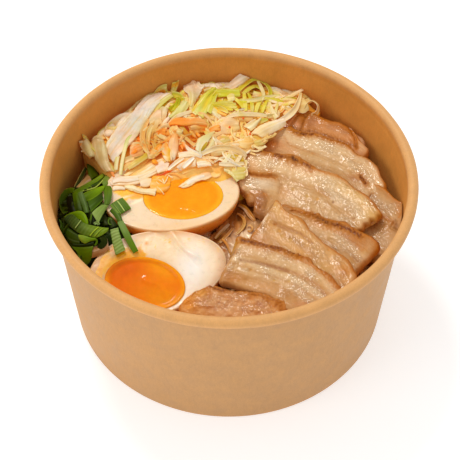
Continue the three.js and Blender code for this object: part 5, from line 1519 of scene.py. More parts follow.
def make_cabbage():
    c, k, loose = Batch(), Batch(), Batch()
    rs = np.random.RandomState(5)
    # loose shreds all over, under the larger pieces
    cx, cy = CABBAGE['centre']
    e = EGGS['back']

    def shred(i, x, y, hd, ln, bend, dz, w, tgt, c0, c1, arch=0.0, edge=None):
        pts = []
        for j in range(6):
            q = (j - 2.5) / 5 * ln
            h2 = hd + bend * q
            a, b_ = x + q * math.cos(h2), y + q * math.sin(h2)
            pts.append((a, b_, float(heap_top(CABBAGE, a, b_)) + dz + 0.5 * math.sin(2.1 * j + i) + arch * (1 - (2 * q / ln) ** 2)))
        pts = keep_inside(pts, 1.2)
        q = to_px(pts)
        u = (pts[:, 0] - e['face'][0]) / e['a'], (pts[:, 1] - e['face'][1]) / e['b']
        if ((u[0] ** 2 + u[1] ** 2 < 1.05) & (q[:, 1] > 160)).any():
            return
        if ((q[:, 0] > 249) & (q[:, 1] > 151) | (q[:, 0] > 266) & (q[:, 1] > 130) | (q[:, 0] > 284) & (q[:, 1] > 114)
                | (q[:, 0] < 104) & (q[:, 1] > 155 - 0.12 * (q[:, 0] - 70))).any():
            return
        g = ribbon_grid(pts, w, n=13, m_=3, roll=rs.uniform(-22, 22, 6), cup=rs.uniform(-0.15, 0.15), seed=i,
                        taper=(rs.choice([0, 0.25]), rs.choice([0, 0.35])), wave=rs.uniform(0.2, 0.9))
        sheet(tgt, g, 0.22, tone(g, c0, c1, i, edge=edge), 0.3, crisp=False)

    def tones(gr, og):
        t = rs.rand()
        if t < 0.8 * gr:
            return [(PYG, YG), (YG, (206, 196, 30)), (YG, PYG), ((232, 222, 140), PYG)][rs.randint(4)]
        if t < 0.8 * gr + 0.5 * og:
            return [((246, 196, 120), (248, 214, 160)), ((244, 176, 84), (246, 206, 150)), (CRM, (246, 190, 110))][rs.randint(3)]
        return [(WHT, CRM), (CRM, WHT), (CRM, WHT), (CRM, (246, 226, 150)), (WHT, (250, 214, 150))][rs.randint(5)]

    for i in range(230):
        a = rs.uniform(0, 2 * math.pi)
        r = float(heap_reach(CABBAGE, np.array(a))) * math.sqrt(rs.uniform(0, 1)) * 0.97
        x, y = cx + r * math.cos(a), cy + r * math.sin(a)
        gr, og = (float(q[0]) for q in cab_zone(to_px(np.array([[x, y, 60.0]]))))
        carrot = rs.rand() < 0.22 * og
        c0, c1 = ((ORA, DOR) if carrot else tones(gr, og))
        shred(i, x, y, rs.uniform(0, math.pi), rs.uniform(10, 26), rs.uniform(-0.06, 0.06), rs.uniform(-1.1, -0.2), rs.uniform(1.2, 4.2) * (0.7 if carrot else 1),
              k if carrot else loose, c0, c1, edge=YG if rs.rand() < 0.15 else None)
    # finer, longer shreds lying on top
    for i in range(150):
        u_ = rs.rand()
        mx, my, sx, sy = ((226, 141, 18, 18), (282, 105, 14, 8), (160, 140, 26, 16), (215, 128, 22, 12), (130, 160, 16, 9))[0 if u_ < .42 else 1 if u_ < .55 else 2 if u_ < .75 else 3 if u_ < .9 else 4]
        pxy = (rs.normal(mx, sx * 0.5), rs.normal(my, sy * 0.5))
        w0 = heap_hit([(pxy[0], pxy[1], 0.5)], CABBAGE)[0]
        gr, og = (float(q[0]) for q in cab_zone(np.array([[pxy[0], pxy[1]]])))
        c0, c1 = tones(0.5 * gr, og)
        shred(1000 + i, w0[0], w0[1], rs.uniform(0, math.pi), rs.uniform(8, 22), rs.uniform(-0.16, 0.16), rs.uniform(-0.1, 0.6), rs.uniform(0.8, 2.0), loose, c0, c1, arch=rs.uniform(0, 1.2))
    R = lambda *a_, **b_: rib(c, 'c', *a_, **b_)
    Lf = lambda *a_, **b_: leaf(c, 'c', *a_, **b_)
    C = lambda *a_, **b_: rib(k, 'c', *a_, **b_)
    # back row: olive curl, leaf behind the stem, upright piece, frilly leaf, large pale leaf
    R([(125, 114, 0), (133, 108, .6), (140, 100.5, 1), (148, 95, 1), (156, 93, .6)], 4.5, (206, 184, 126), (196, 176, 110), roll=40, cup=.2)
    Lf([(153, 94, .5), (160, 86, .8), (167, 84, 1.2)], [(154, 95, .3), (163, 92, .2), (167, 94, .4)], (186, 172, 84), (204, 192, 104), n=12, m_=6, bulge=.5, edge=(222, 212, 130))
    R([(166, 84, 1.3), (166, 89, .8), (167, 95, .4)], 2.4, (214, 204, 116), (224, 212, 130), n=10)
    Lf([(172, 83, 2.2), (171, 88, 1.8), (169, 94, 1.2)], [(179, 80, 2.6), (178, 86, 2.0), (174, 95, 1.2)], (222, 212, 104), (226, 214, 118), n=12, m_=5, bulge=.3, wave=.2)
    # the big white stem piece
    Lf([(106, 149, .2), (108, 141, .8), (118, 128, 1.2), (132, 113, 1.6), (141, 102, 1.6), (152, 95, 1.2)],
       [(114, 163, -.2), (122, 153, .8), (137, 137, 1.8), (147, 121, 2.2), (156, 108, 2.2), (171, 94, 1.8)],
       (240, 220, 194), (246, 232, 212), fold=.3, n=44, m_=16, bulge=.5, wave=.6, th=.9, ridge=.12, seed=3, edge=(246, 228, 190))
    Lf([(107, 157, -1.5), (112, 161, -1.2), (118, 158, -.6)], [(108, 150, -.4), (114, 156, .2), (121, 152, .3)], (230, 204, 168), n=10, m_=6, bulge=.8)
    # green loop and cream shreds right of the stem
    R([(170, 111, .4), (177, 106, .6), (181, 100, 1.2), (178, 96, 2.0), (172, 95, 2.4)], 6.5, GRN, (190, 188, 40), cup=.25, seed=4)
    R([(172, 95, 2.6), (160, 104, 2.4), (151, 116, 1.8), (146, 124, 1.4)], [5, 6, 5, 3], (222, 212, 130), (226, 214, 120), roll=-15, seed=5, edge=(206, 200, 84))
    R([(151, 117, 1.6), (146, 124, 1.2), (141, 131, .8)], [4, 4.5, 3], (220, 160, 24), (226, 172, 40), seed=6)
    Lf([(160, 107, 1.6), (157, 115, 1.6), (154, 124, 1.4)], [(168, 108, 1.0), (166, 118, 1.0), (164, 126, .8)], (226, 204, 150), (236, 206, 156), n=16, m_=6, bulge=.5, seed=7)
    R([(160, 112, 2.0), (154, 122, 2.0), (150, 130, 1.6), (147, 138, 1.2)], [2.5, 4, 4, 3], (238, 200, 146), (236, 180, 104), seed=8)
    R([(157, 118, 2.4), (156, 126, 2.2), (151, 134, 1.6), (148, 143, 1.0)], [3, 4, 3.5, 3], (248, 226, 180), (240, 192, 120), seed=9)
    R([(152, 124, 1.8), (146, 133, 1.6), (145, 141, 1.6), (147, 149, 1.2), (151, 156, .8)], [2.6, 3, 3, 3, 2], (238, 196, 130), (236, 200, 144), seed=10)
    R([(163, 122, 1.6), (160, 131, 1.6), (156, 140, 1.4), (152, 147, 1.0)], [3, 3.4, 3, 2], (240, 206, 150), (234, 190, 120), seed=11)
    # diagonal yellow leaf, frilly leaf with its stem
    Lf([(187, 94, 1.6), (181, 102, 1.2), (173, 112, .6), (166, 120, .2)], [(190, 106, 1.4), (184, 111, 1.0), (178, 114, .6), (172, 119, .2)], (236, 220, 150), (222, 208, 110), n=20, m_=7, bulge=.7, seed=12, edge=(208, 200, 96))
    Lf([(183.5, 88, 2.4), (184.5, 92, 2.2), (188, 96, 2.0), (189.5, 106, 1.6)], [(204.5, 86, 2.2), (202, 90, 2.0), (197, 99, 1.8), (192, 109.5, 1.4)], (228, 202, 166), (228, 214, 136), n=24, m_=10, bulge=1.3, wave=.9, seed=13, edge=(238, 222, 190))
    Lf([(184, 87.5, 2.6), (190, 84, 3.2), (193, 81, 3.6), (195, 82.5, 3.4)], [(186, 91, 2.4), (191, 89, 2.6), (196, 88, 2.8), (198, 88, 2.8)], (226, 200, 166), (230, 206, 172), n=16, m_=6, bulge=.5, wave=.8, seed=14)
    Lf([(195, 83, 3.4), (198.5, 80.5, 3.8), (200.5, 84, 3.2), (205, 86, 2.6)], [(193, 89, 2.8), (198, 89, 2.8), (201, 90, 2.6), (202, 90, 2.4)], (228, 204, 172), (232, 208, 176), n=16, m_=6, bulge=.4, wave=.8, seed=15)
    R([(190, 96, 3.0), (190.5, 101, 2.8), (190.5, 107, 2.4)], [2.6, 3, 1.6], (246, 230, 190), (236, 222, 160), n=12, seed=16)
    Lf([(179, 97, .4), (184, 93, .8), (187, 91, .8)], [(180, 101, .2), (185, 98, .6), (188, 96, .8)], (222, 204, 140), (214, 192, 130), n=10, m_=5, bulge=.4, seed=17)
    Lf([(204, 90, .6), (207, 88.5, 1.0), (211, 89, 1.0)], [(205, 94, .2), (208, 92, .6), (211, 92, .8)], (220, 196, 156), n=10, m_=5, bulge=.6, wave=.5, seed=18)
    # fan of yellow-green leaf, from its fold at the top down to the left
    Lf([(213, 88.5, 2.6), (205, 94, 2.8), (198, 102, 2.4), (190.5, 111, 1.4)], [(219, 91, 2.4), (213, 100, 2.4), (208, 110, 2.0), (203, 119, 1.0)], (206, 206, 50), (222, 222, 112), n=34, m_=16, bulge=.9, ridge=.34, fold=.35, seed=20)
    Lf([(209, 92, 3.2), (201, 99, 3.2), (195.5, 107, 2.6), (192, 113, 1.8)], [(211, 95, 3.0), (205, 102, 3.2), (200, 110, 2.6), (196, 116, 1.6)], (220, 220, 90), (234, 230, 150), n=28, m_=8, bulge=.5, fold=.5, seed=21)
    Lf([(214, 94, 2.8), (209, 102, 2.8), (205, 111, 2.2)], [(218, 94, 2.8), (215, 103, 2.6), (211, 114, 2.0)], (202, 202, 40), (222, 220, 108), n=24, m_=8, bulge=.5, fold=.5, seed=22)
    Lf([(190, 94, 1.6), (188.5, 103, 1.8), (189, 112, 1.2)], [(194, 94, 1.8), (194, 103, 2.0), (193, 112, 1.4)], (240, 228, 180), (230, 218, 140), n=20, m_=8, seed=23)
    Lf([(183, 101, 1.6), (175, 110, 2.0), (168, 117, 1.6)], [(190, 104, 1.8), (184, 113, 2.0), (175, 120.5, 1.4)], (228, 224, 146), (218, 216, 124), n=24, m_=12, bulge=.6, fold=.6, seed=24)
    Lf([(176, 97, 1.4), (175, 104, 1.4), (171, 111, 1.2)], [(181, 99, 1.4), (181, 106, 1.6), (176, 112, 1.4)], (160, 168, 20), (184, 186, 40), n=18, m_=10, bulge=.4, fold=.6, seed=25)
    # large pale leaf at the back and the loops beside it
    Lf([(221, 89, 1.0), (229, 83, 1.8), (240, 73.5, 3.0)], [(232, 91, 1.0), (238, 87, 1.8), (249.5, 78, 2.8)], (228, 210, 176), (236, 216, 186), n=20, m_=8, bulge=.9, wave=.5, seed=40, th=.8)
    Lf([(211, 90, 1.6), (224, 88.5, 1.8), (238, 88, 2.0)], [(212, 98, 1.4), (226, 97, 1.6), (240, 97, 1.8)], (206, 206, 50), (210, 210, 66), n=24, m_=12, bulge=1.0, wave=.6, ridge=.15, seed=41)
    R([(238, 91, 2.0), (246, 84, 2.6), (255, 79.5, 3.0), (264, 83, 2.8), (270, 90.5, 2.2), (269, 99, 1.4)], [4.5, 5, 4.5, 4.5, 4.5, 3], (206, 204, 58), (200, 200, 56), n=34, roll=[0, 20, 35, 40, 25, 0], cup=.2, seed=42, edge=(226, 220, 110))
    R([(243, 94, 1.8), (249, 89, 2.2), (256, 86, 2.4), (263, 91, 2.0), (262, 98, 1.4)], [3, 4.5, 5, 4.5, 3], (220, 212, 90), (196, 192, 50), n=26, roll=[0, 20, 30, 30, 0], seed=43)
    R([(257.5, 80.5, 3.6), (261, 87, 3.4), (263.5, 95, 3.0), (261.5, 101, 2.4)], [2, 3.4, 3.4, 2], (240, 230, 176), (232, 222, 150), n=20, seed=44)
    R([(239, 100.7, 2.4), (251, 100.7, 2.8), (266, 97.7, 2.8), (280, 95, 2.6)], [3, 4.4, 4.4, 2], (242, 232, 170), (240, 228, 164), n=26, cup=.2, seed=45, edge=(222, 212, 110))
    Lf([(239, 98, .8), (254, 98, 1.0), (268, 99, .8)], [(244, 114, .4), (256, 114, .6), (268, 113, .4)], (210, 210, 58), (202, 202, 44), n=24, m_=14, bulge=.6, wave=.9, fold=.9, seed=46)
    for j, (x0, y0, x1, y1) in enumerate([(244, 92, 246, 111), (248, 93, 252, 112), (262, 99, 256, 113), (267, 100, 262, 113), (231, 96, 243, 108), (228, 100, 240, 112)]):
        R([(x0, y0, 1.6), ((x0 + x1) / 2 + 2 * math.sin(j * 2), (y0 + y1) / 2, 2.0), (x1, y1, 1.0)], [2.4, 4, 2.6], YG if j % 2 else PYG, PYG, roll=25 * math.sin(j * 1.7), seed=50 + j)
    # yellow-green bunch in the middle, with an orange edge
    for j, (x1, y1) in enumerate([(233, 102), (236, 104), (237, 107), (233, 110), (228, 113)]):
        R([(211, 105 + j * .6, 2.0), (221, 103.5 + j * 1.3, 2.5), (x1, y1, 2.0)], [3, 4.6, 2], (226, 214, 96) if j % 2 else (206, 194, 30), (232, 222, 116), roll=[0, 20 - 9 * j, 0], cup=.2, seed=60 + j)
    Lf([(226, 93, 1.4), (230, 91, 1.6), (233, 93, 1.6)], [(228, 101, 2.0), (232, 101, 2.2), (235, 100, 2.0)], (234, 224, 130), (232, 222, 150), n=12, m_=6, seed=66)
    C([(210.5, 98, 1.8), (212, 103, 2.2), (217, 110.5, 2.4), (226.5, 115, 2.2)], [3, 3.4, 3, 2], (222, 168, 32), (252, 172, 56), n=22, seed=67)
    Lf([(212, 107, 1.4), (217, 110, 2.0), (222, 117, 1.4)], [(211, 114, 1.0), (215, 118, 1.4), (219, 121, 1.2)], (234, 226, 190), (240, 226, 180), n=12, m_=6, bulge=.6, wave=.7, seed=68)
    # pale band over the fan's foot, carrot strip under it
    R([(168.5, 124, 1.8), (175, 117.5, 2.4), (182, 114.5, 2.6), (192, 111.5, 2.4)], [2, 3.4, 4.2, 3], (242, 224, 170), (240, 228, 176), n=22, seed=70)
    gC = [(168.5, 124.4, 1.8), (175.5, 118.4, 2.4), (183, 118.3, 2.6), (190, 119.2, 2.6), (197.5, 118.6, 2.6), (203.5, 120.8, 2.4)]
    gD = [(170, 125.2, 1.6), (175.5, 124.8, 2.2), (183, 125.2, 2.4), (190, 125, 2.4), (198, 124.8, 2.4), (208.5, 126.2, 2.0)]
    leaf(k, 'c', gC, gD, (242, 140, 48), (248, 178, 112), n=34, m_=6, bulge=.4, wave=.3, th=.9, seed=71)
    R([(199, 121, 2.2), (205, 123, 2.0), (211, 127, 1.6)], [5, 5, 2], (232, 200, 120), (226, 190, 100), n=14, seed=72)
    Lf([(164.5, 135, .8), (168, 129.5, 1.4), (177, 125.2, 1.6)], [(166, 137, .8), (173, 134, 1.2), (179, 129, 1.4)], (232, 214, 130), (238, 220, 150), n=14, m_=6, bulge=.5, seed=73)
    Lf([(177, 130, 1.4), (179, 128.5, 1.6), (182, 131, 1.6)], [(177.5, 135, 1.0), (179.5, 136.5, 1.2), (182.5, 134, 1.4)], (244, 220, 172), n=10, m_=6, bulge=.8, seed=74)
    R([(180, 127, .8), (184, 131, .8), (188.5, 137.5, .4)], [4, 5, 2], (140, 124, 8), (214, 184, 20), n=12, seed=75)
    # carrot shreds and dressing in the middle
    for j, (x0, y0, x1, y1, w, cc) in enumerate([(208.5, 127.5, 220, 124.5, 3.6, 1), (204.5, 133, 219.5, 130, 3.4, 1), (206, 130, 214, 127.5, 3, 0), (149.8, 133, 152, 139.5, 3.2, 0), (157, 129, 165, 138, 5, 0),
                                                  (159, 128.5, 163, 133, 4, 1), (137.3, 135, 141, 140.5, 3.4, 2), (131, 154, 137, 149, 3, 1), (135, 150, 142, 145, 3.2, 1), (133, 147, 141, 150, 3, 3),
                                                  (155, 153, 161, 145, 2.6, 4), (161, 145, 168, 141.5, 2.6, 4), (154, 160, 158, 163, 4, 4), (196, 133, 200, 138, 3, 4), (190, 131, 196, 138, 3.4, 4), (216, 134, 223, 131, 2.4, 0),
                                                  (183, 139, 190, 146, 3.2, 5), (181, 146, 190, 152, 3, 5), (188, 142, 196, 140, 3, 5), (178, 138, 183, 150, 2.6, 6), (182, 138, 186, 150, 2.6, 6), (279, 111, 285, 112, 4, 4), (186, 150, 196, 147, 3.2, 5)]):
        cc0 = [DOR, ORA, (206, 54, 10), (246, 176, 120), (240, 160, 30), (176, 84, 16), (240, 178, 130)][cc]
        C([(x0, y0, .5 + .5 * math.sin(j)), ((x0 + x1) / 2 + 1.4 * math.sin(j * 3), (y0 + y1) / 2 + 1.2 * math.cos(j * 2), 1.0 + .6 * math.sin(j * 2)), (x1, y1, .5 + .4 * math.cos(j))], w, cc0, ORA if cc != 5 else (200, 110, 30), n=12, th=.8, seed=80 + j, taper=(.15, .3))
    # pink-white splinters and the thin strand
    Lf([(174.5, 135, 1.6), (169.5, 142, 2.2), (169.5, 152, 2.0), (172, 161, 1.2)], [(176.5, 136, 1.8), (178, 143, 2.4), (177, 152, 2.0), (173.5, 161, 1.2)], (248, 228, 192), (246, 226, 186), n=22, m_=7, bulge=.6, wave=.3, th=1.1, seed=110)
    Lf([(166.5, 142, 1.2), (162, 150, 1.4), (165, 158, 1.0)], [(169.5, 144, 1.4), (169.5, 153, 1.6), (170.5, 163, .8)], (242, 218, 164), (248, 196, 70), n=16, m_=6, bulge=.4, th=.8, seed=111)
    R([(150, 147, 1.4), (159, 143.5, 2.2), (169, 140.5, 2.2)], [1.4, 1.6, 1.4], (228, 192, 120), (240, 170, 90), n=16, seed=112)
    R([(184.5, 142.5, 1.6), (188.5, 149, 2.2), (194.5, 152.8, 2.4), (202, 156.5, 2.2)], [1.5, 3.4, 4.2, 4], (240, 226, 196), (242, 230, 206), n=22, cup=.15, seed=113, taper=(.3, 0))
    Lf([(195.5, 150, 2.0), (198, 139.5, 2.4), (205, 135, 2.8), (214.5, 131, 2.4)], [(202, 155, 2.2), (206, 145, 2.6), (210.5, 138.5, 2.8), (215.5, 132.5, 2.4)], (236, 230, 190), (240, 226, 176), n=24, m_=7, bulge=.3, wave=.3, seed=114)
    R([(201.5, 151, 2.7), (204, 147, 3.0), (207.2, 142.3, 3.0)], [1.6, 3, 1.4], (150, 136, 10), (176, 160, 20), n=10, th=.3, seed=115)
    Lf([(203, 150, 1.8), (208, 146, 2.2), (212, 139, 2.2)], [(206, 151.5, 1.6), (214.5, 146, 2.0), (213.5, 140, 2.0)], (238, 224, 170), (236, 220, 160), n=14, m_=6, seed=116)
    R([(210.5, 138, 2.4), (217, 134.5, 3.0), (223.5, 131.5, 2.8)], [3, 3.4, 3], (242, 226, 178), (244, 222, 180), n=14, seed=117)
    R([(202, 154, 2.2), (209, 150.8, 3.0), (217.5, 148, 3.4), (231, 148.5, 3.2), (240, 152, 2.6), (246, 157, 1.6)], [4, 4.4, 5, 5, 4.6, 3], (242, 224, 176), (238, 214, 158), n=34, cup=.2, roll=[0, -10, -20, -15, 0, 0], seed=118, edge=(248, 234, 200))
    R([(211, 155, 1.4), (218, 153.5, 1.8), (226, 152, 1.8)], [4, 5, 3], (206, 172, 108), (216, 184, 124), n=14, seed=119)
    # web of dressed shreds at the right
    Lf([(219.5, 124, 2.6), (221, 117.5, 2.8), (227, 117, 3.0), (237, 120, 3.0)], [(221, 133, 2.2), (226, 134, 2.6), (233, 133, 2.6), (240, 130, 2.4)], (246, 224, 186), (242, 214, 164), n=24, m_=9, bulge=.8, wave=.9, seed=120)
    R([(226, 118, 3.2), (237, 114.8, 3.6), (251, 114.3, 3.4), (267, 116, 2.8)], [3, 3.6, 4.4, 3], (246, 226, 178), (240, 224, 170), n=28, cup=.15, seed=121)
    Lf([(238, 117, 1.8), (247, 116, 2.0), (254, 117, 1.8)], [(239, 122, 1.6), (246, 122, 1.8), (252, 121, 1.6)], (240, 206, 140), (238, 206, 150), n=14, m_=6, seed=122)
    Lf([(244, 127, 2.4), (252, 123, 3.0), (260.5, 117.5, 2.8)], [(251, 131, 2.4), (257, 126, 3.0), (261.5, 119, 2.8)], (242, 234, 214), (240, 232, 204), n=18, m_=6, bulge=.5, seed=123)
    R([(250.5, 131, 1.8), (256, 124, 2.4), (262, 121, 2.4), (268, 119.5, 2.0)], [3, 5, 5, 2], (198, 194, 78), (210, 204, 90), n=18, seed=124)
    Lf([(251, 134, 1.8), (262, 125, 2.6), (274, 121, 2.8), (283, 119, 2.4)], [(262, 138, 1.6), (272, 133, 2.2), (280, 129, 2.4), (286, 124, 2.0)], (252, 232, 192), (255, 240, 208), n=30, m_=12, bulge=.8, wave=.4, th=.6, fold=.1, seed=125)
    R([(262, 128, 3.0), (271, 125, 3.2), (282, 121.5, 2.8)], [2, 3, 2], (248, 232, 200), (246, 228, 190), n=16, seed=126)
    Lf([(250, 137, 1.6), (258, 134, 1.8), (268, 132, 1.6)], [(251, 147, .8), (259, 147, 1.0), (268, 141, 1.0)], (226, 202, 116), (240, 220, 156), n=24, m_=12, bulge=.7, wave=.6, seed=127)
    Lf([(238, 139, 2.0), (245, 137, 2.4), (252, 138, 2.2)], [(240, 148, 1.6), (247, 149, 1.8), (254, 146, 1.6)], (250, 228, 172), (236, 196, 116), n=20, m_=10, bulge=.8, wave=.7, seed=128)
    R([(216, 147.5, 2.2), (227, 146.5, 2.6), (237, 149, 2.6), (246, 155, 2.0)], [3, 4.4, 4.6, 3], (246, 226, 176), (250, 234, 194), n=26, cup=.2, seed=129)
    Lf([(224, 153, .8), (233, 154, 1.0), (244, 157, .8)], [(223, 163, .6), (232, 164, .8), (243, 164, .6)], (222, 204, 70), (206, 176, 40), n=20, m_=12, bulge=.5, wave=.5, seed=131)
    R([(230, 154, 1.8), (227, 159, 2.0), (223, 164, 1.8)], [3, 3.6, 3], (244, 228, 170), (250, 234, 190), n=14, seed=132)
    R([(241, 155, 1.8), (238, 160, 2.0), (234, 166, 1.8)], [3, 3.6, 3], (246, 230, 180), (250, 234, 190), n=14, seed=133)
    R([(219, 164, 2.0), (230, 164.5, 2.4), (244, 163.5, 2.0)], [3, 4.2, 3], (248, 230, 184), (246, 226, 170), n=22, cup=.2, seed=134)
    Lf([(231, 166, .8), (238, 166, 1.0), (245, 166, .8)], [(234, 180, .4), (240, 180, .6), (245, 178, .4)], (226, 206, 120), (232, 208, 110), n=18, m_=10, bulge=.6, wave=.5, seed=135)
    Lf([(218, 138, 1.6), (222, 136, 2.0), (228, 137, 2.0)], [(220, 145, 1.4), (225, 146.5, 1.6), (230, 143, 1.6)], (212, 196, 116), (220, 200, 126), n=14, m_=7, bulge=.7, seed=127)
    web = (248, 222, 160)
    for j, (w, q) in enumerate([
            (2.0, [(231, 124), (228, 130), (224, 137), (219, 142), (222, 146), (228, 145), (231, 139), (230, 132)]), (1.8, [(236, 128), (234, 135), (237, 142), (243, 145), (249, 142)]),
            (2.2, [(240, 128), (245, 133), (246, 140), (243, 147)]), (1.8, [(232, 133), (239, 137), (247, 137), (255, 133), (262, 134)]), (2.4, [(248, 131), (252, 138), (259, 142), (266, 140)]),
            (1.8, [(238, 145), (244, 149), (251, 149), (258, 145), (262, 139)]), (2.2, [(250, 126), (249, 133), (253, 140), (252, 148)]), (2.4, [(256, 132), (262, 137), (270, 137), (276, 133)]),
            (1.6, [(231, 146), (238, 142), (246, 143), (253, 147)]), (2.6, [(242, 139), (250, 144), (259, 148), (266, 146)]), (1.8, [(226, 129), (232, 125), (239, 125), (245, 129)]),
            (1.6, [(222, 139), (228, 141), (234, 147), (236, 153)]), (1.8, [(257, 126), (262, 130), (268, 130), (273, 127)]), (1.6, [(244, 122), (250, 127), (258, 129), (265, 126)]),
            (2.0, [(234, 152), (240, 150), (248, 152), (256, 155)]), (1.8, [(244, 154), (250, 151), (258, 151), (264, 147)])]):
        R([(x, y, (1.2, 2.6, 1.6, 2.4, 1.4, 2.2, 1.6, 2.0)[(k2 + j) % 8]) for k2, (x, y) in enumerate(q)], w, web, (246, 210, 140) if j % 3 else (252, 232, 184), n=28, cup=.1, roll=20 * math.sin(j * 2.3), wave=.35, seed=130 + j)
    for j, (w, c0, q) in enumerate([
            (2.6, (250, 230, 184), [(207, 156), (214, 151.5), (223, 151), (232, 153), (239, 156.5), (245, 160)]), (2.4, (250, 228, 180), [(206, 158.5), (214, 158), (222, 160), (230, 163), (238, 164.5), (246, 165)]),
            (2.4, (248, 224, 170), [(225, 151), (227, 157), (231, 162), (234, 168)]), (2.2, (248, 220, 160), [(232, 150), (230, 156), (225, 161), (219, 165)]), (2.4, (250, 226, 176), [(240, 153), (238, 160), (233, 166)]),
            (2.2, (246, 220, 150), [(245, 157), (241, 163), (241, 170)]), (2.0, (250, 230, 190), [(214, 162), (222, 158), (231, 157), (240, 159)]), (3.4, (236, 220, 150), [(224, 170), (232, 171), (240, 172), (245, 170)]),
            (3.6, (232, 216, 140), [(227, 171), (233, 175), (238, 181)]), (2.6, (244, 226, 170), [(246, 160), (246, 168), (247, 176)]), (3.0, (240, 222, 160), [(222, 165), (230, 168), (238, 169), (246, 167)])]):
        R([(x, y, (.6, 1.6, 1.0, 1.8, .9, 1.4)[(k2 + j) % 6]) for k2, (x, y) in enumerate(q)], w, c0, CRM if j % 2 else c0, n=24, cup=.12, roll=18 * math.sin(j * 1.9), wave=.35, seed=150 + j)
    # curls at the right
    R([(281, 101.5, 1.6), (292, 95.5, 2.8), (302.5, 89.5, 4.0)], [4, 4, 3], (240, 222, 168), (244, 226, 180), n=22, roll=20, seed=160)
    R([(300.5, 92.5, 3.8), (299, 100, 3.6), (295, 109, 3.4), (288, 116.5, 3.2), (277, 122.5, 2.8)], [2.4, 4, 5.4, 6, 4], (246, 228, 180), (246, 230, 196), n=32, cup=.25, roll=[30, 25, 15, 0, 0], seed=161)
    R([(303, 108, 2.2), (306, 103, 2.8), (312, 101, 3.2), (317.5, 105, 3.0), (317, 112, 2.6), (311.5, 114.5, 2.2)], [4, 5, 5, 4.6, 4.6, 3], (234, 208, 150), (238, 210, 156), n=34, roll=[30, 50, 60, 60, 50, 40], cup=.15, seed=162)
    Lf([(296, 101, 1.8), (300, 97, 2.4), (306, 101, 2.4)], [(298, 112, 1.6), (304, 113, 1.8), (309, 109, 2.0)], (230, 204, 140), (236, 210, 150), n=16, m_=8, bulge=.9, wave=.4, seed=163)
    R([(268.5, 100.5, 1.6), (271.5, 110, 2.0), (277, 118, 2.0)], [3.5, 4.6, 4.6], (236, 222, 164), (240, 224, 170), n=18, seed=164)
    R([(278.5, 102, 2.2), (276.5, 108, 2.4), (275.5, 114, 2.0)], [1.8, 2.6, 2.4], (240, 226, 150), (236, 220, 150), n=12, seed=165)
    for j, (x0, y0, x1, y1, w, c0) in enumerate([(270, 91, 282, 97, 4, (220, 206, 112)), (272, 97, 284, 104, 4, (232, 212, 150)), (283, 103, 296, 104, 4, (228, 196, 130)), (280, 107, 292, 111, 4, (232, 200, 120)), (284, 99, 297, 97, 4, (236, 212, 160)),
                                                  (272, 103, 270, 113, 3.4, (226, 212, 120)), (262, 104, 270, 114, 4, (214, 204, 84)), (284, 115, 292, 108, 3.4, (240, 214, 160)), (264, 118, 276, 116, 4, (236, 222, 170))]):
        R([(x0, y0, .9), ((x0 + x1) / 2, (y0 + y1) / 2 - 1, 1.7), (x1, y1, .9)], w, c0, CRM, n=12, cup=.15, roll=25 * math.sin(j * 2.9), seed=170 + j)
    # left side: fleshy pale bodies, knob, long thin strands
    Lf([(79, 141, .6), (80.5, 146, .8), (85, 153, .6), (90, 158.5, .2)], [(86, 139, .8), (92, 146, 1.0), (95, 152, .6), (95, 157, .2)], (196, 166, 120), (204, 172, 126), n=18, m_=9, bulge=1.1, wave=.5, th=.9, seed=180)
    Lf([(93, 141, 1.2), (93, 151, .8), (98, 163, .2), (106, 172, -.2)], [(103, 140, 1.2), (107, 149, 1.0), (109, 161, .6), (114, 172, .2)], (204, 172, 124), (212, 178, 128), n=24, m_=9, bulge=1.0, wave=.7, th=.9, seed=181)
    R([(93, 141, 2.0), (96, 136.8, 2.4), (101, 139, 2.0), (104, 146, 1.4)], [3, 4, 3.6, 3], (220, 190, 140), (214, 184, 130), n=18, roll=30, seed=182)
    lump(c, lay('c', [(109, 133.5, 1.0)])[0], (4.2, 3.6, 2.6), lin(230, 202, 168), seed=4, turn=35)
    R([(82.5, 136, 1.8), (84.5, 138.5, 2.4), (92.5, 148, 2.4), (102.5, 156.5, 2.2), (109, 164.5, 1.6), (113, 172, .8)], [5.5, 5, 2.8, 3, 3.4, 4], (212, 194, 102), (216, 198, 120), n=36, seed=183, edge=(190, 172, 70))
    C([(110, 168, 1.0), (112, 172, 1.0), (114, 177, .6)], [1.6, 2.4, 1.4], (238, 150, 84), n=10, seed=184)
    R([(136, 135, 1.8), (128.5, 139, 2.4), (125, 149, 2.2), (122.5, 160, 1.8), (120.5, 175, 1.2)], [3.2, 3.8, 3.4, 3.4, 2.8], (226, 220, 136), (238, 226, 160), n=32, seed=185, edge=(204, 202, 96))
    R([(118, 156, 1.6), (116.5, 163, 1.6), (116, 170, 1.2)], [3.6, 3.6, 3], (228, 212, 130), (236, 222, 160), n=16, seed=186)
    Lf([(130, 144, .8), (134, 142, 1.2), (142, 143, 1.2)], [(130, 156, .4), (136, 157, .8), (144, 154, .8)], (240, 186, 136), (232, 200, 150), n=14, m_=8, bulge=.6, wave=.6, seed=187)
    for j, (x0, y0, x1, y1, w, c0) in enumerate([(122, 162, 136, 156, 5, (236, 206, 150)), (130, 160, 150, 155, 4, (230, 196, 130)), (138, 140, 146, 150, 4, (240, 206, 160)), (144, 146, 150, 158, 3.4, (236, 200, 140)), (124, 170, 132, 160, 5, (214, 184, 110)),
                                                  (135, 160, 147, 156, 4.6, (150, 122, 22)), (141, 148, 154, 152, 3, (236, 190, 120)), (176, 150, 183, 158, 3.4, (240, 214, 170)), (190, 150, 200, 158, 3, (238, 206, 156)), (152, 158, 162, 150, 3, (232, 190, 110)),
                                                  (163, 163, 168, 157, 3.4, (236, 196, 120)), (156, 148, 168, 155, 3, (222, 180, 90)), (180, 158, 190, 153, 4, (242, 220, 176))]):
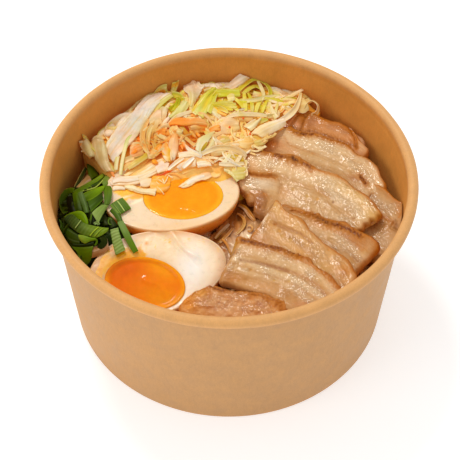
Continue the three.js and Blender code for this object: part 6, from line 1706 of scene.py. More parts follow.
        R([(x0, y0, .4), ((x0 + x1) / 2, (y0 + y1) / 2, 1.2), (x1, y1, .4)], w, c0, n=12, cup=.15, roll=25 * math.sin(j * 2.1), seed=190 + j)
    # pieces that hang over the rear egg
    E = 'b'
    F_ = dict(bulge=.35, wave=.3, th=.4, edge=(252, 206, 120))
    Lf([(122.5, 175.5, .8, E), (135, 166.4, 1.4, E), (145, 157.3, 2.6, E), (153.5, 149, 1.6)], [(127, 177, .6, E), (138.5, 169.5, 1.4, E), (149, 160.5, 2.6, E), (158, 151, 1.6)], (250, 232, 190), (252, 226, 176), n=30, m_=8, fold=.3, seed=210, **F_)
    Lf([(132, 177.5, 1.2, E), (143, 168.5, 2.0, E), (155, 161.5, 3.0, E), (163, 158.5, 3.4, E)], [(137, 180, 1.0, E), (148, 174, 1.8, E), (158, 168, 2.6, E), (166, 164, 3.0, E)], (250, 232, 196), (252, 228, 188), n=30, m_=10, fold=.25, seed=208, **F_)
    Lf([(110, 182, 1.0, E), (117, 176.8, 1.8, E), (126, 175.8, 2.0, E), (135, 175.6, 2.2, E), (144, 173.5, 2.4, E), (156, 166.5, 3.0, E)],
       [(111.5, 185.5, .7, E), (119.6, 185.6, 1.2, E), (128, 185.6, 1.2, E), (137.5, 184.2, 1.4, E), (146, 179.5, 1.8, E), (157, 173.4, 2.2, E)], (250, 234, 206), (252, 230, 190), n=44, m_=12, fold=.22, ragged=.1, seed=211, **F_)
    Lf([(112, 181, 1.8, E), (118, 178, 2.4, E), (128, 178.5, 2.6, E), (138, 176.5, 2.6, E)], [(113, 184, 1.6, E), (120, 182.5, 2.2, E), (129, 182.5, 2.2, E), (139, 180.5, 2.2, E)], (250, 232, 204), n=26, m_=8, fold=.1, ragged=.1, seed=209, **F_)
    Lf([(154.5, 167, 3.0, E), (162.6, 159.8, 3.8, E), (169.5, 163.5, 3.4, E)], [(158, 174, 2.0, E), (162.5, 172, 2.4, E), (167.5, 170.5, 2.6, E)], (254, 228, 206), (254, 232, 212), n=18, m_=10, fold=.25, seed=212, **F_)
    Lf([(165, 171, 2.4, E), (172, 164, 1.2, 'c'), (178.5, 158.5, 1.6, 'c'), (187, 155, 1.8, 'c'), (197, 154.6, 1.8, 'c'), (206, 156.6, 1.6, 'c'), (214.5, 162.5, 1.2, 'c')],
       [(170, 172.6, 1.8, E), (178, 173, 2.0, E), (184.8, 172.6, 2.2, E), (191, 169, 2.8, E), (198, 168.6, 2.8, E), (205, 167.6, 3.0, E), (213, 167, 3.0, E)], (250, 230, 194), (250, 224, 180), n=46, m_=16, fold=.35, ragged=.12, seed=213, **F_)
    Lf([(176, 167, 1.8, 'c'), (185, 161, 2.2, 'c'), (196, 159.5, 2.4, 'c')], [(181, 171.5, 3.2, E), (189, 168.6, 4.0, E), (196, 166.5, 1.6, 'c')], (252, 234, 204), (250, 226, 188), n=24, m_=10, fold=.25, ragged=.1, seed=207, **F_)
    Lf([(196, 160, 2.2, 'c'), (203, 158.5, 2.4, 'c'), (210, 161.5, 2.0, 'c')], [(198, 168, 1.6, 'c'), (204, 166.5, 1.8, 'c'), (212, 166.5, 1.6, 'c')], (255, 242, 214), (254, 232, 196), n=20, m_=10, fold=.4, ragged=.2, seed=206, **F_)
    Lf([(181, 171.8, 2.0, E), (187, 168.6, 2.6, E), (196, 167, 2.8, E)], [(183, 174.4, 1.4, E), (190, 172, 1.8, E), (197, 169.6, 2.2, E)], (255, 250, 236), n=18, m_=8, fold=.3, seed=214, **F_)
    R([(183, 168, 2.2, 'c'), (188, 163, 2.6, 'c'), (194, 157.5, 2.8, 'c')], [2.4, 4, 2], (255, 244, 224), n=14, cup=.2, seed=215)
    R([(168, 170, 1.6, 'c'), (176, 163, 2.2, 'c'), (184, 158, 2.6, 'c')], [2, 3.4, 2], (255, 242, 214), n=18, cup=.2, seed=216)
    Lf([(127, 166, .8), (136, 160, 1.2), (146, 152.5, 1.2)], [(129, 170, .6), (138, 165, 1.0), (148.5, 157.5, 1.0)], (236, 206, 120), (206, 174, 60), n=20, m_=8, seed=205)
    Lf([(178, 153, 1.4), (188, 151.5, 1.8), (199, 153.5, 1.8)], [(180, 159, 1.2), (190, 157, 1.6), (201, 158.5, 1.6)], (254, 238, 206), (250, 224, 176), n=20, m_=8, fold=.4, seed=204)
    a = np.linspace(0, 2 * np.pi, 9)[:-1]
    cc = plane_hit([(215.5, 170, 1.2)], EGGS['back'])[0]
    th_ = np.linspace(0, 2 * np.pi, 33)[:-1]
    disc = np.stack([cc + np.stack([3.1 * r_ * np.cos(th_), 4.0 * r_ * np.sin(th_), 0.5 * (1 - r_ ** 2) + 0.12 * np.sin(3 * th_ + r_ * 4)], -1) for r_ in np.linspace(0.04, 1, 9)])
    under = disc[::-1].copy()
    under[..., 2] -= 0.6
    loft(c, np.concatenate([disc, under]), lin(246, 204, 138), 0.3)
    Lf([(178.5, 187, .8, E), (184, 182.5, 1.3, E), (191.4, 177, 1.8, E), (200, 174.6, 2.0, E), (204.4, 172, 2.2, E), (209, 171.6, 2.2, E)],
       [(183, 188, .6, E), (189, 187, .9, E), (195.5, 182.8, 1.2, E), (201.8, 180.4, 1.4, E), (206, 180, 1.4, E), (212, 177, 1.5, E)], (255, 226, 180), (252, 216, 164), n=40, m_=12, fold=.28, ragged=.2, seed=217, **F_)
    Lf([(186, 183, 1.6, E), (193, 178.5, 2.0, E), (203, 175, 2.4, E)], [(188, 185.5, 1.4, E), (196, 181, 1.6, E), (205, 177.5, 2.0, E)], (255, 242, 214), n=20, m_=8, fold=.3, ragged=.2, seed=203, **F_)
    rib(k, E, [(157, 174.6, 2.2), (162, 175.2, 2.2), (166.5, 172.4, 2.6), (170, 171.2, 2.8), (175.5, 171.4, 2.6)], [1.8, 2.2, 2.4, 2.0, 1.2], (206, 60, 8), (226, 90, 16), n=18, seed=218)
    rib(k, E, [(164.5, 178, 1.8), (167, 174.8, 2.4), (172, 173.6, 2.6), (177, 175, 2.2), (181, 177.8, 1.4)], [1.2, 1.5, 1.6, 1.5, 1.0], (252, 190, 120), (250, 176, 90), n=20, seed=219)
    Lf([(152, 176, 1.8, E), (159, 174.5, 2.2, E), (166, 175.5, 1.8, E), (171, 178, 1.4, E)], [(150, 190, .6, E), (156, 193, .7, E), (163, 193.5, .7, E), (170, 188, .6, E)], (252, 186, 70), (250, 170, 40), n=26, m_=12, bulge=.3, wave=.9, th=.4, fold=.7, ragged=.3, seed=202)
    for j, (x0, y0, x1, y1) in enumerate([(158, 179.5, 165, 184.5), (162, 178, 164, 184), (164, 184, 168, 175.5), (157.3, 187, 164, 194.4), (155, 181, 160, 186), (168, 175.5, 173, 178)]):
        R([(x0, y0, 1.9, E), ((x0 + x1) / 2 + .6, (y0 + y1) / 2, 2.2, E), (x1, y1, 1.3, E)], 1.0, (255, 226, 160), n=8, m_=2, th=.3, seed=220 + j)
    Lf([(139.5, 182, 1.6, E), (144, 178.6, 2.2, E), (151.5, 178.6, 2.0, E)], [(141, 186.3, .9, E), (146, 187, 1.2, E), (151, 185.4, 1.0, E)], (252, 232, 196), (252, 226, 180), n=16, m_=10, fold=.25, ragged=.1, seed=230, **F_)
    Lf([(124, 186, .8, E), (131.3, 184.6, 1.2, E), (139, 188, 1.3, E), (148.3, 189, 1.4, E), (157, 188.4, 1.2, E)], [(126, 189, .5, E), (130, 190.5, .6, E), (139, 193.2, .7, E), (148.3, 194.6, .8, E), (155, 196, .6, E)],
       (254, 238, 190), (254, 230, 176), n=30, m_=10, fold=.5, ragged=.2, seed=231, **F_)
    Lf([(113, 187, .6, E), (119, 186, .8, E), (126, 187.5, .8, E)], [(113, 191, .4, E), (119, 190, .5, E), (125, 190, .5, E)], (254, 240, 206), n=14, m_=8, fold=.4, ragged=.2, seed=232, **F_)
    # red specks of dressing
    for j, (x, y, dz) in enumerate([(229.5, 127, 3.4), (235.6, 126.2, 3.4), (243.3, 118.2, 3.2), (250, 134, 2.8), (226, 136, 2.2), (164, 142, 2.0), (197, 128, 2.8)]):
        lump(k, lay('c', [(x, y, dz)])[0], (0.9, 1.1, 0.5), lin(232, 90, 24), seed=j, n=6, k=10)
    Lf([(188, 126, 1.4), (195, 123, 1.8), (203, 124.5, 1.6), (208, 127, 1.0)], [(190, 132, 1.0), (197, 133, 1.2), (203, 131, 1.2), (208, 129, 1.0)], (250, 206, 146), (242, 150, 60), n=24, m_=12, bulge=.7, wave=.6, fold=.5, seed=240)
    Lf([(190, 127, 2.4), (195, 125, 2.6), (200, 127, 2.4)], [(191, 130, 2.2), (196, 130, 2.4), (200, 130, 2.2)], (255, 232, 196), (250, 200, 130), n=16, m_=8, bulge=.6, wave=.4, seed=241)
    Lf([(204, 134, 1.6), (211, 128, 2.0), (219, 125, 2.0)], [(208, 137, 1.2), (215, 133, 1.6), (221, 129, 1.6)], (236, 128, 40), (246, 168, 90), n=18, m_=8, bulge=.5, wave=.4, fold=.4, seed=242)
    leaf(k, 'c', [(157.5, 131, 1.4), (163, 129, 1.8), (166.5, 130, 1.6)], [(159, 138, 1.0), (163, 138, 1.2), (166, 135, 1.2)], (226, 110, 30), (244, 150, 70), n=16, m_=8, bulge=.6, seed=243)
    leaf(k, 'c', [(133, 148, 1.4), (140, 145, 1.6), (143, 147, 1.2)], [(131, 156, .8), (137, 154, 1.0), (141, 151, 1.0)], (240, 150, 84), (246, 180, 124), n=18, m_=8, bulge=.5, seed=244)
    Lf([(150, 117, 1.8), (156, 111, 2.2), (161, 110, 2.0)], [(150, 131, 1.4), (156, 127, 1.8), (162, 122, 1.8)], (246, 214, 170), (244, 206, 160), n=22, m_=10, bulge=.5, fold=.4, seed=245)
    R([(149, 119, 2.4), (144.5, 127, 2.8), (142.5, 137, 2.8), (144.5, 147, 2.2), (149, 154, 1.6)], [3.6, 5, 5, 4.4, 2.4], (246, 204, 140), (250, 220, 172), n=34, cup=.2, seed=246, edge=(250, 226, 180))
    R([(153, 125, 2.2), (149, 133, 2.4), (148, 142, 2.2), (149, 150, 1.6)], [3, 4, 3.6, 2], (252, 226, 186), (248, 208, 150), n=28, cup=.2, seed=247)
    R([(147, 149, 1.4), (157, 144.5, 2.0), (166, 141, 2.2), (173, 139.5, 1.8)], [1.6, 1.8, 1.8, 1.2], (246, 208, 130), n=22, seed=248)
    Lf([(162, 146, 1.8), (165.5, 143, 2.2), (168, 145, 2.2)], [(163, 156, 1.2), (168, 162, 1.2), (172, 156, 1.6)], (254, 232, 196), (255, 196, 60), n=20, m_=8, seed=249)
    leaf(k, 'c', [(153, 148, 1.2), (159, 144, 1.6), (163, 146, 1.4)], [(154, 155, .8), (158, 153, 1.0), (162, 152, 1.0)], (250, 176, 50), (240, 150, 30), n=16, m_=8, bulge=.4, seed=250)
    # painted shade among the shreds, by depth
    paint_depth_shade((c, k, loose))
    loose.make('cabbage_shreds', M_CABB, 'cabbage', ('cabbage_heap',))
    c.make('cabbage_leaves', M_CABB, 'cabbage', ('cabbage_heap',))
    k.make('carrot_shreds', M_CARR, 'cabbage', ('cabbage_heap',))


make_cabbage()

DG, MG, BG, GG, PG = (38, 46, 0), (62, 76, 1), (112, 130, 6), (70, 84, 30), (140, 156, 98)


def make_onion():
    b = Batch()
    rs = np.random.RandomState(9)
    cx, cy = SCALLION['centre']
    for i in range(110):
        a = rs.uniform(0, 2 * math.pi)
        r = float(heap_reach(SCALLION, np.array(a))) * math.sqrt(rs.uniform(0, 1)) * 0.96
        x, y = cx + r * math.cos(a), cy + r * math.sin(a)
        hd, ln = rs.uniform(0, math.pi), rs.uniform(8, 17)
        dz = rs.uniform(-2.6, -0.6)
        pts = [(x + q * ln * math.cos(hd + .3 * q), y + q * ln * math.sin(hd + .3 * q),
                float(heap_top(SCALLION, x + q * ln * math.cos(hd), y + q * ln * math.sin(hd))) + dz + rs.uniform(-.6, .6)) for q in (-.5, -.17, .17, .5)]
        g = ribbon_grid(keep_inside(pts, 1.5), rs.uniform(3.0, 6.0), n=12, m_=5, roll=rs.uniform(-50, 50, 4), cup=rs.uniform(-.35, .35), seed=i)
        c1 = MG if rs.rand() < .4 else DG
        q = to_px(g)
        bare = (q[..., 1] < 193 - 1.25 * (q[..., 0] - 66)) | ((q[..., 0] > 92) & (q[..., 1] > 242))
        if q[..., 0].max() < 111 and not bare.any():     # none on the egg's white, none up the wall
            sheet(b, g, 0.3, tone(g, DG, c1, i, .15, lines=.25, blush=0), .3)
    S = lambda *a_, **b_: rib(b, 's', *a_, **dict(dict(lines=.22, m_=8, th=.35), **b_))
    Lf = lambda *a_, **b_: leaf(b, 's', *a_, **dict(dict(lines=.22, th=.35, ragged=.06, fold=.08, wave=.15, bulge=.4), **b_))
    # rear: tall strip, dark sliver, strip up the wall, pale piece
    Lf([(87.6, 160.5, 1.5), (87.2, 169, 1.2), (90.5, 180, .8)], [(92.3, 159.5, 1.5), (95.3, 169, 1.2), (99, 176, .8)], MG, MG, n=16, seed=1, lines=(.2, 5, 0, 0))
    Lf([(92.5, 161.5, .5), (95, 168, .5), (98, 175.5, .2)], [(97, 162, .3), (98.3, 168, .3), (98.8, 175, .2)], (22, 44, 4), DG, n=12, seed=2)
    S([(86, 168, 1.0), (80.5, 178, .8), (74.5, 188, .4)], [3, 4, 2], (44, 52, 20), (58, 62, 30), roll=50, n=14, seed=3, edge=(150, 130, 90))
    Lf([(76, 187.5, .3), (82, 181, .5), (88, 174.5, .6)], [(80, 188.5, .3), (86, 185, .4), (91.5, 180.5, .5)], (150, 114, 74), (138, 104, 62), n=10, m_=6, seed=4, lines=0)
    # folded leaf across the top: upper flap, its inside, its rim, its pale right end, specks, lower flap
    Lf([(73.5, 191, .4), (82, 186, 1.4), (91, 181, 2.2), (104, 173, 3.0)], [(74.5, 196, .6), (83.5, 191.3, 1.4), (95, 187.5, 1.8), (106.5, 175.8, 2.6)], (70, 96, 4), (116, 142, 24), n=26, m_=10, seed=5, edge=(120, 146, 30), lines=(.15, 5, 0, 0))
    Lf([(90, 185.6, 2.3), (98, 181, 3.0), (105.2, 174.2, 3.3)], [(92.5, 187.6, 2.3), (100, 183.6, 2.9), (106, 175.6, 3.3)], (44, 64, 0), (66, 92, 2), n=20, m_=6, bulge=-.2, seed=36)
    S([(83, 191, 2.2), (89, 189.5, 2.7), (95.5, 187.2, 3.2), (101.8, 181.4, 3.6), (106, 175.2, 3.8)], [.9, 1.1, 1.1, 1.1, .9], (158, 172, 96), n=26, m_=3, th=.22, seed=43, lines=.05)
    Lf([(101.5, 183, 2.8), (104, 178.5, 3.2), (107, 174, 3.2)], [(104.5, 187.5, 2.4), (108, 184, 2.6), (110.4, 180, 2.6)], (104, 128, 58), (128, 150, 84), n=16, m_=12, seed=6, edge=(110, 140, 20), lines=(.16, 6, 0, 0))
    for x_, y_ in ((85.4, 189.7), (89.6, 187.9), (93.2, 186.5)):
        S([(x_ - 1.1, y_ + .5, 3.0), (x_ + 1.1, y_ - .4, 3.2)], 1.3, (44, 44, 14), n=6, m_=3, th=.2, seed=44, lines=.05)
    Lf([(79.5, 195.5, 1.4), (90, 190.8, 2.4), (104.3, 185.5, 2.8)], [(86.3, 201.5, .9), (95.5, 197.3, 1.7), (103.6, 189.8, 2.2)], (78, 104, 2), (118, 152, 6), n=24, m_=12, bulge=.6, seed=7, edge=(142, 168, 50), lines=(.14, 5, 0, 0))
    Lf([(87.5, 201.8, 1.0), (94, 197.7, 1.6), (102, 192, 1.8)], [(91, 212.5, .6), (97, 206.5, 1.0), (103.2, 199.8, 1.2)], (56, 84, 0), (40, 60, 2), n=18, m_=9, seed=12, edge=(92, 130, 20), lines=(.2, 5, 0, 0))
    Lf([(103.4, 187, 1.9), (104, 197, 1.5), (104.5, 205.5, 1.0)], [(111.2, 187, 1.7), (111.9, 196, 1.5), (108.9, 205.5, 1.0)], (84, 112, 10), (84, 112, 50), n=18, m_=12, bulge=.6, seed=8, edge=(106, 134, 84), lines=(.22, 5, 0, 0))
    # left loop, a near-black sheet as its inside that is painted shade, and the strips in its middle
    S([(74, 190.5, 1.2), (68, 191.5, 1.4), (63.3, 197, 1.4), (62.2, 205, 1.2), (66, 213, 1.0)], [4, 5.5, 6, 5.5, 5], (70, 92, 0), (46, 64, 0), roll=[0, 20, 30, 30, 20], n=28, seed=9, edge=(104, 122, 10))
    # near-black sheet: painted shade inside the loop
    Lf([(66.5, 198, .2), (67, 205, .2), (68, 213, .2)], [(72.5, 196, .2), (74, 205, .2), (77, 213, .2)], (3, 4, 0), (5, 7, 0), n=10, seed=37)
    Lf([(72.7, 193.5, .9), (73.8, 203, .9), (75.8, 211.5, .6)], [(79.5, 192.8, 1.4), (81, 202, 1.3), (83, 211.5, 1.0)], (72, 98, 0), (42, 60, 0), n=16, seed=10, edge=(60, 88, 0))
    S([(80.3, 192.2, 2.5), (82.5, 199, 2.7), (85, 206, 2.3), (86.8, 213, 1.7)], [4.2, 4.8, 4.8, 4.2], (80, 102, 66), (62, 88, 30), n=20, cup=-.1, seed=11, lines=(.12, 3, 0, 0))
    # pale folded piece, a near-black sheet as its inside that is painted shade, its rim and a pale curl below
    # near-black sheet: painted shade inside the fold
    Lf([(91.2, 214.8, 1.2), (91.2, 219.5, 1.0), (91, 224.5, .6)], [(95, 217, 1.2), (97, 220.5, 1.0), (97.5, 224.5, .6)], (8, 12, 0), (14, 20, 2), n=10, seed=38)
    Lf([(91.6, 213.3, 2.4), (96, 209, 2.8), (101.8, 205.2, 2.6)], [(98.2, 224, 2.0), (102, 216, 2.4), (108.2, 205.8, 2.4)], (132, 156, 104), (122, 148, 86), n=20, m_=20, bulge=.5, seed=13, lines=(.26, 6, 0, 0))
    S([(91.5, 214.3, 1.9), (91, 219, 1.5), (90.2, 224.8, 1.1)], [1.2, 1.5, 1.2], (88, 122, 30), DG, n=12, m_=3, seed=14)
    S([(94.4, 224.4, 1.7), (97, 222.8, 2.0), (98.8, 225, 1.7)], 2.4, (132, 158, 116), n=10, m_=5, cup=.3, seed=39)
    # broad strip across the middle: bright turned-up flap, then the flat band with its crosswise veins
    Lf([(64.5, 216.8, 1.6), (72.5, 212.4, 2.4), (81.5, 211.4, 2.6), (86.4, 216.2, 2.4), (88, 224.3, 1.9)], [(66, 219.5, 1.5), (73, 217, 1.8), (79, 219.3, 1.8), (83, 222.3, 1.8), (86.3, 225, 1.8)], (84, 112, 0), (104, 138, 0), n=30, m_=8, seed=15, edge=(142, 168, 10))
    Lf([(64.2, 217.6, 1.8), (71.8, 214.3, 2.7), (77.5, 218.6, 2.9), (85, 223.4, 3.0), (96, 226.2, 3.0), (108.8, 228.2, 2.9)],
       [(66, 221.6, 1.4), (73.4, 229.3, 2.3), (81, 234.2, 2.4), (89, 236.5, 2.4), (97.5, 237.4, 2.4), (108.3, 230.4, 2.7)], (46, 66, 36), (104, 130, 24), n=56, m_=12, bulge=.4, wave=.1, seed=16, lines=(.055, 15, 1, .06))
    S([(75.2, 228, 3.5), (78, 224.2, 3.9), (80.9, 220.3, 3.8)], .8, (158, 178, 130), n=10, m_=3, th=.22, seed=17, lines=.05)
    S([(89.8, 236, 3.3), (94, 231, 3.7), (98.6, 227, 3.6)], .9, (160, 184, 60), n=10, m_=3, th=.22, seed=18, lines=.05)
    S([(94.4, 236.5, 3.2), (98, 232.4, 3.5), (102.6, 228.2, 3.4)], .7, (150, 178, 60), n=10, m_=3, th=.22, seed=45, lines=.05)
    # lower left leaf, curls, bottom leaf, dark loop, and what is pale under them
    Lf([(58.5, 219, .6), (64, 224.5, 1.0), (71, 229.5, 1.2), (80, 235, 1.0)], [(60, 229, .4), (66, 237, .6), (72, 243.5, .6), (80, 245, .6)], (56, 78, 8), (46, 64, 2), n=24, m_=9, bulge=.7, seed=19, lines=(.15, 5, 0, 0))
    Lf([(78.4, 234.8, 2.0), (84, 235.6, 2.7), (90, 237.6, 2.7), (95.6, 238.4, 2.5)], [(79.5, 239, 1.8), (84.8, 243.6, 2.1), (90, 241.4, 2.3), (95.9, 240.3, 2.3)], (124, 150, 56), (92, 126, 6), n=22, m_=9, seed=20, edge=(134, 166, 40))
    S([(95.6, 238.8, 2.5), (96.8, 242, 2.1), (94.6, 245.6, 1.7)], [1.5, 1.8, 1.5], (72, 102, 0), n=14, m_=4, seed=46)
    Lf([(73, 243.4, 1.1), (84, 244, 1.5), (94.5, 241, 1.7)], [(72, 246.6, .9), (83, 247, 1.1), (94, 246, 1.3)], (28, 40, 0), (22, 32, 0), n=16, seed=40)
    Lf([(71.3, 245.6, 1.0), (82, 246.2, 1.3), (93.4, 245.4, 1.3)], [(80, 258, .5), (86, 265, .3), (92, 256.5, .6)], (76, 104, 0), (88, 116, 4), n=22, m_=14, bulge=.6, seed=21, lines=(.12, 5, 0, 0))
    S([(96.3, 237.6, 1.5), (101.5, 237, 1.7), (104.2, 241.5, 1.5), (101.5, 246, 1.3), (97.5, 246, 1.1)], [3.5, 5, 6, 5, 4], DG, (30, 44, 2), n=22, roll=20, seed=22)
    S([(104, 206, 1.2), (100, 214, .8), (99, 222, .4)], 6, DG, (28, 52, 4), n=16, seed=23)
    Lf([(93, 247, .4), (99, 245, .5), (107, 238.5, .5)], [(91, 258, .2), (98, 256, .2), (109, 248.5, .3)], (150, 112, 66), (186, 150, 112), n=14, m_=8, seed=41, lines=0)
    # on the eggs: square piece with lengthwise veins, the strips below it, a small curl, the ribbed piece
    Lf([(110, 205.3, 1.5, 'b'), (114.5, 210.2, 1.9, 'b'), (119.8, 215.2, 1.1, 'b')], [(122.4, 197.8, 1.5, 'b'), (127, 202.8, 1.8, 'b'), (131.2, 208.6, 1.1, 'b')], (88, 116, 60), (72, 102, 32), n=14, m_=22, bulge=.4, wave=.1, seed=24, lines=(.24, 6, 0, 0), edge=(124, 152, 56))
    S([(117.4, 201.0, 2.8, 'b'), (120.8, 205.4, 3.1, 'b'), (124.5, 211, 2.5, 'b')], .9, (184, 204, 150), n=12, m_=3, th=.22, seed=25, lines=.05)
    S([(113.4, 203.6, 2.7, 'b'), (116.8, 208, 3.0, 'b'), (120.6, 213.4, 2.4, 'b')], .6, (134, 160, 88), n=12, m_=3, th=.2, seed=47, lines=.05)
    S([(111.5, 209, 1.0, 'b'), (116, 213.5, 1.3, 'b'), (119.3, 219, 1.2, 'b'), (121.3, 225, .8, 'b')], [5, 5.2, 4.6, 4], (66, 94, 24), (62, 88, 14), n=18, cup=-.1, seed=26, lines=(.14, 3, 0, 0))
    S([(120.2, 221.5, 2.6, 'b'), (125.4, 232, 3.2, 'f'), (130.6, 242.5, 2.2, 'f'), (136, 252, 1.2, 'f')], [5.4, 5.8, 5.6, 4.8], (112, 138, 92), (90, 124, 20), n=26, cup=-.12, face=(0.1, -0.3, 0.9), seed=27, edge=(92, 134, 44), lines=(.12, 3, 0, 0))
    Lf([(107.5, 218, .8, 'b'), (109, 223, .9, 'b'), (111, 229, .7, 'b')], [(112, 217.5, 1.4, 'b'), (114.5, 221, 1.6, 'b'), (118.3, 226, .9, 'b')], (40, 56, 4), (30, 42, 4), n=12, m_=6, seed=28)
    S([(112, 220, 2.2, 'b'), (110, 218.4, 2.2, 'b'), (108.3, 221, 1.9, 'b'), (109.4, 224.3, 1.8, 'b'), (111.6, 224.2, 1.9, 'b')], .9, (80, 110, 34), n=18, m_=3, th=.22, seed=42, lines=.05)
    Lf([(110.2, 230, 3.0, 'f'), (112.4, 242, 2.2, 'f'), (115.8, 255.2, 1.3, 'f')], [(118.2, 227.8, 3.0, 'f'), (121.4, 239, 2.6, 'f'), (125.4, 250.2, 1.5, 'f')], (138, 160, 112), (132, 156, 100), n=52, m_=8, bulge=.25, wave=.1, seed=29, lines=(.17, 8, 1, .02), edge=(98, 140, 46))
    b.make('green_onion_pieces', M_SCAL, 'green_onion', ('scallion_heap',))


make_onion()

# --------------------------------------------------------------------------------------------------------- noodle bed

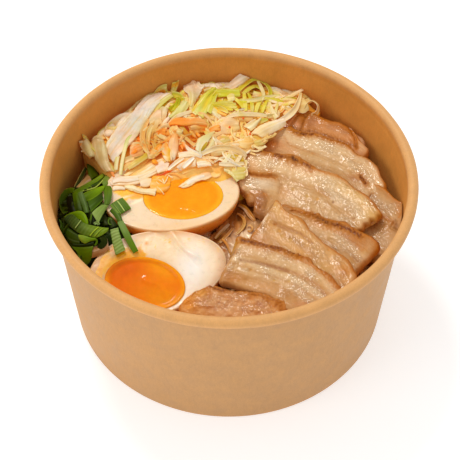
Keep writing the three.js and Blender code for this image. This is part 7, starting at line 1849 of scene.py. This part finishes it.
def make_noodles():
    rs = np.random.RandomState(11)
    b = Batch()
    rr = np.linspace(0.5, 1.0, 2)
    k, n = 160, 44
    a = 2 * np.pi * np.arange(k) / k
    rows = []
    R = float(inner_radius(BED['top'] - 2)) - 0.9
    for i in range(1, n + 1):
        r = R * i / n
        x, y = r * np.cos(a), r * np.sin(a)
        rows.append(xyz(x, y, bed_top(x, y) - 1.6 + 0.5 * NZ.fbm(xyz(x * 0.3, y * 0.3, 2.0), 2)))
    low = BOWL['floor_top'] + 0.6
    for f in (0.6, 0.2, 0.0):
        z = low + (rows[n - 1][:, 2] - low) * f
        r = inner_radius(z) - 0.9
        rows.append(xyz(r * np.cos(a), r * np.sin(a), z))
    g = np.array(rows)
    loft(b, g, mix(lin(170, 104, 36), lin(214, 160, 92), step(-0.3, 0.4, NZ.fbm(g * 0.2, 2))))
    for i in range(190):
        r0, a0 = 62 * math.sqrt(rs.rand()), rs.rand() * 2 * math.pi
        x, y, hd = r0 * math.cos(a0), r0 * math.sin(a0), rs.rand() * 2 * math.pi
        curve = rs.uniform(-0.16, 0.16)
        pts = []
        lift = rs.uniform(-1.0, 0.55)
        for j in range(9):
            z = float(bed_top(x, y)) + lift + 0.4 * math.sin(j * 1.7 + i)
            r = math.hypot(x, y)
            lim = float(inner_radius(z)) - 2.2
            if r > lim:
                x, y = x * lim / r, y * lim / r
                hd += 0.9
            pts.append((x, y, z))
            hd += curve + rs.uniform(-0.25, 0.25)
            x += 5.2 * math.cos(hd)
            y += 5.2 * math.sin(hd)
        tone = rs.rand()
        col = mix(lin(246, 208, 150), lin(216, 140, 56), tone)
        tube(b, pts, rs.uniform(0.8, 1.15), col, n=28, k=6)
    # the wet, clinging pile seen between the eggs and the pork: brown and golden behind, pale in front; the darkest
    # brown patches are partly painted shade, the pale patches partly painted highlight
    g = span_grid(at_px([(206, 242, 49.0), (220, 228, 49.2), (232, 212, 49.2), (242, 196, 48.6)]),
                  at_px([(222, 286, 49.5), (242, 262, 51.0), (257, 240, 52.0), (270, 210, 49.0)]), n=110, m_=84, bulge=.3, wave=.3, seed=401)
    q = to_px(g)
    nrm = grid_normals(g)
    nrm = nrm * np.sign(nrm[..., 2].mean())
    f1 = NY.fbm(xyz(q[..., 0] * 0.11 - q[..., 1] * 0.03, q[..., 1] * 0.06, 4.0), 2)
    g = g + nrm * (1.3 * np.abs(f1) + 0.5 * NZ.fbm(g * 0.3, 2) + 0.12 * NZ.fbm(g * 0.9, 2))[..., None]
    c = mix(lin(184, 118, 56), lin(156, 92, 36), step(-0.3, 0.3, f1))
    # dark brown patches: partly the pile's own colour, partly painted shade
    c = mix(c, lin(118, 60, 10), 0.95 * np.maximum(blob(q, 239, 213, 6, 11, 20, 3), blob(q, 248, 206, 8, 8, 0, 3)))
    c = mix(c, lin(122, 64, 12), 0.9 * np.maximum(blob(q, 231, 233, 3.5, 5, 0, 3), blob(q, 219, 240, 7, 4, -35, 3)))
    # pale patches: partly the pile's own colour, partly painted highlight
    c = mix(c, lin(246, 212, 170), 0.95 * np.maximum(blob(q, 247, 236, 13, 6, -14, 3), blob(q, 234, 258, 7, 20, 4, 3)))
    c = mix(c, lin(220, 174, 122), 0.7 * blob(q, 254, 225, 8, 5, -20, 3))
    c = mix(c, lin(200, 128, 48), 0.7 * blob(q, 240, 240, 3, 3, 0, 2))
    c = c * (1 + 0.05 * NY.fbm(xyz(q[..., 0] * 0.35, q[..., 1] * 0.14, 2.0), 2))[..., None]
    sheet(b, g, 0.5, c, .3)
    R = lambda *a_, **b_: rib(b, 'z', *a_, **dict(dict(th=.4, m_=6, cup=.25), **b_))
    R([(238.6, 205, 51.0), (245, 208.5, 51.4), (250, 215, 51.6), (255, 221, 51.4)], [3, 4, 4.4, 3], (164, 96, 26), (184, 120, 48), n=20, seed=403)
    R([(237, 213.5, 51.0), (243, 217.5, 51.6), (244.4, 224, 52.2), (240.5, 230.5, 52.4), (235, 235, 52.0)], [1.4, 2.6, 3.0, 2.6, 1.4], (192, 124, 54), (214, 156, 90), n=26, seed=404)
    R([(215, 238.5, 50.4), (222, 231, 50.8), (229, 224, 50.6)], [2.2, 3.0, 2.2], (184, 118, 52), (164, 100, 40), n=16, seed=405)
    R([(219, 243, 50.6), (227, 235.5, 51.2), (233, 228, 51.0)], [2.2, 2.8, 2.2], (198, 132, 62), (172, 106, 44), n=16, seed=406)
    R([(221.8, 239, 51.8), (226.4, 243.6, 52.6), (229, 249, 52.8), (230.6, 255, 52.4)], [1.2, 2.0, 2.0, 1.2], (214, 142, 58), (196, 126, 44), n=20, seed=408)
    R([(247.4, 226.6, 52.8), (250.4, 225.4, 53.2), (252.6, 228, 53.4), (250.6, 231.2, 53.4), (247.6, 230.6, 53.0)], [1.0, 1.6, 1.6, 1.6, 1.0], (236, 186, 120), (206, 138, 56), n=20, seed=411)
    R([(237.4, 240.5, 52.6), (241, 238.6, 53.2), (245, 238.8, 53.0)], [1.2, 2.0, 1.2], (202, 132, 52), (222, 166, 92), n=14, seed=412)
    return b.make('noodles', M_NOOD, 'noodle', ('noodle_bed',))


make_noodles()

# ---------------------------------------------------------------------------------------------- floor, light and ends

def make_stage():
    me = bpy.data.meshes.new('studio_floor')
    n = 24
    v = [(x * 3.0 / n - 1.5, y * 3.0 / n - 1.5, -0.0004) for y in range(n + 1) for x in range(n + 1)]
    f = [(y * (n + 1) + x, y * (n + 1) + x + 1, (y + 1) * (n + 1) + x + 1, (y + 1) * (n + 1) + x) for y in range(n) for x in range(n)]
    me.from_pydata(v, [], f)
    me.materials.append(M_FLOOR)
    ob = bpy.data.objects.new('studio_floor', me)
    bpy.context.scene.collection.objects.link(ob)


make_stage()


def area(name, loc, target, size, power, colour=(1, 1, 1)):
    d = bpy.data.lights.new(name, 'AREA')
    d.shape = 'DISK'
    d.size = size
    d.energy = power
    d.color = colour
    o = bpy.data.objects.new(name, d)
    bpy.context.scene.collection.objects.link(o)
    o.location = loc
    o.rotation_euler = (Vector(target) - Vector(loc)).to_track_quat('-Z', 'Y').to_euler()
    return o


area('key', (-0.29, 0.44, 1.01), (0, 0, 0.04), 0.26, 4.8, (1.0, 0.99, 0.975))
area('fill', (-1.05, -0.60, 0.80), (0, 0, 0.04), 0.8, 3.0, (1.0, 0.995, 0.985))
world = bpy.data.worlds.new('studio')
bpy.context.scene.world = world
world.use_nodes = True
world.node_tree.nodes['Background'].inputs[0].default_value = (1.0, 1.0, 1.0, 1)
world.node_tree.nodes['Background'].inputs[1].default_value = 0.70
bpy.context.scene.view_settings.view_transform = 'Standard'

bpy.context.view_layer.update()
